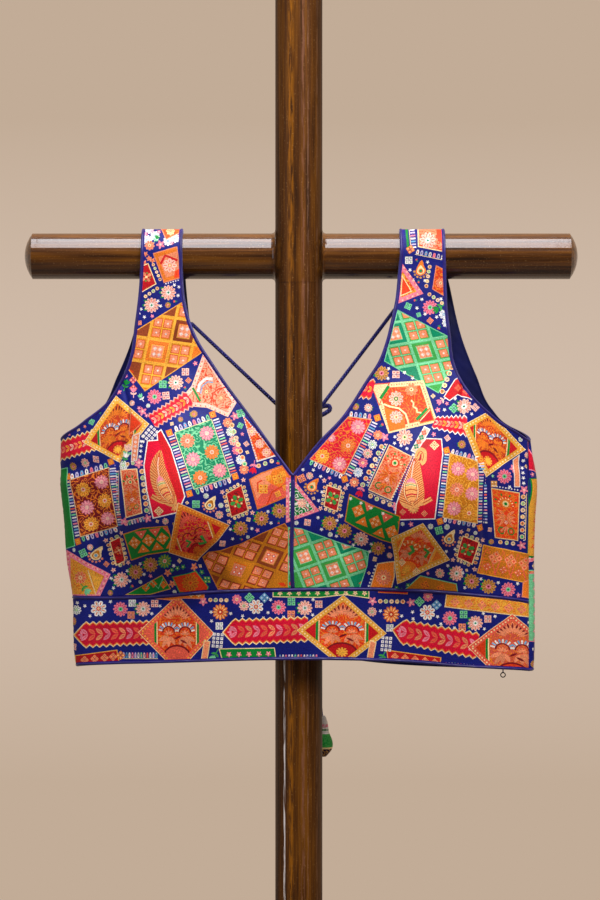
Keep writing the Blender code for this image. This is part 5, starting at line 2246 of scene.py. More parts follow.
BUST_LEFT: tuple[Patch, ...] = (
    Placed(DIAMONDS_PINK, 185.4, 371.8, 45),
    Placed(DAISY_CREAM, 175.8, 382.6),
    Placed(DIAMONDS_GREEN, 162.8, 384.2, 45),
    Placed(DAISY_PINK, 154.4, 396.6),
    Placed(DIAMONDS_PINK, 165.8, 395.4, 40),
    Posies(FourDiamonds(4.2, CORAL, WHITE), ((133.2, 380), (133.4, 388.4))),
    Placed(Bud(5.4, PINK, BLUSH), 133.6, 392.5, 180),
    Placed(Bud(6, GREEN, LEAF), 125.4, 385, 200),
    Placed(Bud(4.6, MINT, WHITE), 141.4, 397.6, 150),
    Wedge(((191.5, 386), (204, 351), (237, 402), (228, 417), (207, 407.5), (176, 404)), APRICOT, BLUSH,
        CREAM, 4, FLAME),
    Stroke(((192.6, 387.6), (200.4, 401.4)), 2.2, GREEN),
    Stroke(((198, 392), (199.6, 384), (206, 378.6), (213, 379)), 3, WHITE),
    Stroke(((200.6, 393.6), (202, 386.4), (207.6, 381.8), (213, 382.4)), 1.2, SKY),
    Stroke(((211, 403), (212.6, 394), (218.4, 388.6), (226, 387.4)), 1.3, FLAME),
    Posies(Flower(4.8, PEACH, CORAL, CREAM, FLAME, 8), ((206.4, 391.5), (221, 398))),
    Braid(((147, 414), (184, 390), (195, 405.6), (156.5, 429)), CRIMSON, (BLUSH, CORAL), pitch=5),
    Placed(STAR_PINK, 142.6, 411.4, 20),
    Posies(SPOT_PINK, ((146.6, 415.6), (139, 408))),
    Braid(((56, 441), (94, 428), (97, 451), (57, 463)), CRIMSON, (CREAM, ORANGE)),
    Medallion(((116.2, 396.4), (148.4, 424), (118.6, 461.6), (84.2, 442.4)), YELLOW, CREAM, EMBER, RED,
        ORANGE, MAROON),
    Field(((131, 413.5), (141, 423.4), (129.8, 433.5)), FLAME, PEACH),
    *(Stroke(((287.8, 489 + 3.6 * k), (290.2, 490.6 + 3.6 * k)), 0.9, WHITE) for k in range(9)),
    # The flowered rectangle at the side, with its ladders
    FloralPatch(((70.6, 480.2), (108.2, 467.8), (115.6, 526.6), (81.4, 536.2)), MAROON, ORANGE,
        ((83.6, 489.5, 6.8, YELLOW), (102.3, 482, 6.6, PINK), (104.8, 500.7, 6.6, YELLOW),
        (87.3, 507.4, 6.8, PINK), (107.4, 518.5, 6.4, PINK), (91.5, 524, 6.8, YELLOW)), ((7,
        Ladder(5, arched=True)), (7.6, Ladder(2.6)), (6.6, Ladder(4.6, arched=True)), (6.4, Ladder(3))),
        ((67.2, 477), (110.2, 461.6), (78.6, 541.4)), PEACH),
    Field(((58, 470), (65.6, 468.4), (67.6, 492), (70, 516), (74.6, 545.4), (66, 548), (58, 530)), GREEN,
        MINT),
    Trimming((118.6, 508), (114.6, 464), 0.4, Ladder(2.8)),
    # The peach column with its beads
    Trimming((119.4, 514), (119, 470), 4.2, Ladder(2.8, first=3)),
    ColumnPanel(((121.4, 470.4), (136.4, 469.4), (141.4, 512.6), (126.4, 517)), PEACH, ORANGE, FLAME),
    Trimming((138, 468.6), (143.4, 514), 7.2, BeadRow(6.2, scallops=True)),
    Trimming((144, 516.4), (124.6, 521.4), 5.6, Ladder(3, arched=True, first=2)),
    Posies(STAR_PINK, ((138.8, 464), (147.6, 518.4, 20), (124.2, 521.6, 50))),
    Placed(BLOOM_GREEN, 123.4, 465.4),
    Trimming((125, 467), (136, 465.4), 5.4, BeadRow(5.4, None)),
    # The leaf, the pink strip and the spots above it
    Placed(Bud(8, BLUSH, MINT), 127.6, 451.4, 190),
    Placed(Bud(5.5, WHITE, LEAF), 125, 457.6, 200),
    Strip(((133, 436.4), (139.4, 433.4), (136.4, 459.8), (131.6, 461)), PEACH, WHITE),
    Posies(Star(1.6, WHITE, CORAL), ((136, 437.6), (135.6, 442), (135.2, 446.4), (134.8, 450.8),
        (134.2, 455.2), (134, 459))),
    Posies(SPOT_WHITE, ((141.2, 441.4), (141.2, 446), (140.8, 451), (140, 456.6))),
    Placed(Check(3, 4), 150.4, 434, 40),
    Posies(SPOT_WHITE, ((142.8, 436.4), (143.2, 441.6))),
    Placed(STAR_PINK, 139, 462.6, 30),
    # The red patch with the golden feather
    FeatherPatch(((147, 440.4), (157, 439.6), (156.4, 433), (161.2, 428.8), (171.4, 448), (179.4, 473.8),
        (185.4, 496.4), (178.6, 512.8), (152.8, 518.8), (146.2, 490.4), (143.3, 465.5)), CRIMSON,
        (((158, 440.4), (157.2, 433.2), (161.2, 430.6), (170.2, 448.4), (178.2, 474), (184.2, 496.6),
        (176.6, 500), (172, 486), (167.6, 468), (162.8, 451.4)), RED), ((175, 505.8), (167.6, 496),
        (160.8, 482), (157.8, 465), (160.6, 449.4)), 9.4, (151.6, 496), (158.8, 511.2)),
    # The leafy rectangle
    FloralPatch(((175.2, 432.8), (211.4, 419.5), (230.3, 476.6), (194.1, 488.9)), TEAL, MINT,
        ((187.4, 440.9, 7, PEACH), (206.8, 433.3, 7, PINK), (211.9, 452.1, 7, ORANGE),
        (193, 459.3, 7, PINK), (219.6, 470.5, 6.8, PINK), (200.2, 477.7, 7, ORANGE)), ((7.4,
        Ladder(4.6, arched=True)), (8.4, Ladder(2.9)), (7.4, Ladder(4.6, arched=True)), (8.6,
        Ladder(2.9, first=2))), ((169.4, 432.8), (212.8, 414.2), (189.4, 493.6), (235.2, 476.4)), MINT),
    Placed(BLOOM_PEACH, 227.8, 422.6),
    Placed(BLOOM_GREEN, 230.8, 431.7),
    Placed(BLOOM_RED, 233.6, 440.8),
    Placed(BLOOM_PINK, 237, 450.1),
    Placed(BLOOM_SKY, 240.6, 459.8),
    Placed(BLOOM_PEACH, 244.1, 469.4),
    Trimming((234.2, 421), (249, 466), -7, BeadRow(7, None)),
    Placed(STAR_PINK, 234.8, 416, 14),
    Placed(DIAMONDS_GREEN, 240.6, 413.2, 30),
    Placed(Bud(7, CRIMSON, PINK), 253.6, 467, 10),
    Wedge(((242.2, 414), (277.6, 455.6), (256.8, 462.2)), FLAME, WHITE, PEACH, 1.6, ORANGE),
    Posies(Flower(4.6, BLUSH, CORAL, CREAM, CORAL, 8), ((251.8, 431.6), (259.6, 443.8), (266.4, 452.4))),
    Trimming((256.6, 470), (276, 463), 6.4, BeadRow(6, None)),
    # The orange patch against the middle seam
    Field(((250, 479.8), (261.6, 473.4), (281.8, 466.2), (296, 474), (296, 492.4), (257.8, 508.4)), CORAL,
        OCHRE),
    Field(((250.6, 479.8), (261.6, 474), (281.8, 466.6), (275, 480), (263, 491), (257, 500)), PEACH),
    Field(((272, 470.6), (283, 467.4), (289.4, 476.4), (280, 488), (268, 482)), ORANGE),
    Stroke(((267, 505), (272, 492), (288, 483)), 1.5, FLAME),
    Stroke(((258, 492), (257.6, 482.6), (262, 480.4)), 1.5, FLAME),
    Posies(FourDiamonds(6.6, YELLOW, FLAME), ((263.2, 489, 45), (277.6, 479.2, 30))),
    Posies(FourDiamonds(4, YELLOW, FLAME), ((282.8, 474, 30), (268.6, 478, 30), (278, 494, 20),
        (285.6, 487.4, 30))),
    # The small square, the paisley and what is round them
    SmallSquare(((226.7, 494), (241, 485.8), (247.7, 510.3), (231.8, 516.4)), RED, SMALL_ROSETTE),
    Placed(PAISLEY_TEAL, 210, 502.6, 5),
    Placed(DIAMONDS_GREEN, 196, 504.2, 45),
    Posies(DAISY_GOLD, ((279.6, 511), (261.6, 518.6), (240.8, 528.6))),
    Posies(SPOT_WHITE, ((268, 511.6), (230.4, 529.2), (252, 528.6), (233, 539), (271, 523))),
    SmallSquare(((109.6, 542.6), (118.3, 538.5), (123.4, 560.9), (115.2, 565)), RED,
        Rosette(4.6, PEACH, ORANGE, CREAM), 5),
    Placed(PAISLEY_TEAL, 96.6, 552.6, 8),
    Placed(DIAMONDS_GREEN, 84, 552.8, 20),
    ZigzagPatch(((123.4, 534.4), (141.7, 528.3), (167.2, 526.2), (172.3, 542.6), (170.3, 551.7),
        (146.8, 554.8), (131, 560.4)), ((134.4, 542.8), (148.4, 540.4), (162.4, 538.6)), (6.4, 6.4), -8),
    Placed(FourDiamonds(4.6, GOLD, GREEN), 176, 525, 30),
    Medallion(((178.4, 503.4), (228.8, 525.4), (198.2, 563.6), (169, 553)), ORANGE, YELLOW, CRIMSON, RED,
        CORAL, MAROON, OCHRE, (CORAL, ORANGE), 5),
    Stroke(((201, 536), (206, 543), (199, 546)), 3.2, LEAF),
    Stroke(((186, 541), (190.6, 544), (187, 548.6)), 2.6, LEAF),
    Wedge(((66, 549.6), (110.4, 574.2), (98.8, 599), (66, 599)), YELLOW, PINK, CREAM, 4.6, ORANGE),
    Stroke(((88.6, 570), (96, 595)), 1, CREAM),
    Field(((91.6, 575), (102.6, 577.6), (96.6, 592)), YELLOW),
    Placed(Flower(6.4, PEACH, FLAME, CREAM, CORAL, 9), 80.6, 577.6),
    Placed(Bud(7, MINT, LEAF), 85.4, 589, 320),
    Placed(DAISY_CREAM, 120.8, 580.2),
    Posies(DAISY_GOLD, ((135.6, 572.2), (150.4, 565.2))),
    Placed(DAISY_GREEN, 164.4, 561.8),
    Posies(SPOT_WHITE, ((111, 578.4), (126.6, 571.4), (113.4, 588), (144, 574.4), (129.6, 581.2),
        (140, 564), (173.6, 566.4))),
    Field(((127, 594.4), (161.8, 576), (169.8, 588.4), (150, 594)), GREEN, GOLD),
    Posies(FourDiamonds(4.2, ORANGE, FLAME), ((153.4, 583.8), (163.4, 584.8), (145.8, 587.8))),
    Stroke(((146, 589), (151, 581), (158.4, 588.4), (163, 578.6)), 1, MINT),
    Posies(Star(4, PEACH, CORAL), ((167.6, 573), (194.6, 568.6), (172.4, 583.8))),
    Field(((173, 577.4), (195.8, 572.8), (208, 587.4), (206, 592), (180, 592)), FLAME, LEAF),
    Placed(Flower(8.6, OCHRE, RED, ORANGE, FLAME, 12), 190.4, 583),
    Posies(Star(2.6, LEAF, CREAM), ((171.6, 570.4), (177.4, 568.8), (183, 567.6), (202.4, 573.6))),
    Placed(FourDiamonds(4.6, LEAF, CREAM), 207.4, 580.4, 40),
    Lattice(((203, 559.9), (209.2, 553.8), (240.8, 544.6), (261.2, 533.4), (284.8, 523), (296, 540),
        (296, 592), (263, 594), (220, 594)), (237.8, 570), (22.3, 7.2), (-10, 19.6), ((-1, 0, WINDOWS),
        (0, 0, FRAMED), (1, 0, WINDOWS), (2, 0, PLAIN), (-1, -1, DARK), (0, -1, WINDOWS),
        (1, -1, FRAMED_DARK), (2, -1, WINDOWS), (0, -2, DARK), (1, -2, WINDOWS), (2, -2, WINDOWS),
        (3, -2, WINDOWS), (3, -1, WINDOWS), (-1, 1, DARK), (0, 1, WINDOWS), (1, 1, WINDOWS), (2, 1, DARK),
        (-1, 2, WINDOWS), (3, 0, WINDOWS)), OCHRE, BROWN, OCHRE, BROWN, PEACH, CORAL),
)

STRAP_RIGHT: tuple[Patch, ...] = (
    Stroke(((405.6, 220), (408.4, 250)), 2.4, GREEN),
    Trimming((410.6, 249), (408, 220), -6.4, Ladder(3)),
    Placed(FourDiamonds(5, ORANGE, CREAM), 410.4, 249.4, 12),
    Field(((418.2, 218), (444, 218), (443.6, 251), (418.8, 246.2)), PEACH, CREAM, FLAME),
    Field(((436, 218), (444, 218), (443.8, 246), (436.8, 238)), FLAME),
    Placed(Flower(8.2, BLUSH, CORAL, WHITE, TEAL, 11), 427.8, 240.4),
    Trimming((415, 254.6), (444, 260.6), 6.4, Ladder(4.4, arched=True)),
    Placed(DIAMONDS_WHITE, 408.8, 260.2, 45),
    Placed(PAISLEY_GOLD, 419.8, 268.4, 340),
    Posies(SPOT_WHITE, ((410, 270), (427.6, 262), (413, 280), (425, 280.6))),
    Trimming((433.6, 265), (429.4, 289), -7, BeadRow(5, None)),
    Trimming((429.4, 290), (446, 301.6), -7, BeadRow(5, None)),
    Field(((436.6, 266.4), (446, 271), (446.4, 296.6), (433.2, 288.8)), FLAME, PEACH, ORANGE),
    Placed(BLOOM_PEACH, 440.6, 283),
    Wedge(((401.4, 262), (423.4, 293.6), (398, 303.6), (394, 280)), YELLOW, PINK, CREAM, 4.4, FLAME),
    Field(((402.6, 277), (410.6, 291), (401.4, 295)), FLAME, CREAM),
    Placed(DAISY_PINK, 430, 307.4),
    Placed(Bud(7, GREEN, LEAF), 438.8, 307.8, 60),
    Posies(BLOOM_SKY, ((443.8, 314.4), (446.8, 322.6))),
    Posies(SPOT_WHITE, ((417, 308), (436.6, 317), (421.8, 299.4), (425, 314), (441, 299))),
    Lattice(((397.6, 309.6), (449, 336.4), (454.6, 360.5), (438.6, 393.4), (384, 361.2)), (424.4, 351.6),
        (22.6, -3.9), (7.4, 21.6), ((0, 0, FRAMED), (-1, -1, FRAMED_DARK), (0, -1, WINDOWS), (1, -1, DARK),
        (-1, 0, WINDOWS), (1, 0, WINDOWS), (-2, 0, DARK), (-1, 1, DARK), (0, 1, WINDOWS), (-1, -2, DARK),
        (0, -2, WINDOWS), (1, 1, WINDOWS), (-2, -1, WINDOWS), (-2, 1, WINDOWS)), MINT, LEAF, LEAF, TEAL,
        PEACH, BLUSH),
    Trimming((449.4, 363), (437.6, 393), 7.4, BeadRow(6.2, None)),
    Placed(FourDiamonds(5, YELLOW, CREAM), 456.8, 362, 15),
)

BUST_RIGHT: tuple[Patch, ...] = (
    Placed(DAISY_GOLD, 381.6, 373.2),
    Placed(DIAMONDS_PINK, 396, 374.4, 45),
    Posies(SPOT_WHITE, ((388.6, 368.6), (404.6, 372.6), (388, 378.4), (412.6, 378))),
    Wedge(((371, 384), (423.4, 380.2), (437.8, 421.8), (388.6, 433.4)), FLAME, CREAM, PEACH, 4.8, ORANGE),
    Field(((371.6, 385), (388.6, 383.6), (384, 392), (379.2, 404)), CREAM, FLAME),
    Field(((433.4, 419.6), (421, 422.6), (418.4, 419.4), (430, 408)), RED, ORANGE),
    Stroke(((430.2, 409), (420, 420.8)), 1, CREAM),
    Stroke(((388.8, 386), (380.4, 398.6)), 3, GREEN),
    Stroke(((427.4, 407.6), (416.4, 419.8)), 3, GREEN),
    Stroke(((411, 399.6), (413.6, 402), (413.2, 405.4), (416.8, 407.6), (417, 411.4), (421.4, 412)), 1.8,
        CREAM),
    Stroke(((383.6, 404), (390, 406.4), (399, 408), (405.4, 413.6), (408, 421), (409, 427.6)), 1.8, CREAM),
    Field(((384, 408), (392, 409.6), (400.4, 412.4), (404.6, 419), (405.6, 427.6), (389.4, 431.6)), ORANGE),
    Placed(Flower(6.6, BLUSH, CORAL, CREAM, FLAME, 10), 396.2, 417),
    Placed(Flower(7.4, BLUSH, OCHRE, GREEN, CREAM, 10), 396, 398.4),
    Placed(Flower(6.4, PEACH, ORANGE, CREAM, FLAME, 9), 411.4, 389.4),
    Braid(((360.4, 375), (376, 379.2), (370.6, 400.4), (356, 399)), CRIMSON, (BLUSH, ORANGE), pitch=5),
    FloralPatch(((348.6, 416.9), (371.4, 419.8), (343.8, 474.2), (310.6, 459)), CRIMSON, ORANGE,
        ((358, 427, 7, PINK), (331.4, 437.9, 4, PINK), (348.1, 445.6, 7, ORANGE),
        (322.3, 456.1, 6.8, YELLOW), (339.5, 463.8, 6.8, PINK)), ((6.6, Ladder(4.6, arched=True)), (8.2,
        Ladder(2.9)), (6.4, Ladder(4.6, arched=True)), None), ((377.4, 417.8), (344.6, 479)), PEACH),
    Placed(STAR_PINK, 384.6, 437.2, 14),
    Placed(BLOOM_PEACH, 377.9, 435.1),
    Placed(BLOOM_GREEN, 372.5, 444.6),
    Placed(BLOOM_RED, 367.7, 453.5),
    Placed(BLOOM_PINK, 362.9, 462.8),
    Placed(BLOOM_SKY, 358.2, 472.4),
    Placed(BLOOM_PEACH, 354.3, 482.2),
    Trimming((380, 442), (358, 486.4), 7, BeadRow(7.4, None)),
    Placed(Bud(7, CRIMSON, PINK), 360.6, 490.4, 20),
    Placed(Flower(8.2, BLUSH, CORAL, CREAM, GREEN, 10), 404.6, 437.2),
    Strip(((424.6, 427), (429.4, 429.6), (416.4, 452.6), (411.6, 450.4)), BLUSH, WHITE),
    Posies(FourDiamonds(3.4, CORAL, ORANGE), ((424, 432.8, 30), (418.8, 441.8, 30))),
    Posies(FourDiamonds(3.4, TEAL, GREEN), ((421.4, 437.4, 30), (416.2, 446.4, 30))),
    Posies(SPOT_WHITE, ((394.5, 443.2), (401.2, 445.6), (407, 448.5), (413.2, 455), (395, 436.8))),
    ColumnPanel(((389.7, 445.6), (411.3, 457.1), (390.7, 499.2), (369.2, 489.6)), PEACH, ORANGE, FLAME),
    Trimming((392, 501.4), (412.6, 457.6), 1.6, Spots(3, 0.8)),
    Trimming((366, 497.6), (391.6, 509), 6.4, BeadRow(6.4, scallops=True)),
    Placed(STAR_PINK, 395.4, 506.4, 20),
    Trimming((368, 487), (387.6, 444), 3.2, Ladder(2.8, first=2)),
    # The red patch with the bell feather, cut off by the dart
    FeatherPatch(((426, 437.9), (442, 438.6), (443.4, 454), (441, 472.5), (435.4, 519.4), (394, 520.4),
        (395.8, 504), (402.2, 484.8), (412, 460), (421.6, 442.7)), CRIMSON, (((426.4, 438.8), (433, 439),
        (424, 452), (412, 474), (403, 498), (400, 519), (395.2, 519.4), (397, 504), (403.2, 484.8),
        (413, 460)), RED), ((413.4, 508), (411.6, 497), (411, 483), (412.8, 468), (416, 454)), 13,
        (431.6, 498.6), (434.4, 445.4), 0.3),
    Stroke(((416.6, 458), (418.4, 452.6), (421.2, 450), (423.6, 451.4), (424.2, 456), (423.4, 461.2),
        (420.6, 463.4)), 5.2, HONEY, True),
    Stroke(((416.8, 457), (418.6, 453.2), (421.2, 451.2), (422.8, 453), (423.2, 457), (422.2, 461)), 0.8,
        EMBER, True),
    Posies(FourDiamonds(3.6, PEACH, BROWN), ((402.8, 512), (424.4, 513.6))),
    Braid(((436.6, 415.6), (466.6, 414), (468.4, 438.2), (431, 428.8)), CRIMSON, (WHITE, CORAL), back=True),
    Placed(Bud(5.4, PINK, BLUSH), 441.4, 400.6, 60),
    Placed(DIAMONDS_GREEN, 453.8, 408.2, 0),
    Placed(FourDiamonds(4.4, BLUSH, WHITE), 449, 393, 20),
    Placed(DAISY_CREAM, 464.2, 406.2),
    Placed(FourDiamonds(5, BLUSH, PINK), 475.4, 407.2, 0),
    Posies(SPOT_WHITE, ((455, 398.6), (471.4, 398.6), (444.6, 409.6), (471.6, 414))),
    Field(((444.6, 396.6), (455.2, 380), (465.4, 374), (483, 402.6), (464.8, 396.4), (457.4, 394.2),
        (449.6, 400)), RED, WHITE),
    Field(((462, 374.4), (472, 384), (482, 401.6), (470.6, 396.4), (463, 386)), OCHRE, PEACH),
    Posies(FourDiamonds(4, CORAL, ORANGE), ((458, 388), (466.4, 391.2))),
    Medallion(((489, 411.8), (524.6, 449.6), (486.2, 476.2), (463.6, 425.4)), YELLOW, CREAM, EMBER, RED,
        ORANGE, MAROON),
    Placed(DAISY_PINK, 504.5, 476.4),
    Placed(STAR_PINK, 514.4, 468.4, 10),
    Placed(FourDiamonds(4.6, YELLOW, WHITE), 494, 484, 45),
    Strip(((514.8, 459.6), (519.4, 456), (519.4, 486.4), (515, 486.4)), PEACH, WHITE),
    Posies(SPOT_WHITE, ((524, 460.5), (523, 467.9), (523.2, 472.9), (523.4, 477.9), (523.6, 483.3),
        (509.6, 487))),
    FloralPatch(((450.2, 453.6), (478.6, 461.4), (476.8, 523), (443.2, 517.2)), OCHRE, YELLOW,
        ((458, 468.8, 6.8, PINK), (472.6, 474.4, 6.6, PINK), (456.9, 489.6, 6.8, PEACH),
        (472, 493.8, 6.6, PINK), (454.1, 508.6, 6.8, PINK), (469.2, 513.2, 6.6, YELLOW)), ((6,
        Ladder(4.4, arched=True)), (6.4, Ladder(2.9)), (5.6, Ladder(4.6, arched=True)), (6.2,
        Ladder(2.9, first=2))), ((446.6, 450.4), (481.6, 459.4), (480.2, 527.6), (440, 521.4)), YELLOW),
    Trimming((484.6, 524), (486, 466), 0.4, Ladder(3)),
    Trimming((487.6, 524), (487, 484), 2.6, Ladder(3.2)),
    ColumnPanel(((492, 488.8), (519, 493.4), (517.2, 540), (494.8, 536.8)), FLAME, PEACH, ORANGE),
    Trimming((492.4, 486.4), (519, 490.8), 1.2, Spots(3, 0.8)),
    Trimming((520, 493.4), (518.6, 540), 6.6, BeadRow(6.6, scallops=True)),
    Posies(STAR_PINK, ((524, 490), (521.6, 545.4, 20))),
    Trimming((495.4, 544.4), (516, 547), 6.2, BeadRow(6.2, None)),
    Field(((530.4, 480.6), (538, 480.6), (538, 556.6), (528.4, 555)), YELLOW, GREEN),
    Posies(Star(2.6, FLAME, CREAM), ((533.4, 490), (533.2, 500), (533, 511), (532.6, 522), (532.4, 533),
        (532, 544))),
    Field(((527.6, 437), (536, 437), (538, 476), (533, 471), (530.4, 455)), CRIMSON, PINK),
    Field(((531.4, 573.6), (540, 573.6), (540, 596), (531.8, 594)), MINT, PINK),
    Field(((534, 577), (540, 577), (540, 592), (534.4, 590)), PEACH),
    # The orange patch low at the side
    Field(((484.6, 545.8), (531.4, 555.2), (532.4, 578.6), (524.4, 581.8), (478.4, 572.6)), OCHRE, YELLOW,
        ORANGE),
    *(Stroke(((479 + 15.4 * k, 571.6 + 3.2 * k), (487 + 15.4 * k, 547.4 + 3.2 * k),
        (495.4 + 15.4 * k, 574.8 + 3.2 * k)), 1.3, CORAL) for k in range(3)),
    Posies(FourDiamonds(7.4, PEACH, FLAME), ((494.6, 557.6, 12), (510, 560.8, 12), (525, 564, 12))),
    Posies(FourDiamonds(4.6, CORAL, CREAM), ((487.2, 566.6, 12), (502.6, 569.8, 12), (518, 573, 12))),
    Field(((523.6, 582.6), (532.4, 578.6), (532.4, 598), (522.6, 596.4)), ORANGE, PEACH),
    SmallSquare(((464.6, 537.4), (478.4, 542.6), (472.8, 564.4), (458, 557.9)), RED, SMALL_ROSETTE),
    Placed(PAISLEY_TEAL, 449.4, 536.6, 5),
    Placed(DIAMONDS_GREEN, 439, 530.4, 30),
    Placed(DAISY_CREAM, 456.9, 573.7),
    Posies(DAISY_GOLD, ((472.2, 581.8), (488.6, 586.6))),
    Placed(DAISY_PINK, 508, 589.5),
    Posies(SPOT_WHITE, ((448, 566), (463.6, 573.6), (448.4, 584), (465, 588), (481, 579), (498, 582.6),
        (517.6, 583.6), (446.4, 551.6), (455.4, 549.4))),
    # The green lattice against the middle seam
    Lattice(((288, 527), (301, 528.3), (353.2, 547.7), (368, 552.8), (367.4, 566), (357.4, 596),
        (313.4, 596), (288, 590)), (304.2, 556.8), (21.4, -7), (8, 19.8), ((0, 0, FRAMED), (1, 1, FRAMED),
        (-1, 0, WINDOWS), (1, 0, WINDOWS), (0, 1, WINDOWS), (2, 1, WINDOWS), (1, 2, WINDOWS),
        (-1, 1, PLAIN), (0, -1, WINDOWS), (2, 0, FRAMED_DARK), (3, 1, FRAMED_DARK), (2, 2, DARK),
        (0, 2, DARK), (3, 2, WINDOWS), (-1, -1, DARK), (1, -1, DARK), (-1, 2, WINDOWS)), MINT, LEAF, LEAF,
        TEAL, PEACH, BLUSH),
    ZigzagPatch(((349.5, 494.4), (371.6, 505), (400, 516.6), (396.4, 545), (381.7, 540.5), (366.4, 533.4),
        (345, 521.1)), ((358.2, 510.8), (375.2, 522), (391.6, 531.6)), (6.8, 7), 22),
    Posies(SPOT_WHITE, ((350.6, 498.6), (361, 503), (371, 508), (383, 513.6))),
    Posies(DAISY_GOLD, ((329.7, 523.4), (344.4, 531))),
    Placed(DAISY_CREAM, 360.6, 539.6),
    Placed(DAISY_GOLD, 377.4, 549.6),
    Posies(SPOT_WHITE, ((321.6, 529.4), (336.4, 536.4), (352.6, 545.6), (368.6, 553), (337, 520.4),
        (370.4, 545), (318, 517.6))),
    Medallion(((422.8, 523.8), (449.4, 560), (397.8, 582.8), (391.4, 538.4)), YELLOW, CREAM, FLAME, ORANGE,
        PEACH, FLAME, YELLOW, (CREAM, ORANGE), 4.6),
    Stroke(((411, 545), (413.6, 551), (408.6, 554.4)), 3.4, LEAF),
    Stroke(((424, 549), (428.6, 552.6), (425, 558.4)), 3, LEAF),
    Posies(FourDiamonds(4.2, CREAM, FLAME), ((416.4, 571.6), (402, 562))),
    Field(((404, 590.4), (420.4, 576.4), (456, 584.4), (458, 597), (404, 597)), OCHRE, MINT),
    Posies(FourDiamonds(5.4, ORANGE, BROWN), ((425, 585.4, 20), (441, 588.6, 20))),
    Field(((369.5, 592), (377.7, 565), (393.4, 562.8), (394, 576.2), (389.9, 592)), ORANGE, CREAM),
    Placed(Flower(8, PEACH, CORAL, CREAM, FLAME, 11), 383.6, 577.6),
    Trimming((369.6, 588), (377.4, 565.4), 3, Spots(3.4, 1)),
    Posies(Star(2.6, LEAF, CREAM), ((400.6, 589.6), (408, 584.6), (396.6, 587.6))),
    SmallSquare(((327.5, 485.8), (340.9, 490.6), (336.6, 510.7), (324.7, 505.9)), RED, SMALL_ROSETTE),
    Placed(PAISLEY_GOLD, 312.2, 484.4, 12),
    Placed(DIAMONDS_PEACH, 301.6, 478.4, 20),
    Posies(SPOT_WHITE, ((320.6, 476.4), (303, 469.6), (322, 492), (306.6, 497), (313.4, 470),
        (318.6, 500.6), (347.6, 485), (341.6, 515.6))),
    Wedge(((286, 477), (295, 481), (319.4, 511), (286, 523)), GREEN, PINK, CREAM, 3.4, WHITE),
    Stroke(((293.6, 498), (309, 509.6)), 1.1, PINK),
    Placed(Flower(4.6, BLUSH, CORAL, CREAM, PINK, 8), 302, 503.4),
)


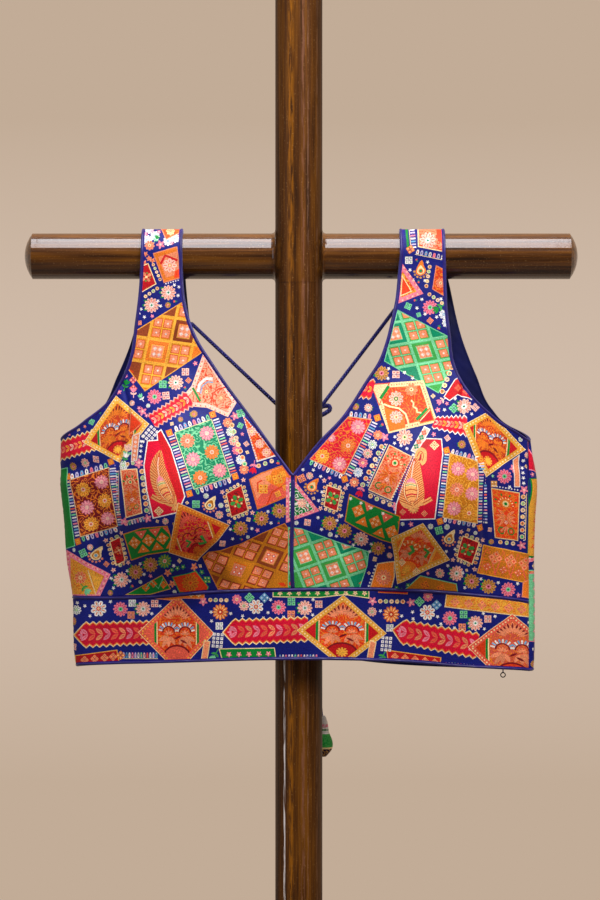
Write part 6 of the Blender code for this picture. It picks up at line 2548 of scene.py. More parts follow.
BAND: tuple[Patch, ...] = (
    # Left group of small flowers
    Posies(SPOT_WHITE, ((77.4, 602.8), (84.8, 606), (110.4, 601.6), (90, 616), (132, 621), (152, 613.6),
        (160, 606))),
    Placed(BLOOM_GREEN, 76.6, 610),
    Placed(Flower(8, WHITE, ORANGE, CORAL, CREAM, 8), 98.6, 608.6, 22),
    Placed(DAISY_PINK, 120.3, 609.2),
    Placed(DIAMONDS_WHITE, 132.2, 603, 45),
    Placed(DIAMONDS_PEACH, 131, 615, 45),
    Placed(DAISY_CREAM, 143.2, 608.9),
    Placed(DIAMONDS_PINK, 154.7, 603.4, 45),
    Braid(((73, 621.5), (150, 619.5), (150, 645.5), (73, 649)), leaves=(PINK, CORAL, PEACH), pitch=6.8,
        pointed=10, link=7.6),
    Medallion(((177.4, 595.8), (213.6, 633.4), (177.6, 672), (139, 632.3)), CORAL, YELLOW, FLAME, CORAL,
        PEACH, MAROON),
    Field(((152, 590), (203.6, 590), (203.6, 598.2), (184, 597.6), (171, 599.6), (152, 597.6)), ORANGE,
        PEACH),
    Posies(Star(2.8, CREAM, FLAME), ((157.6, 594.4), (165.6, 594.8), (191, 594.8), (198.6, 594.6))),
    Field(((76, 656), (116.2, 650.7), (119, 664), (76, 668)), RED, YELLOW),
    Posies(FourDiamonds(4.6, PEACH, ORANGE), ((84.6, 660), (94.6, 658.8), (104.6, 657.8), (113, 656.8))),
    Trimming((122, 659), (158, 659), 7.6, Ladder(3, arched=True, first=1)),
    Placed(FourDiamonds(5, ORANGE, CREAM), 120.4, 655.4),
    # The garland between the first medallion and the middle
    Placed(STAR_PINK, 203.2, 601.6),
    Trimming((207.6, 603), (229, 603.4), 6.2, BeadRow(6, None)),
    Placed(BLOOM_PINK, 236.8, 599.4),
    Placed(BLOOM_RED, 244, 606),
    Placed(Flower(8, ORANGE, CREAM, RED, CREAM, 12), 220.2, 612),
    Placed(DIAMONDS_WHITE, 219.2, 626, 45),
    Posies(SPOT_WHITE, ((211, 612), (230.6, 613.6), (211.6, 621), (242.6, 616), (268, 612.6), (263.4, 618),
        (246.6, 590.6))),
    Placed(DIAMONDS_GREEN, 249.4, 597.6, 0),
    Placed(FourDiamonds(5.6, SKY, WHITE), 264.4, 597.8, 0),
    Placed(Flower(7.4, WHITE, ORANGE, CORAL, CREAM, 8), 256, 606.8, 22),
    Field(((273.5, 588), (368.5, 588), (368.5, 597.6), (345, 594), (320, 597), (273.5, 596.2)), GREEN,
        CREAM),
    Posies(Star(2.8, CREAM, PINK), tuple(((280 + 9.4 * index, 593.2) for index in range(10)))),
    Placed(DAISY_PINK, 278.6, 607.3),
    Placed(DIAMONDS_GREEN, 291.4, 601.6, 45),
    Placed(DIAMONDS_PEACH, 291.2, 614.2, 45),
    Placed(DAISY_CREAM, 304.9, 608),
    Placed(DIAMONDS_PINK, 318.8, 604.2, 45),
    Posies(SPOT_WHITE, ((270.6, 599.8), (312.6, 615), (325.6, 612), (283.6, 617), (313, 599.6))),
    Braid(((222, 618.5), (308, 615.5), (308, 642.5), (222, 646.5)), leaves=(PINK, CORAL, PEACH), pitch=6.8,
        pointed=10, link=7.6),
    Medallion(((343.4, 595.6), (386, 633.4), (342, 667), (297.6, 630.3)), YELLOW, CREAM, FLAME, RED, PEACH,
        MAROON),
    Field(((219.8, 649.4), (274, 648.4), (276, 662), (224, 664)), GREEN, CREAM),
    Posies(Star(3, PINK, CREAM), ((229, 654.6), (239, 654.4), (249, 654.2), (259, 654), (268.4, 653.8))),
    Trimming((278.6, 661), (318, 661), 7.6, Ladder(3, arched=True, first=2)),
    Placed(Check(3, 4), 217.6, 640.4, 5),
    Strip(((204.6, 641), (209.6, 642), (206.4, 662), (201.4, 662)), PEACH, CREAM),
    Placed(Bud(7, MINT, LEAF), 214.6, 655.6, 30),
    # The garland to the right of the middle medallion
    Field(((379, 587), (407, 587), (407, 593.4), (379, 592)), RED, ORANGE),
    Posies(STAR_PINK, ((372.5, 601), (411, 602.4, 20))),
    Trimming((377.4, 604.4), (405.6, 605), 6.4, BeadRow(6, None)),
    Placed(Flower(8.4, ORANGE, CREAM, RED, CREAM, 12), 391.2, 614.4),
    Placed(DIAMONDS_WHITE, 390, 628, 45),
    Placed(DIAMONDS_GREEN, 419.5, 601.7, 0),
    Placed(FourDiamonds(5.6, SKY, WHITE), 436.6, 604.8, 0),
    Placed(BLOOM_PINK, 428, 596.6),
    Placed(Flower(7.8, WHITE, ORANGE, CORAL, CREAM, 8), 427.4, 612.4, 22),
    Posies(SPOT_WHITE, ((380.4, 611), (401.8, 616), (412.6, 612), (437.4, 616.6), (440.6, 624), (401, 625),
        (413, 618.8))),
    Field(((447.6, 590), (531.4, 596), (530.4, 616.6), (500, 613), (470, 609.4), (445.4, 606.2)), YELLOW,
        CREAM, ORANGE),
    Posies(FourDiamonds(5.2, PEACH, CORAL), ((455, 602, 6), (468.6, 603.6, 6), (482, 605.2, 6),
        (495.4, 606.8, 6), (508.8, 608, 6), (521.6, 609.6, 6))),
    Placed(DAISY_PINK, 449.8, 618.2),
    Placed(DIAMONDS_GREEN, 463.6, 614.4, 45),
    Placed(DIAMONDS_PEACH, 462.2, 627.2, 45),
    Placed(DAISY_CREAM, 475.5, 623.2),
    Placed(DIAMONDS_PINK, 488, 619, 45),
    Posies(SPOT_WHITE, ((454.4, 628), (483.4, 613.4), (484.6, 629), (495.4, 616.4), (529, 622.6))),
    Braid(((393.6, 616.6), (480, 632), (476, 660), (390, 643)), leaves=(PINK, CORAL, PEACH), pitch=6.8,
        pointed=10, link=7.6),
    Medallion(((512.4, 614.4), (557, 652), (511.8, 690), (468.4, 647)), CORAL, CREAM, CORAL, FLAME, PEACH,
        MAROON),
    Field(((387.3, 650.7), (440.2, 658), (439, 672), (389.4, 667)), RED, YELLOW),
    Posies(FourDiamonds(4.2, PEACH, ORANGE), ((395, 656.6), (405, 658), (415, 659.4), (425, 660.8),
        (434.6, 662.2))),
    Placed(Check(3, 4), 386.4, 644, 5),
    Strip(((370.6, 641), (375.6, 643), (371.6, 664), (366.6, 664)), PEACH, CREAM),
    Placed(Bud(7, MINT, LEAF), 382, 657.6, 30),
    Trimming((444, 668.6), (480, 671.6), 7.6, Ladder(3, arched=True, first=4)),
)


# What shows of the back beside the right side seam
RIGHT_EDGE: tuple[Patch, ...] = (
    Field(((52, 437), (62, 437), (64, 473), (54, 468)), CRIMSON, PINK),
    Field(((54, 479), (69, 479), (69, 556.6), (54, 555)), YELLOW, GREEN),
    Posies(Star(2.8, FLAME, CREAM), tuple(((61, 486 + 8.6 * k) for k in range(8)))),
    Field(((56, 573.6), (69, 573.6), (69, 642), (57, 640)), MINT, PINK),
    Posies(Star(2.8, PINK, WHITE), tuple(((62.4, 580 + 8.4 * k) for k in range(8)))),
)


@dataclass(frozen=True)
class Painter:
    """Draws rows of patches on a panel.

    Attributes:
        drawing: The sheet that they are laid out on.
        layouts: Rows of patches, each with how far across and down it is moved and its turn in degrees.
        bare: How much bare ground round a spot calls for one more small motif, in millimetres.
    """

    drawing: Drawing
    layouts: tuple[tuple[tuple[Patch, ...], float, float, float], ...]
    bare: float = 2.6

    def paint(self, weave: Weave) -> None:
        """Draws the patches that touch the panel.

        Args:
            weave: The panel's pattern.
        """
        sheet = Brush(weave, 0, self.drawing.on_cloth)
        for patches, across, down, turn in self.layouts:
            brush = sheet.moved(across, down, turn)
            for patch in patches:
                if brush.near(patch.spots()):
                    patch.draw(brush)
        self.scatter(weave)

    def scatter(self, weave: Weave) -> None:
        """Strews small motifs over the ground that is still bare.

        Args:
            weave: The panel's pattern.
        """
        flat = Brush(weave, 0, lambda points: points * MM)
        taken: list[tuple[float, float, float]] = []
        for x, y, room in weave.open_spots(2.6):
            room = min([room, *(math.hypot(x - u, y - v) - size for u, v, size in taken)])
            if room < self.bare:
                continue
            size = min(room - 1.1, 4.0)
            kinds = SCATTERED_LARGE if size > 2.6 else SCATTERED_SMALL if size > 1.6 else SCATTERED_TINY
            motif, extent = kinds[len(taken) % len(kinds)]
            motif.draw(flat.moved(x, y, 37.0 * len(taken), size / extent))
            taken.append((x, y, size + 1.2))


class Bench:
    """A new material with its main shader, and short ways to add and link its nodes."""

    def __init__(self, name: str, roughness: float, **settings: float | tuple[float, ...]) -> None:
        """Makes the material.

        Args:
            name: The material's name.
            roughness: The shader's roughness.
            settings: Values for the shader's other sockets, with _ for a space.
        """
        self.material = bpy.data.materials.new(name)
        self.material.use_nodes = True
        self.nodes = self.material.node_tree.nodes
        self.shader = self.nodes["Principled BSDF"]
        self.shader.inputs["Roughness"].default_value = roughness
        for socket, value in settings.items():
            self.shader.inputs[socket.replace("_", " ")].default_value = value

    def add(self, kind: str, inputs: dict | None = None, **settings: object) -> bpy.types.Node:
        """Adds a node.

        Args:
            kind: Its type, without the ShaderNode at its start.
            inputs: For each of its sockets, a value or another node's output.
            settings: Its own properties.

        Returns:
            The node.
        """
        node = self.nodes.new("ShaderNode" + kind)
        for name, value in settings.items():
            setattr(node, name, value)
        for socket, value in (inputs or {}).items():
            self.feed(node.inputs[socket], value)
        return node

    def feed(self, socket: Socket, value: object) -> None:
        """Links another node's output to a socket, or sets its value.

        Args:
            socket: The socket.
            value: The output or the value.
        """
        if isinstance(value, Socket):
            self.material.node_tree.links.new(value, socket)
        else:
            socket.default_value = value

    def attribute(self, name: str) -> bpy.types.Node:
        """A mesh attribute."""
        return self.add("Attribute", attribute_name=name)

    def noise(self, vector: Socket, scale: float, detail: float = 3.0) -> Socket:
        """A noise from 0 to 1 with so many blotches to the metre."""
        return self.add("TexNoise", {"Vector": vector, "Scale": scale, "Detail": detail}).outputs["Fac"]

    def scaled(self, vector: Socket, scale: Row) -> Socket:
        """A place in space, stretched along x, y and z."""
        return self.add("Mapping", {"Vector": vector, "Scale": scale}).outputs[0]

    def maths(self, operation: str, *values: object) -> Socket:
        """A sum of one, two or three values."""
        return self.add("Math", dict(enumerate(values)), operation=operation).outputs[0]

    def between(self, value: Socket, low: float, high: float, to: Row = (0.0, 1.0)) -> Socket:
        """A value stretched from one range to another and kept in it."""
        inputs = {"Value": value, 1: low, 2: high, 3: to[0], 4: to[1]}
        return self.add("MapRange", inputs).outputs[0]

    def mix(self, share: object, first: object, second: object, way: str = "MIX") -> Socket:
        """Two colours mixed."""
        node = self.add("Mix", {0: share, 6: first, 7: second}, data_type="RGBA", blend_type=way)
        return node.outputs[2]

    def bump(self, height: Socket, distance: float, strength: float = 1.0, normal: object = None) -> Socket:
        """A bump from a height.

        Args:
            height: The height.
            distance: How far up it reaches, in metres.
            strength: How much of it counts.
            normal: The bump that it lies on, if there is one.

        Returns:
            The normal.
        """
        inputs = {"Height": height, "Distance": distance, "Strength": strength}
        if normal is not None:
            inputs["Normal"] = normal
        return self.add("Bump", inputs).outputs[0]

    def close(self, color: object, normal: object = None, roughness: object = None) -> bpy.types.Material:
        """Feeds the shader.

        Args:
            color: The base colour.
            normal: The normal, if it has one.
            roughness: The roughness, if it varies.

        Returns:
            The finished material.
        """
        self.feed(self.shader.inputs["Base Color"], color)
        if normal is not None:
            self.feed(self.shader.inputs["Normal"], normal)
        if roughness is not None:
            self.feed(self.shader.inputs["Roughness"], roughness)
        return self.material


def rgba(color: Sequence[float]) -> tuple[float, float, float, float]:
    """A colour given as 0 to 255 for the eye, as a shader takes it."""
    return (*linear(color), 1.0)


@dataclass(frozen=True)
class Brocade:
    """Thin patterned silk: each face carries its yarn's colour, and fine threads cross on top.

    Attributes:
        thread_height: How far a thread stands out.
        sheen: The strength of the silk's sheen.
        scrolls: Scrolls to the metre.
        turns: How tightly a scroll is wound.
    """

    thread_height: float = 0.00006
    sheen: float = 0.02
    scrolls: float = 210.0
    turns: float = 30.0

    def make(self) -> bpy.types.Material:
        """Makes the material.

        Returns:
            The material.
        """
        bench = Bench(
            "patterned_brocade", 0.55, Specular_IOR_Level=0.15, Sheen_Weight=self.sheen,
            Sheen_Roughness=0.4, Sheen_Tint=rgba((170, 180, 255)),
        )
        cloth = bench.attribute("cloth").outputs["Vector"]
        yarn = bench.attribute("yarn").outputs["Color"]
        scroll = bench.attribute("scroll").outputs
        curls = bench.maths("MULTIPLY", bench.noise(cloth, self.scrolls, 0.6), self.turns)
        lines = bench.between(bench.maths("SINE", curls), 0.25, 0.80)
        yarn = bench.mix(bench.maths("MULTIPLY", lines, scroll["Alpha"]), yarn, scroll["Color"])
        cloudy = bench.between(bench.noise(cloth, 34.0, 2.0), 0.3, 0.7, (0.88, 1.10))
        stretched = bench.add("Mapping", {"Vector": cloth, "Scale": (2600.0, 900.0, 1.0)}).outputs[0]
        slub = bench.between(bench.noise(stretched, 1.0, 2.0), 0.25, 0.75, (0.80, 1.16))
        fleck = bench.between(bench.noise(cloth, 900.0, 1.0), 0.3, 0.7, (0.74, 1.22))
        shade = bench.maths("MULTIPLY", bench.maths("MULTIPLY", cloudy, fleck), slub)
        color = bench.mix(1.0, yarn, self.grey(bench, shade), "MULTIPLY")
        normal = bench.bump(fleck, self.thread_height, 0.6)
        normal = bench.bump(bench.maths("MULTIPLY", lines, scroll["Alpha"]), 0.0003, 0.5, normal)
        normal = bench.bump(bench.noise(cloth, 170.0, 3.0), 0.0005, 0.45, normal)
        normal = bench.bump(bench.noise(cloth, 32.0, 2.0), 0.0022, 0.5, normal)
        rough = bench.between(bench.noise(cloth, 60.0, 2.0), 0.3, 0.7, (0.46, 0.60))
        return bench.close(color, normal, rough)

    @staticmethod
    def grey(bench: Bench, value: Socket) -> Socket:
        """A grey of one value."""
        return bench.add("CombineColor", {0: value, 1: value, 2: value}).outputs[0]


@dataclass(frozen=True)
class Satin:
    """Plain satin, for linings and piping.

    Attributes:
        name: The material's name.
        color: Its colour.
        roughness: Its roughness.
        ribs: Ribs to the metre across its bias.
    """

    name: str
    color: Row
    roughness: float = 0.38
    ribs: float = 900.0

    def make(self) -> bpy.types.Material:
        """Makes the material.

        Returns:
            The material.
        """
        bench = Bench(
            self.name, self.roughness, Specular_IOR_Level=0.5, Sheen_Weight=0.25, Sheen_Roughness=0.35,
            Sheen_Tint=rgba((170, 180, 240)),
        )
        cloth = bench.attribute("cloth").outputs["Vector"]
        cloudy = bench.between(bench.noise(cloth, 45.0, 3.0), 0.3, 0.7)
        dark = tuple(0.72 * value for value in self.color)
        color = bench.mix(cloudy, rgba(dark), rgba(self.color))
        bias = bench.add("Mapping", {"Vector": cloth, "Rotation": (0, 0, 0.785)}).outputs[0]
        inputs = {"Vector": bias, "Scale": self.ribs / 20, "Distortion": 1.2, "Detail": 2.0}
        ribs = bench.add("TexWave", inputs, wave_type="BANDS").outputs["Fac"]
        normal = bench.bump(ribs, 0.00007)
        normal = bench.bump(bench.noise(cloth, 120.0, 3.0), 0.0006, 0.4, normal)
        return bench.close(color, normal)


@dataclass(frozen=True)
class TwistedCord:
    """Cord whose strands wind round it.

    Attributes:
        name: The material's name.
        color: The strands' colour.
        light: Their colour where they catch the light, a painted highlight on each strand's crest.
        turns: Strands passed in a metre.
    """

    name: str
    color: Row
    light: Row
    turns: float = 420.0

    def make(self) -> bpy.types.Material:
        """Makes the material.

        Returns:
            The material.
        """
        bench = Bench(self.name, 0.5, Specular_IOR_Level=0.45, Sheen_Weight=0.3, Sheen_Roughness=0.4)
        along = bench.attribute("cloth").outputs["Vector"]
        inputs = {"Vector": along}
        parts = bench.add("SeparateXYZ", inputs).outputs
        wound = bench.maths("MULTIPLY_ADD", parts[0], self.turns, bench.maths("MULTIPLY", parts[1], 380.0))
        wave = bench.maths("SINE", bench.maths("MULTIPLY", wound, 6.2832))
        rise = bench.between(wave, -1.0, 1.0)
        fuzz = bench.noise(along, 2200.0, 2.0)
        # Painted highlight: the strands' crests take the lighter colour.
        color = bench.mix(bench.maths("MULTIPLY", rise, fuzz), rgba(self.color), rgba(self.light))
        normal = bench.bump(rise, 0.0005, 0.8)
        return bench.close(color, bench.bump(fuzz, 0.0002, 0.5, normal))


@dataclass(frozen=True)
class VarnishedWood:
    """Dark turned wood under clear varnish, with painted shade towards its edges and painted highlights among
    any streaks.

    Attributes:
        name: The material's name.
        grain: The way the grain runs, as the stretch of the noise along x, y and z.
        across: The axis across the bar.
        middle: Where the bar's middle is on that axis.
        half: Half the bar's width.
        edges: How much darker it is towards its two edges: painted shade where the round bar turns from the
            light.
        coat: The varnish's strength.
        gloss: The varnish's roughness.
        streaks_and_highlights: Streaks along it, some of them painted highlights, each with its place on the
            axis, its width, its colour, its strength and how high it reaches.
    """

    name: str
    grain: Row
    across: str
    middle: float
    half: float
    edges: tuple[float, float]
    coat: float
    gloss: float
    streaks_and_highlights: tuple[tuple[float, float, Row, float, float], ...] = ()

    def make(self) -> bpy.types.Material:
        """Makes the material.

        Returns:
            The material.
        """
        bench = Bench(
            self.name, 0.50, Specular_IOR_Level=0.12, Coat_Weight=self.coat, Coat_Roughness=self.gloss,
            Coat_IOR=1.5,
        )
        maths, between = bench.maths, bench.between
        place = bench.add("TexCoord").outputs["Object"]
        along = bench.add("SeparateXYZ", {"Vector": place}).outputs
        long = bench.scaled(place, self.grain)
        broad = bench.noise(long, 1.0, 5.0)
        fine = bench.noise(bench.scaled(long, (3.7, 3.7, 3.7)), 1.0, 6.0)
        grain = maths("MULTIPLY_ADD", fine, 0.45, maths("MULTIPLY", broad, 0.62))
        ramp = bench.add("ValToRGB", {"Fac": grain})
        stops = ramp.color_ramp.elements
        stops[0].color, stops[1].color = rgba((36, 16, 2)), rgba((124, 74, 12))
        stops[0].position, stops[1].position = 0.36, 0.72
        middle = stops.new(0.52)
        middle.color = rgba((80, 43, 5))
        color = ramp.outputs[0]
        from_middle = maths("SUBTRACT", along[self.across], self.middle)
        speckled = bench.scaled(place, (700.0, 700.0, 60.0))
        # Lighter streaks along the bar, some of them painted highlights.
        for spot, width, tint, strength, top in self.streaks_and_highlights:
            near = between(maths("ABSOLUTE", maths("SUBTRACT", from_middle, spot)), width, width * 0.3)
            broken = between(bench.noise(speckled, 1.0, 6.0), 0.42, 0.58)
            low = between(along["Z"], top, top - 0.01)
            share = maths("MULTIPLY", maths("MULTIPLY", near, broken), maths("MULTIPLY", low, strength))
            color = bench.mix(share, color, rgba(tint))
        specks = between(bench.noise(place, 900.0, 1.0), 0.66, 0.74)
        color = bench.mix(maths("MULTIPLY", specks, 0.25), color, rgba((196, 150, 96)))
        # Painted shade: the colour darkens towards the bar's two edges, where the round bar turns away from
        # the light.
        for side, shade in zip((-1, 1), self.edges):
            outward = maths("MULTIPLY", from_middle, side)
            reach = between(outward, self.half * 0.45, self.half * 0.97, (1.0, shade))
            color = bench.mix(1.0, color, Brocade.grey(bench, reach), "MULTIPLY")
        normal = bench.bump(fine, 0.0004, 0.5)
        material = bench.close(color, normal)
        coat = bench.bump(bench.noise(place, 120.0, 2.0), 0.0005, 0.25)
        bench.feed(bench.shader.inputs["Coat Normal"], coat)
        return material


@dataclass(frozen=True)
class Plain:
    """A plain finish with a fine unevenness.

    Attributes:
        name: The material's name.
        color: Its colour.
        roughness: Its roughness.
        metallic: 1 for metal.
        grain: Blotches to the metre.
    """

    name: str
    color: Row
    roughness: float
    metallic: float = 0.0
    grain: float = 900.0

    def make(self) -> bpy.types.Material:
        """Makes the material.

        Returns:
            The material.
        """
        bench = Bench(self.name, self.roughness, Metallic=self.metallic)
        place = bench.add("TexCoord").outputs["Object"]
        cloudy = bench.between(bench.noise(place, self.grain, 3.0), 0.3, 0.7)
        dark = tuple(0.86 * value for value in self.color)
        color = bench.mix(cloudy, rgba(dark), rgba(self.color))
        return bench.close(color, bench.bump(cloudy, 0.0001, 0.4))


class Slot(Enum):
    """The record's material slots."""

    BROCADE = "brocade"
    PIPING = "piping"
    CORD = "cord"
    TASSEL = "tassel"
    WOOD = "varnished_wood"


class Wardrobe:
    """The finishes, each made once."""

    def __init__(self) -> None:
        """Makes every finish."""
        self.brocade = Brocade().make()
        self.lining = Satin("navy_lining", (24, 28, 92)).make()
        self.piping = Satin("piping_satin", (40, 28, 120), 0.42, 700.0).make()
        # The cord's second colour is its painted highlight.
        self.cord = TwistedCord("navy_cord", (26, 22, 108), (56, 54, 156)).make()
        # Streaks down the post: the white one low on its left, below the hem, and the pale pinkish ones right
        # of its middle are painted highlights; the golden one is a lighter tone of the wood.
        streaks_and_highlights = (
            (-0.0069, 0.0034, (150, 90, 6), 0.9, FAR_OFF), (0.0036, 0.0020, (128, 84, 62), 0.7, FAR_OFF),
            (0.0077, 0.0007, (150, 110, 86), 0.5, FAR_OFF), (0.0154, 0.0008, (140, 98, 72), 0.5, FAR_OFF),
            (-0.0122, 0.0010, (255, 246, 240), 1.0, 0.24),
        )
        # The post is painted darker at both its sides, and the rail towards its underside: painted shade of
        # round bars.
        self.post_wood = VarnishedWood(
            "post_wood", (150.0, 150.0, 5.0), "X", 0.0, POST_RADIUS, (0.75, 0.45), 0.10, 0.35, streaks_and_highlights
        ).make()
        self.rail_wood = VarnishedWood(
            "rail_wood", (5.0, 150.0, 150.0), "Z", RAIL_HEIGHT, RAIL_RADIUS, (0.40, 1.0), 1.0, 0.10
        ).make()
        self.metal = Plain("black_wire", (30, 30, 34), 0.32, 1.0).make()


def add_piece(
    name: str,
    points: Array,
    faces: Iterable[Sequence[int]],
    material: bpy.types.Material,
    slot: Slot,
    cloth: Array | None = None,
    normals: Array | None = None,
) -> bpy.types.Object:
    """Makes a smooth piece that rides on the body.

    Args:
        name: The piece's name.
        points: Its points, in metres.
        faces: Its faces, as rows of point numbers.
        material: Its finish.
        slot: The record's slot that the finish stands for; not used.
        cloth: Each point's place on flat cloth, for the weave.
        normals: Each point's normal, where the mesh's own isn't smooth enough.

    Returns:
        The piece.
    """
    mesh = bpy.data.meshes.new(name)
    mesh.from_pydata(points.tolist(), [], [list(map(int, face)) for face in faces])
    mesh.materials.append(material)
    mesh.polygons.foreach_set("use_smooth", [True] * len(mesh.polygons))
    if cloth is not None:
        flat = mesh.attributes.new("cloth", "FLOAT_VECTOR", "POINT")
        flat.data.foreach_set("vector", np.column_stack((cloth, np.zeros(len(cloth)))).ravel())
    if normals is not None:
        mesh.normals_split_custom_set_from_vertices(normals.tolist())
    mesh.update()
    piece = bpy.data.objects.new(name, mesh)
    bpy.context.scene.collection.objects.link(piece)
    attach(piece, BODY)
    LOG.info("%s: %d points, %d faces", name, len(points), len(mesh.polygons))
    return piece


def color_faces(piece: bpy.types.Object, yarns: Array, scrolls: Array) -> None:
    """Gives each face the colours of its yarn and of its scrollwork.

    Args:
        piece: The piece.
        yarns: The yarns' colours, a row for each face.
        scrolls: The scrollwork's colours in the same way.
    """
    for layer, colors in (("yarn", yarns), ("scroll", scrolls)):
        attribute = piece.data.attributes.new(layer, "FLOAT_COLOR", "FACE")
        attribute.data.foreach_set("color", colors.ravel())


def frames_along(ways: Array, closed: bool) -> tuple[Array, Array, Array]:
    """Carries two directions across a path along it, without a twist.

    Args:
        ways: The path's direction at each point.
        closed: Whether it meets itself.

    Returns:
        The two directions at each point, and the turns that let the ends of a closed path meet.
    """
    side = np.cross(ways[0], (0.0, 0.0, 1.0))
    if np.linalg.norm(side) < 0.2:
        side = np.cross(ways[0], (0.0, 1.0, 0.0))
    aside = np.empty_like(ways)
    for k, way in enumerate(ways):
        side = aside[k] = unit(side - way * (side @ way))
    above = np.cross(ways, aside)
    twist = np.zeros(len(ways))
    if closed:
        last = unit(aside[-1] - ways[0] * (aside[-1] @ ways[0]))
        turn = math.atan2(last @ above[0], last @ aside[0])
        twist = -turn * np.arange(len(ways)) / len(ways)
    return aside, above, twist


def add_tube(
    name: str,
    path: Array,
    radius: float | Array,
    material: bpy.types.Material,
    slot: Slot,
    sides: int = 10,
    closed: bool = False,
) -> bpy.types.Object:
    """Makes a round tube along a path, with rounded ends.

    Args:
        name: The piece's name.
        path: The points of its middle line.
        radius: Its radius, one for all points or one for each.
        material: Its finish.
        slot: The record's slot that the finish stands for.
        sides: Points round it.
        closed: Whether it meets itself.

    Returns:
        The piece.
    """
    radii = np.broadcast_to(np.asarray(radius, float), len(path)).copy()
    ways = ways_along(path, closed)
    if not closed:
        caps = ((0.0, 0.12), (0.45, 0.62), (0.8, 0.92))
        start = [path[0] + ways[0] * radii[0] * (deep - 1) for deep, _ in caps]
        stop = [path[-1] - ways[-1] * radii[-1] * (deep - 1) for deep, _ in caps[::-1]]
        path = np.vstack((start, path, stop))
        ways = np.vstack(([ways[0]] * 3, ways, [ways[-1]] * 3))
        taper = np.array([share for _, share in caps])
        radii = np.concatenate((radii[0] * taper, radii, radii[-1] * taper[::-1]))
    aside, above, twist = frames_along(ways, closed)
    angles = twist[:, None] + np.arange(sides) * 2 * math.pi / sides
    rim = aside[:, None] * np.cos(angles)[..., None] + above[:, None] * np.sin(angles)[..., None]
    points = (path[:, None] + rim * radii[:, None, None]).reshape(-1, 3)
    count = len(path)
    rows = np.arange(count if closed else count - 1)
    here, after = rows * sides, ((rows + 1) % count) * sides
    k = np.arange(sides)
    beside = (k + 1) % sides
    corners = (here[:, None] + k, here[:, None] + beside, after[:, None] + beside, after[:, None] + k)
    faces = np.stack(corners, axis=-1).reshape(-1, 4).tolist()
    if not closed:
        faces.append(list(range(sides))[::-1])
        faces.append(list(range((count - 1) * sides, count * sides)))
    run = np.repeat(running_length(path), sides)
    round_it = (angles * radii.mean()).ravel()
    return add_piece(name, points, faces, material, slot, np.column_stack((run, round_it)))


class Edge(Enum):
    """How one edge of a panel is made up."""

    PIPED = "piped"
    PLAIN = "plain seam"
    CORDED = "seam with a cord in it"
    BUTTED = "no seam"


BINDING_WIDTHS = {Edge.PIPED: 0.0030, Edge.CORDED: 0.0017}
Border = Sequence[tuple[Array, Edge]]


def nearest_on(points: Array, line: Array) -> Array:
    """Finds the nearest point of a line for each of many points.

    Args:
        points: The points, on flat cloth.
        line: The line's points, on flat cloth.

    Returns:
        The nearest point of the line for each point, or a far one for a point past its reach.
    """
    feet = points + FAR_OFF
    near = ((points > line.min(axis=0) - SEAM_REACH) & (points < line.max(axis=0) + SEAM_REACH)).all(axis=1)
    if not near.any():
        return feet
    tree = KDTree(len(line))
    for number, (x, y) in enumerate(line):
        tree.insert((x, y, 0.0), number)
    tree.balance()
    close = points[near]
    corner = np.array([tree.find((x, y, 0.0))[1] for x, y in close.tolist()])
    best, gap = close + FAR_OFF, np.full(len(close), np.inf)
    for start in (np.maximum(corner - 1, 0), np.minimum(corner, len(line) - 2)):
        way = line[start + 1] - line[start]
        share = np.clip(((close - line[start]) * way).sum(axis=1) / (way * way).sum(axis=1), 0, 1)
        foot = line[start] + way * share[:, None]
        apart_now = np.linalg.norm(close - foot, axis=1)
        nearer = apart_now < gap
        best[nearer], gap[nearer] = foot[nearer], apart_now[nearer]
    feet[near] = best
    return feet


@dataclass(frozen=True)
class Crease:
    """A soft fold of the cloth, as a trough or a ridge.

    Attributes:
        start: Where it starts on the sheet.
        stop: Where it ends.
        rise: How high it stands at its middle, in metres, negative for a trough.
        width: How wide it is, in metres.
    """

    start: Spot
    stop: Spot
    rise: float
    width: float

    def at(self, flat: Array, drawing: Drawing) -> Array:
        """Measures its rise.

        Args:
            flat: Points of flat cloth, in metres.
            drawing: The sheet that it is laid out on.

        Returns:
            The rise at each point.
        """
        start, stop = drawing.on_cloth(np.array((self.start, self.stop), float))
        way = stop - start
        long = np.linalg.norm(way)
        along = (flat - start) @ way / long
        aside = ((flat - start)[:, 0] * way[1] - (flat - start)[:, 1] * way[0]) / long
        taper = np.exp(-(((along / long - 0.5) / 0.34) ** 2))
        return self.rise * taper * np.exp(-((aside / self.width) ** 2))


FRONT_CREASES: tuple[Crease, ...] = (
    Crease((207, 600), (190, 515), -0.0029, 0.006), Crease((236, 598), (216, 524), 0.0024, 0.007),
    Crease((124, 598), (112, 515), -0.0026, 0.008), Crease((92, 596), (84, 500), 0.0020, 0.009),
    Crease((52, 474), (128, 458), -0.0022, 0.006), Crease((60, 486), (120, 480), 0.0015, 0.006),
    Crease((140, 562), (300, 546), -0.0027, 0.010), Crease((150, 398), (222, 420), -0.0017, 0.006),
    Crease((268, 600), (250, 540), -0.0020, 0.006), Crease((312, 600), (336, 524), -0.0024, 0.007),
    Crease((290, 540), (456, 566), -0.0027, 0.010), Crease((402, 600), (410, 524), 0.0022, 0.008),
    Crease((474, 600), (462, 515), -0.0026, 0.007), Crease((506, 598), (498, 510), 0.0020, 0.009),
    Crease((540, 470), (462, 450), -0.0022, 0.007), Crease((384, 398), (444, 414), -0.0017, 0.006),
    Crease((140, 332), (190, 344), -0.0014, 0.007), Crease((398, 330), (452, 344), -0.0014, 0.007),
)
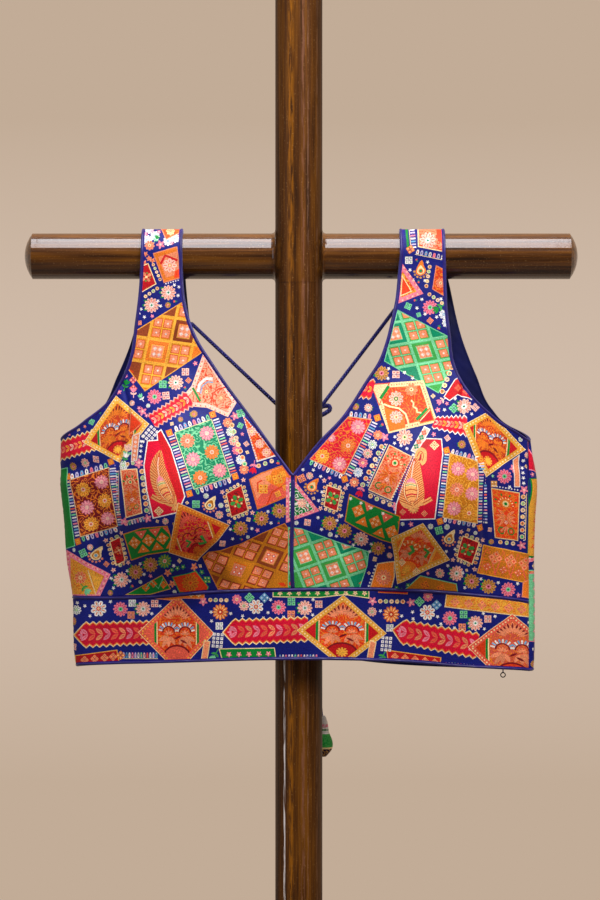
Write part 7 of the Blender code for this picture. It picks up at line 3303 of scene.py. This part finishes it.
BAND_CREASES: tuple[Crease, ...] = (
    Crease((118, 596), (122, 668), -0.0015, 0.007), Crease((150, 596), (146, 668), 0.0014, 0.008),
    Crease((226, 596), (232, 664), -0.0015, 0.007), Crease((286, 596), (280, 664), 0.0012, 0.009),
    Crease((322, 596), (330, 664), -0.0014, 0.007), Crease((398, 596), (392, 668), -0.0015, 0.007),
    Crease((440, 600), (446, 672), 0.0014, 0.008), Crease((494, 604), (488, 676), -0.0017, 0.007),
)
BACK_CREASES: tuple[Crease, ...] = (
    Crease((120, 560), (210, 610), -0.0027, 0.009), Crease((96, 520), (180, 560), 0.0020, 0.009),
    Crease((470, 540), (392, 600), -0.0027, 0.009), Crease((510, 590), (420, 640), 0.0020, 0.008),
    Crease((250, 540), (244, 660), -0.0020, 0.007), Crease((352, 536), (360, 664), -0.0020, 0.008),
    Crease((140, 440), (190, 520), -0.0017, 0.007), Crease((456, 430), (420, 520), -0.0017, 0.007),
)


class Relief:
    """How far a panel's cloth stands out of the form: it sinks at its edges, and creases run over it."""

    PIPED = (0.0005, 0.0012)  # how deep the cloth sinks at a piped edge, and over what width
    CORDED = (0.0006, 0.0014)  # the same at a corded seam
    SEWN = (0.0010, 0.0018)  # the same at a plain seam
    PUFF = (0.0004, 0.0046, 0.0020)  # how high it stands beside a plain seam, how far off and how wide

    def __init__(self, border: Border, creases: Sequence[Crease], drawing: Drawing) -> None:
        """Takes what shapes the panel.

        Args:
            border: The panel's edges, as rows of places and how each is made up.
            creases: Its creases.
            drawing: The sheet that they are laid out on.
        """
        self.lines = [(CLOTH.unroll(places), edge) for places, edge in border if edge is not Edge.BUTTED]
        self.creases = creases
        self.drawing = drawing

    def seams(self, flat: Array) -> list[tuple[Edge, Array]]:
        """For each seam how it is made up, and the way to each point of flat cloth from it."""
        return [(edge, flat - nearest_on(flat, line)) for line, edge in self.lines]

    def at(self, flat: Array, seams: list[tuple[Edge, Array]], shift: Row = (0.0, 0.0)) -> Array:
        """The cloth's rise beside points of flat cloth.

        Args:
            flat: The points.
            seams: What seams() gives for them.
            shift: How far beside them, with the seams taken as straight.

        Returns:
            The rise in metres.
        """
        rise = np.zeros(len(flat))
        for edge, ways in seams:
            far = np.linalg.norm(ways, axis=1)
            gap = np.abs(far + (ways @ np.array(shift)) / np.maximum(far, 1e-6))
            if edge is Edge.PIPED:
                deep, wide = self.PIPED
                rise -= deep * np.clip(1 - gap / wide, 0, 1)
                continue
            deep, wide = self.CORDED if edge is Edge.CORDED else self.SEWN
            rise -= deep * np.exp(-((gap / wide) ** 2))
            if edge is Edge.PLAIN:
                high, off, wide = self.PUFF
                rise += high * np.exp(-(((gap - off) / wide) ** 2))
        for crease in self.creases:
            rise += crease.at(flat + shift, self.drawing)
        return rise


@dataclass
class Panel:
    """One cut piece of patterned cloth.

    Attributes:
        name: The piece's name.
        border: Its edges in order, anticlockwise on flat cloth.
        painter: What draws its pattern.
        seed: The start of its random tones.
        creases: Its folds.
    """

    name: str
    border: Border
    painter: Painter
    seed: int
    creases: Sequence[Crease] = ()

    def outline(self) -> Array:
        """Joins the panel's edges.

        Returns:
            The outline's points on flat cloth, in metres.
        """
        rows = np.vstack([CLOTH.unroll(places)[:-1] for places, _ in self.border])
        keep = np.linalg.norm(rows - np.roll(rows, 1, axis=0), axis=1) > 1e-5
        rows = rows[keep]
        return rows if signed_area(rows) > 0 else rows[::-1]

    def lift(self, flat: Array, relief: Relief) -> Array:
        """Points of flat cloth as points of space."""
        places = CLOTH.roll(flat)
        return FORM.at(places) + FORM.outward(places) * relief.at(flat, relief.seams(flat))[:, None]

    def lift_with_normals(self, flat: Array, relief: Relief) -> tuple[Array, Array]:
        """Lays flat cloth on the form.

        Args:
            flat: Points of flat cloth, in metres.
            relief: What shapes the cloth.

        Returns:
            The points in space and the cloth's normals there.
        """
        seams = relief.seams(flat)
        outward = FORM.outward(CLOTH.roll(flat))
        step = 2e-4
        lifted = [
            FORM.at(CLOTH.roll(flat + shift)) + outward * relief.at(flat, seams, shift)[:, None]
            for shift in ((step, 0), (-step, 0), (0, step), (0, -step), (0, 0))
        ]
        right, left, upper, lower, middle = lifted
        return middle, unit(np.cross(right - left, upper - lower))

    def build(self, wardrobe: Wardrobe) -> tuple[bpy.types.Object, bpy.types.Object, float]:
        """Makes the cloth and its lining.

        Args:
            wardrobe: The finishes.

        Returns:
            The cloth, the lining and the cloth's flat area.
        """
        outline = self.outline()
        weave = Weave(outline, NAVY, self.seed)
        self.painter.paint(weave)
        self.bind(weave)
        relief = Relief(self.border, self.creases, self.painter.drawing)
        flat, triangles, yarns, scrolls = weave.cut()
        points, normals = self.lift_with_normals(flat, relief)
        cloth = add_piece(self.name, points, triangles, wardrobe.brocade, Slot.BROCADE, flat, normals)
        color_faces(cloth, yarns, scrolls)
        lining = self.line(outline, relief, wardrobe)
        return cloth, lining, abs(signed_area(outline))

    def bind(self, weave: Weave) -> None:
        """Draws the plain binding that shows beside the piping.

        Args:
            weave: The panel's pattern.
        """
        for places, edge in self.border:
            width = BINDING_WIDTHS.get(edge)
            if width is None:
                continue
            flat = CLOTH.unroll(places)
            aside = sideways(ways_along(flat)) * width
            middle = len(flat) // 2
            inward = inside_outline((flat + aside)[middle : middle + 1] / MM, weave.outline)[0]
            inner = flat + (aside if inward else -aside)
            weave.add(np.vstack((flat, inner[::-1])), BINDING)

    def line(self, outline: Array, relief: Relief, wardrobe: Wardrobe) -> bpy.types.Object:
        """Makes the lining, joined to the cloth's edge by its turned rim.

        Args:
            outline: The panel's outline on flat cloth.
            relief: What shapes the cloth.
            wardrobe: The finishes.

        Returns:
            The lining.
        """
        plain = Weave(outline, NAVY, self.seed)
        flat, triangles, _, _ = plain.cut()
        places = CLOTH.roll(flat)
        wall = FORM.wall(flat[:, 1])[:, None]
        inner = self.lift(flat, relief) - FORM.outward(places) * wall
        rim = plain.shapes[0].outline * MM
        rim_places = CLOTH.roll(rim)
        outer_rim = self.lift(rim, relief)
        inner_rim = outer_rim - FORM.outward(rim_places) * FORM.wall(rim[:, 1])[:, None]
        count, base = len(rim), len(inner)
        k = np.arange(count)
        after = (k + 1) % count
        strip = np.stack((base + k, base + count + k, base + count + after, base + after), axis=1)
        points = np.vstack((inner, outer_rim, inner_rim))
        faces = triangles[:, ::-1].tolist() + strip[:, ::-1].tolist()
        flats = np.vstack((flat, rim, rim + (0, 0.002)))
        return add_piece(f"{self.name}_lining", points, faces, wardrobe.lining, Slot.BROCADE, flats)


@dataclass
class Blouse:
    """The choli: two cupped fronts with their straps, two side pieces, a band and a back, piped all round.

    Attributes:
        piping_inset: How far inside the edge the piping's middle line runs.
        centre_foot: How far above the underbust seam the middle piping starts.
        centre_head: How far below the neck it ends.
    """

    piping_inset: float = 0.0012
    centre_foot: float = 0.0027
    centre_head: float = 0.0060

    def panels(self) -> Iterable[tuple[Panel, tuple[str, ...]]]:
        """Cuts the panels.

        Returns:
            Each panel with the nodes that it stands for.
        """
        s = SEAMS
        front, behind = Drawing(behind=False), Drawing(behind=True)
        charts = (STRAP_LEFT, STRAP_RIGHT, BUST_LEFT, BUST_RIGHT)
        bust = Painter(front, tuple((chart, 0, 0, 0) for chart in charts))
        band = Painter(front, ((BAND, 0, 0, 0),), 5.0)
        back = Painter(
            behind,
            (
                (BAND, 0, 24, 0), (STRAP_LEFT, -4, 16, 0), (STRAP_RIGHT, 6, 14, 0),
                (BUST_LEFT, 240, 38, 0), (BUST_RIGHT, -236, 42, 0), (RIGHT_EDGE, 0, 0, 0),
            ),
        )
        piped, plain, corded, butted = Edge
        top = evenly(np.array((s.armhole_right[2][-1], s.neck_right[0])))
        border = (
            (s.underbust[2], corded), (s.princess_right, plain), (s.armhole_right[2], piped), (top, butted),
            (s.neck_right, piped), (s.centre[::-1], corded),
        )
        yield Panel("cup_cloth_right", border, bust, 11, FRONT_CREASES), ("front_centre_right",)
        top = evenly(np.array((s.neck_left[-1], s.armhole_left[0][0])))
        border = (
            (s.underbust[1], corded), (s.centre, corded), (s.neck_left, piped), (top, butted),
            (s.armhole_left[0], piped), (s.princess_left[::-1], plain),
        )
        yield Panel("cup_cloth_left", border, bust, 12, FRONT_CREASES), ("front_centre_left",)
        border = (
            (s.underbust[3], corded), (s.right_side, plain), (s.armhole_right[1], piped),
            (s.princess_right[::-1], plain),
        )
        yield Panel("side_cloth_right", border, bust, 13, FRONT_CREASES), ("front_side_right",)
        border = (
            (s.underbust[0], corded), (s.princess_left, plain), (s.armhole_left[1], piped),
            (s.left_side[::-1], plain),
        )
        yield Panel("side_cloth_left", border, bust, 14, FRONT_CREASES), ("front_side_left",)
        border = (
            (s.hem_front, piped), (s.right_band, plain), (joined(*s.underbust)[::-1], corded),
            (s.left_band[::-1], plain),
        )
        yield Panel("band_cloth", border, band, 15, BAND_CREASES), ("band_front",)
        middle = evenly(np.array((s.hem_back[0][-1], s.neck_back_right[0])))
        top = evenly(np.array((s.neck_back_right[-1], s.armhole_right[0][0])))
        border = (
            (s.hem_back[0], piped), (middle, butted), (s.neck_back_right, piped), (top, butted),
            (s.armhole_right[0], piped), (joined(s.right_band, s.right_side)[::-1], plain),
        )
        yield Panel("back_cloth_right", border, back, 16, BACK_CREASES), ("back",)
        armhole = turned(s.armhole_left[2], 1)
        top = evenly(np.array((armhole[-1], s.neck_back_left[0])))
        border = (
            (s.hem_back[1], piped), (turned(joined(s.left_band, s.left_side), 1), plain), (armhole, piped),
            (top, butted), (s.neck_back_left, piped), (middle[::-1], butted),
        )
        yield Panel("back_cloth_left", border, back, 17, BACK_CREASES), ("back",)

    def build(self, wardrobe: Wardrobe) -> None:
        """Makes every panel and all the piping.

        Args:
            wardrobe: The finishes.
        """
        for panel, nodes in self.panels():
            cloth, lining, area = panel.build(wardrobe)
            outline = panel.outline()
            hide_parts(*nodes)
        self.pipe(wardrobe)

    def edge_line(self, places: Array, inset: float, closed: bool = False) -> Array:
        """Runs a line beside an edge.

        Args:
            places: The edge's places on the form.
            inset: How far inside the edge it runs.
            closed: Whether it meets itself.

        Returns:
            The line's points in space.
        """
        flat = CLOTH.unroll(places)
        inner = CLOTH.roll(flat + sideways(ways_along(flat, closed)) * inset)
        return FORM.at(inner) + FORM.outward(inner) * PIPING_DEPTH

    def pipe(self, wardrobe: Wardrobe) -> None:
        """Makes the piping of the neck, the armholes, the hem, the middle seam and the underbust seam.

        Args:
            wardrobe: The finishes.
        """
        s = SEAMS
        ahead = self.edge_line(joined(s.neck_right, s.neck_left), self.piping_inset)
        behind = self.edge_line(joined(s.neck_back_left, s.neck_back_right), self.piping_inset)
        neck = np.vstack((ahead, behind[1:-1]))
        tubes = [("neck_welt", "neck_piping", neck, True)]
        for side, pieces in (("right", s.armhole_right), ("left", s.armhole_left)):
            line = self.edge_line(joined(*pieces), self.piping_inset)[:-1]
            tubes.append((f"armhole_welt_{side}", f"armhole_piping_{side}", line, True))
        hem = self.edge_line(joined(s.hem_front, *s.hem_back), self.piping_inset)[:-1]
        tubes.append(("hem_welt", "hem_piping", hem, True))
        under = self.edge_line(joined(*s.underbust), 0.0)
        tubes.append(("underbust_welt", "underbust_piping", under[1:-1], False))
        low, high = s.centre[0], s.centre[-1]
        ends = ((low[0], low[1] + self.centre_foot), (high[0], high[1] - self.centre_head))
        tubes.append(("middle_welt", "centre_piping", self.edge_line(evenly(np.array(ends)), 0.0), False))
        for name, node, line, closed in tubes:
            tube = add_tube(name, line, PIPING_RADIUS, wardrobe.piping, Slot.PIPING, 10, closed)
            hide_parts(node)


@dataclass
class Ties:
    """The two cords from the back straps, their knot and the two tails with tassels.

    Attributes:
        radius: The cord's radius.
        knot: The knot's middle.
        size: The knot's width, depth and height.
        left: Where the left cord leaves its strap.
        right: Where the right cord leaves its strap.
        bow: The way of the short loop that the knot holds.
        tassels: Each tassel's top.
        profile: A tassel's radii and how far below its top they are.
        bands: The yarns of a tassel's bands, each with how far below the top it ends and its scrollwork.
    """

    radius: float = 0.00165
    knot: Row = (0.0040, 0.0300, 0.4255)
    size: Row = (0.0115, 0.0105, 0.0125)
    left: Row = (-0.0921, 0.0254, 0.5165)
    right: Row = (0.0899, 0.0267, 0.5385)
    bow: tuple[Row, ...] = (
        (0.0085, 0.0300, 0.4380), (0.0150, 0.0305, 0.4425), (0.0220, 0.0308, 0.4458),
        (0.0262, 0.0308, 0.4456), (0.0268, 0.0306, 0.4430), (0.0235, 0.0302, 0.4402),
        (0.0165, 0.0298, 0.4366), (0.0095, 0.0296, 0.4335),
    )
    tassels: tuple[tuple[str, float, float, float], ...] = (
        ("left", 0.0010, 0.0375, 0.2040), ("right", 0.0205, 0.0365, 0.1790),
    )
    profile: tuple[Row, ...] = (
        (0.0022, 0.0000), (0.0034, 0.0030), (0.0048, 0.0090), (0.0056, 0.0145), (0.0078, 0.0195),
        (0.0088, 0.0240), (0.0080, 0.0290), (0.0050, 0.0330), (0.0030, 0.0352),
    )
    bands: tuple[tuple[float, Yarn, Yarn | None], ...] = (
        (0.0075, WHITE, None), (0.0095, PINK, WHITE), (0.0110, WHITE, None), (0.0130, GREEN, WHITE),
        (0.0155, WHITE, None), (0.0270, LEAF, GREEN), (0.0282, CREAM, None), (1.0000, INK, GOLD),
    )
    spread: float = 0.0030
    waist: Row = (0.0345, 0.3600)
    below: float = 0.2700

    def build(self, wardrobe: Wardrobe) -> None:
        """Makes the cords, the knot and the tassels.

        Args:
            wardrobe: The finishes.
        """
        knot, half = np.array(self.knot), np.array(self.size) / 2
        lump = self.tie_knot(wardrobe)
        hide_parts("dori_knot")
        bow = add_tube("cord_bow", rounded(self.bow, 40), self.radius * 1.2, wardrobe.cord, Slot.CORD, 12)
        for side, end in (("left", self.left), ("right", self.right)):
            end = np.array(end)
            away = unit(end - knot)
            start = knot + away * (1 / np.linalg.norm(away / half) + 0.0012)
            line = end + (start - end) * np.linspace(0, 1, 60)[:, None]
            cord = add_tube(f"cord_{side}", line, self.radius, wardrobe.cord, Slot.CORD, 12)
            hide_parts(f"dori_{side}")
            tuple(end)
        for side, x, y, top in self.tassels:
            lean = self.spread if side == "right" else -self.spread
            begin = knot + (lean, self.spread / 2, -half[2] - 0.0006)
            across = x - begin[0]
            route = (
                begin, begin + (lean * 0.4, self.spread / 2, -0.020),
                (begin[0] + across * 0.30, *self.waist), (begin[0] + across * 0.75, y - 0.0003, self.below),
                (x - 0.0040, y, top + 0.030), (x - 0.0012, y, top + 0.0003),
            )
            line = rounded(route, 120)
            tail = add_tube(f"tail_cord_{side}", line, self.radius, wardrobe.cord, Slot.CORD, 12)
            tassel = self.add_tassel(side, np.array((x, y, top)), wardrobe)
            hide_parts(f"tail_{side}")
            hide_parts(f"latkan_{side}")
            tuple(line[0])
            float(running_length(line)[-1])

    def tie_knot(self, wardrobe: Wardrobe) -> bpy.types.Object:
        """Makes the knot, wound of the same cord.

        Args:
            wardrobe: The finishes.

        Returns:
            The knot.
        """
        knot, half = np.array(self.knot), np.array(self.size) / 2
        turns = np.linspace(0, 1, 150)
        angle = 2 * math.pi * turns
        reach = 1 - self.radius / half.mean()
        x = half[0] * reach * np.sin(2 * angle) * 0.85
        y = half[1] * reach * np.cos(3 * angle)
        line = np.column_stack((x, y, half[2] * reach * np.sin(3 * angle + 0.6) * 0.9))
        return add_tube("cord_knot", knot + line[:-1], self.radius, wardrobe.cord, Slot.CORD, 12, True)

    def add_tassel(self, side: str, top: Array, wardrobe: Wardrobe) -> bpy.types.Object:
        """Makes one padded cloth tassel, turned from its profile.

        Args:
            side: Which one, left or right.
            top: Its top.
            wardrobe: The finishes.

        Returns:
            The tassel.
        """
        radii, drops = np.array(self.profile).T
        at = np.linspace(0, drops[-1], 26)
        smooth = hermite(at, drops, radii)
        sides = 24
        angles = np.arange(sides) * 2 * math.pi / sides
        rim = smooth[:, None]
        drop = -at[:, None] * np.ones(sides)
        rings = np.stack((rim * np.cos(angles), rim * np.sin(angles), drop), axis=-1)
        points = np.vstack(((rings + top).reshape(-1, 3), (top, top - (0, 0, drops[-1]))))
        faces = []
        for row in range(len(at) - 1):
            for k in range(sides):
                here, after = row * sides + k, row * sides + (k + 1) % sides
                faces.append((here + sides, after + sides, after, here))
        last = (len(at) - 1) * sides
        for k in range(sides):
            beside = (k + 1) % sides
            faces.append((k, beside, len(points) - 2))
            faces.append((last + beside, last + k, len(points) - 1))
        round_it = angles[None] * 0.008 * np.ones((len(at), 1))
        flat = np.vstack((np.stack((round_it, drop), -1).reshape(-1, 2), np.zeros((2, 2))))
        tassel = add_piece(f"tassel_{side}", points, faces, wardrobe.brocade, Slot.TASSEL, flat)
        yarns, scrolls = [], []
        for corners in faces:
            drop = -np.mean([points[corner][2] - top[2] for corner in corners])
            yarn, scroll = next(pair for end, *pair in self.bands if drop < end)
            yarns.append(yarn_color(yarn))
            scrolls.append(yarn_color(scroll))
        color_faces(tassel, np.array(yarns), np.array(scrolls))
        return tassel


@dataclass
class CrossRail:
    """The varnished post and the round rail across it."""

    def dress(self, frame: dict, wardrobe: Wardrobe) -> None:
        """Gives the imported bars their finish.

        Args:
            frame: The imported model.
            wardrobe: The finishes.
        """
        for node, material in (("post", wardrobe.post_wood), ("rail", wardrobe.rail_wood)):
            for slot in frame["nodes"][node].material_slots:
                slot.material = material
        for slot in frame["nodes"]["hook_eye"].material_slots:
            slot.material = wardrobe.metal
        eye = np.array([corner[:] for corner in frame["nodes"]["hook_eye"].bound_box])
        x, y = eye[:, :2].mean(axis=0)
        z = eye[:, 2].max() + np.linspace(-0.0006, 0.0042, 8)
        thread = np.column_stack((np.full(8, x), np.full(8, y), z))
        add_tube("eye_thread", thread, 0.0005, wardrobe.cord, Slot.CORD, 8)
        self.cover_joint(wardrobe)

    def cover_joint(self, wardrobe: Wardrobe) -> None:
        """Makes the filled front of the joint, where the post's wood runs on over the rail.

        Args:
            wardrobe: The finishes.
        """
        across = np.linspace(-1.0, 1.0, 33) * (POST_RADIUS - 0.0001)
        collar = RAIL_RADIUS + RAIL_FLARE
        high = RAIL_HEIGHT + np.linspace(-1.0, 1.0, 41) * collar
        x, z = (grid.ravel() for grid in np.meshgrid(across, high))
        post = np.sqrt(POST_RADIUS**2 - x**2)
        rail = np.sqrt(np.maximum(collar**2 - (z - RAIL_HEIGHT) ** 2, 0.0)) - RAIL_SETBACK
        y = -np.maximum(post, rail) - 0.0003
        columns = len(across)
        faces = [
            (row * columns + k, row * columns + k + 1, (row + 1) * columns + k + 1, (row + 1) * columns + k)
            for row in range(len(high) - 1)
            for k in range(columns - 1)
        ]
        points = np.column_stack((x, y, z))
        normals = np.column_stack((x, -post, np.zeros(len(x)))) / POST_RADIUS
        add_piece("joint_front", points, faces, wardrobe.post_wood, Slot.WOOD, None, normals)


@dataclass
class Lamp:
    """One soft light.

    Attributes:
        name: The lamp's name.
        place: Where it hangs.
        aim: What it points at.
        size: Its width and height.
        power: Its power in watts.
        color: Its colour.
    """

    name: str
    place: Row
    aim: Row
    size: tuple[float, float]
    power: float
    color: Row = (255, 255, 255)

    def hang(self) -> None:
        """Makes the lamp."""
        data = bpy.data.lights.new(self.name, "AREA")
        data.shape = "RECTANGLE"
        data.size, data.size_y = self.size
        data.energy = self.power
        data.color = linear(self.color)
        lamp = bpy.data.objects.new(self.name, data)
        lamp.location = self.place
        lamp.rotation_mode = "QUATERNION"
        way = Vector(self.aim) - Vector(self.place)
        lamp.rotation_quaternion = way.to_track_quat("-Z", "Y")
        bpy.context.scene.collection.objects.link(lamp)


@dataclass
class Studio:
    """The floor, the lights, the air's colour and the camera.

    Attributes:
        lens: The camera's lens in millimetres.
        eye: Where the camera is.
        wall: The colour behind the blouse, at its height.
        wall_far: The colour above and below it.
        room: How bright the room before it is, beside the wall.
        floor: The floor's lowest and highest corners.
    """

    lens: float = 120.0
    eye: Row = (0.001, -2.55, 0.408)
    wall: Row = (208, 187, 169)
    wall_far: Row = (194, 172, 151)
    room: float = 0.13
    floor: tuple[Row, Row] = ((-0.80, -1.30), (0.80, 0.15))
    lamps: tuple[Lamp, ...] = (
        Lamp("overhead_softbox", (0.0, -0.57, 2.06), (0.0, 0.0, 0.57), (0.8, 1.9), 49, (250, 250, 255)),
        Lamp("key_softbox", (1.00, -1.25, 1.75), (0.0, 0.0, 0.42), (0.7, 0.9), 26, (252, 248, 246)),
        Lamp("fill_softbox", (-1.60, -1.20, 0.80), (0.0, 0.0, 0.42), (1.0, 1.4), 7, (236, 242, 255)),
    )

    def build(self) -> None:
        """Sets up the studio."""
        bpy.context.scene.view_settings.view_transform = "Standard"
        self.air()
        for lamp in self.lamps:
            lamp.hang()
        (left, near), (right, far) = self.floor
        mesh = bpy.data.meshes.new("floor")
        corners = ((left, near, 0), (right, near, 0), (right, far, 0), (left, far, 0))
        mesh.from_pydata(corners, [], [(0, 1, 2, 3)])
        mesh.materials.append(Plain("grey_floor", (112, 103, 94), 0.8, grain=40.0).make())
        floor = bpy.data.objects.new("floor", mesh)
        bpy.context.scene.collection.objects.link(floor)
        floor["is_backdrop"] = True
        data = bpy.data.cameras.new("camera")
        data.lens = self.lens
        data.sensor_width = 36.0
        data.clip_end = 50.0
        camera = bpy.data.objects.new("camera", data)
        camera.location = self.eye
        camera.rotation_euler = (math.pi / 2, 0, 0)
        bpy.context.scene.collection.objects.link(camera)
        bpy.context.scene.camera = camera

    def air(self) -> None:
        """Makes the air: a pale wall behind the blouse that dims up and down, and a darker room before it."""
        world = bpy.data.worlds.new("studio_air")
        world.use_nodes = True
        nodes, links = world.node_tree.nodes, world.node_tree.links
        way = nodes.new("ShaderNodeSeparateXYZ")
        links.new(nodes.new("ShaderNodeTexCoord").outputs["Generated"], way.inputs[0])
        rise = nodes.new("ShaderNodeMath")
        rise.operation = "MULTIPLY"
        links.new(way.outputs["Z"], rise.inputs[0])
        links.new(way.outputs["Z"], rise.inputs[1])
        far = nodes.new("ShaderNodeMapRange")
        far.inputs["From Max"].default_value = 0.012
        links.new(rise.outputs[0], far.inputs["Value"])
        wall = nodes.new("ShaderNodeMix")
        wall.data_type = "RGBA"
        wall.inputs["A"].default_value = rgba(self.wall)
        wall.inputs["B"].default_value = rgba(self.wall_far)
        links.new(far.outputs[0], wall.inputs["Factor"])
        light = nodes.new("ShaderNodeMapRange")
        light.inputs["From Min"].default_value = -0.5
        light.inputs["From Max"].default_value = 0.5
        light.inputs["To Min"].default_value = self.room
        links.new(way.outputs["Y"], light.inputs["Value"])
        background = nodes["Background"]
        links.new(wall.outputs["Result"], background.inputs["Color"])
        links.new(light.outputs[0], background.inputs["Strength"])
        bpy.context.scene.world = world


def corners() -> list[list[float]]:
    """The lowest and highest corners of the whole object."""
    return [[float(value) for value in corner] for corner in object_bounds()]


def main() -> None:
    """Builds the blouse on its rail."""
    logging.basicConfig(level=logging.INFO, format="%(message)s")
    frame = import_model()
    Studio().build()
    wardrobe = Wardrobe()
    CrossRail().dress(frame, wardrobe)
    Blouse().build(wardrobe)
    Ties().build(wardrobe)
    bpy.context.view_layer.update()


if __name__ == "__main__":
    main()
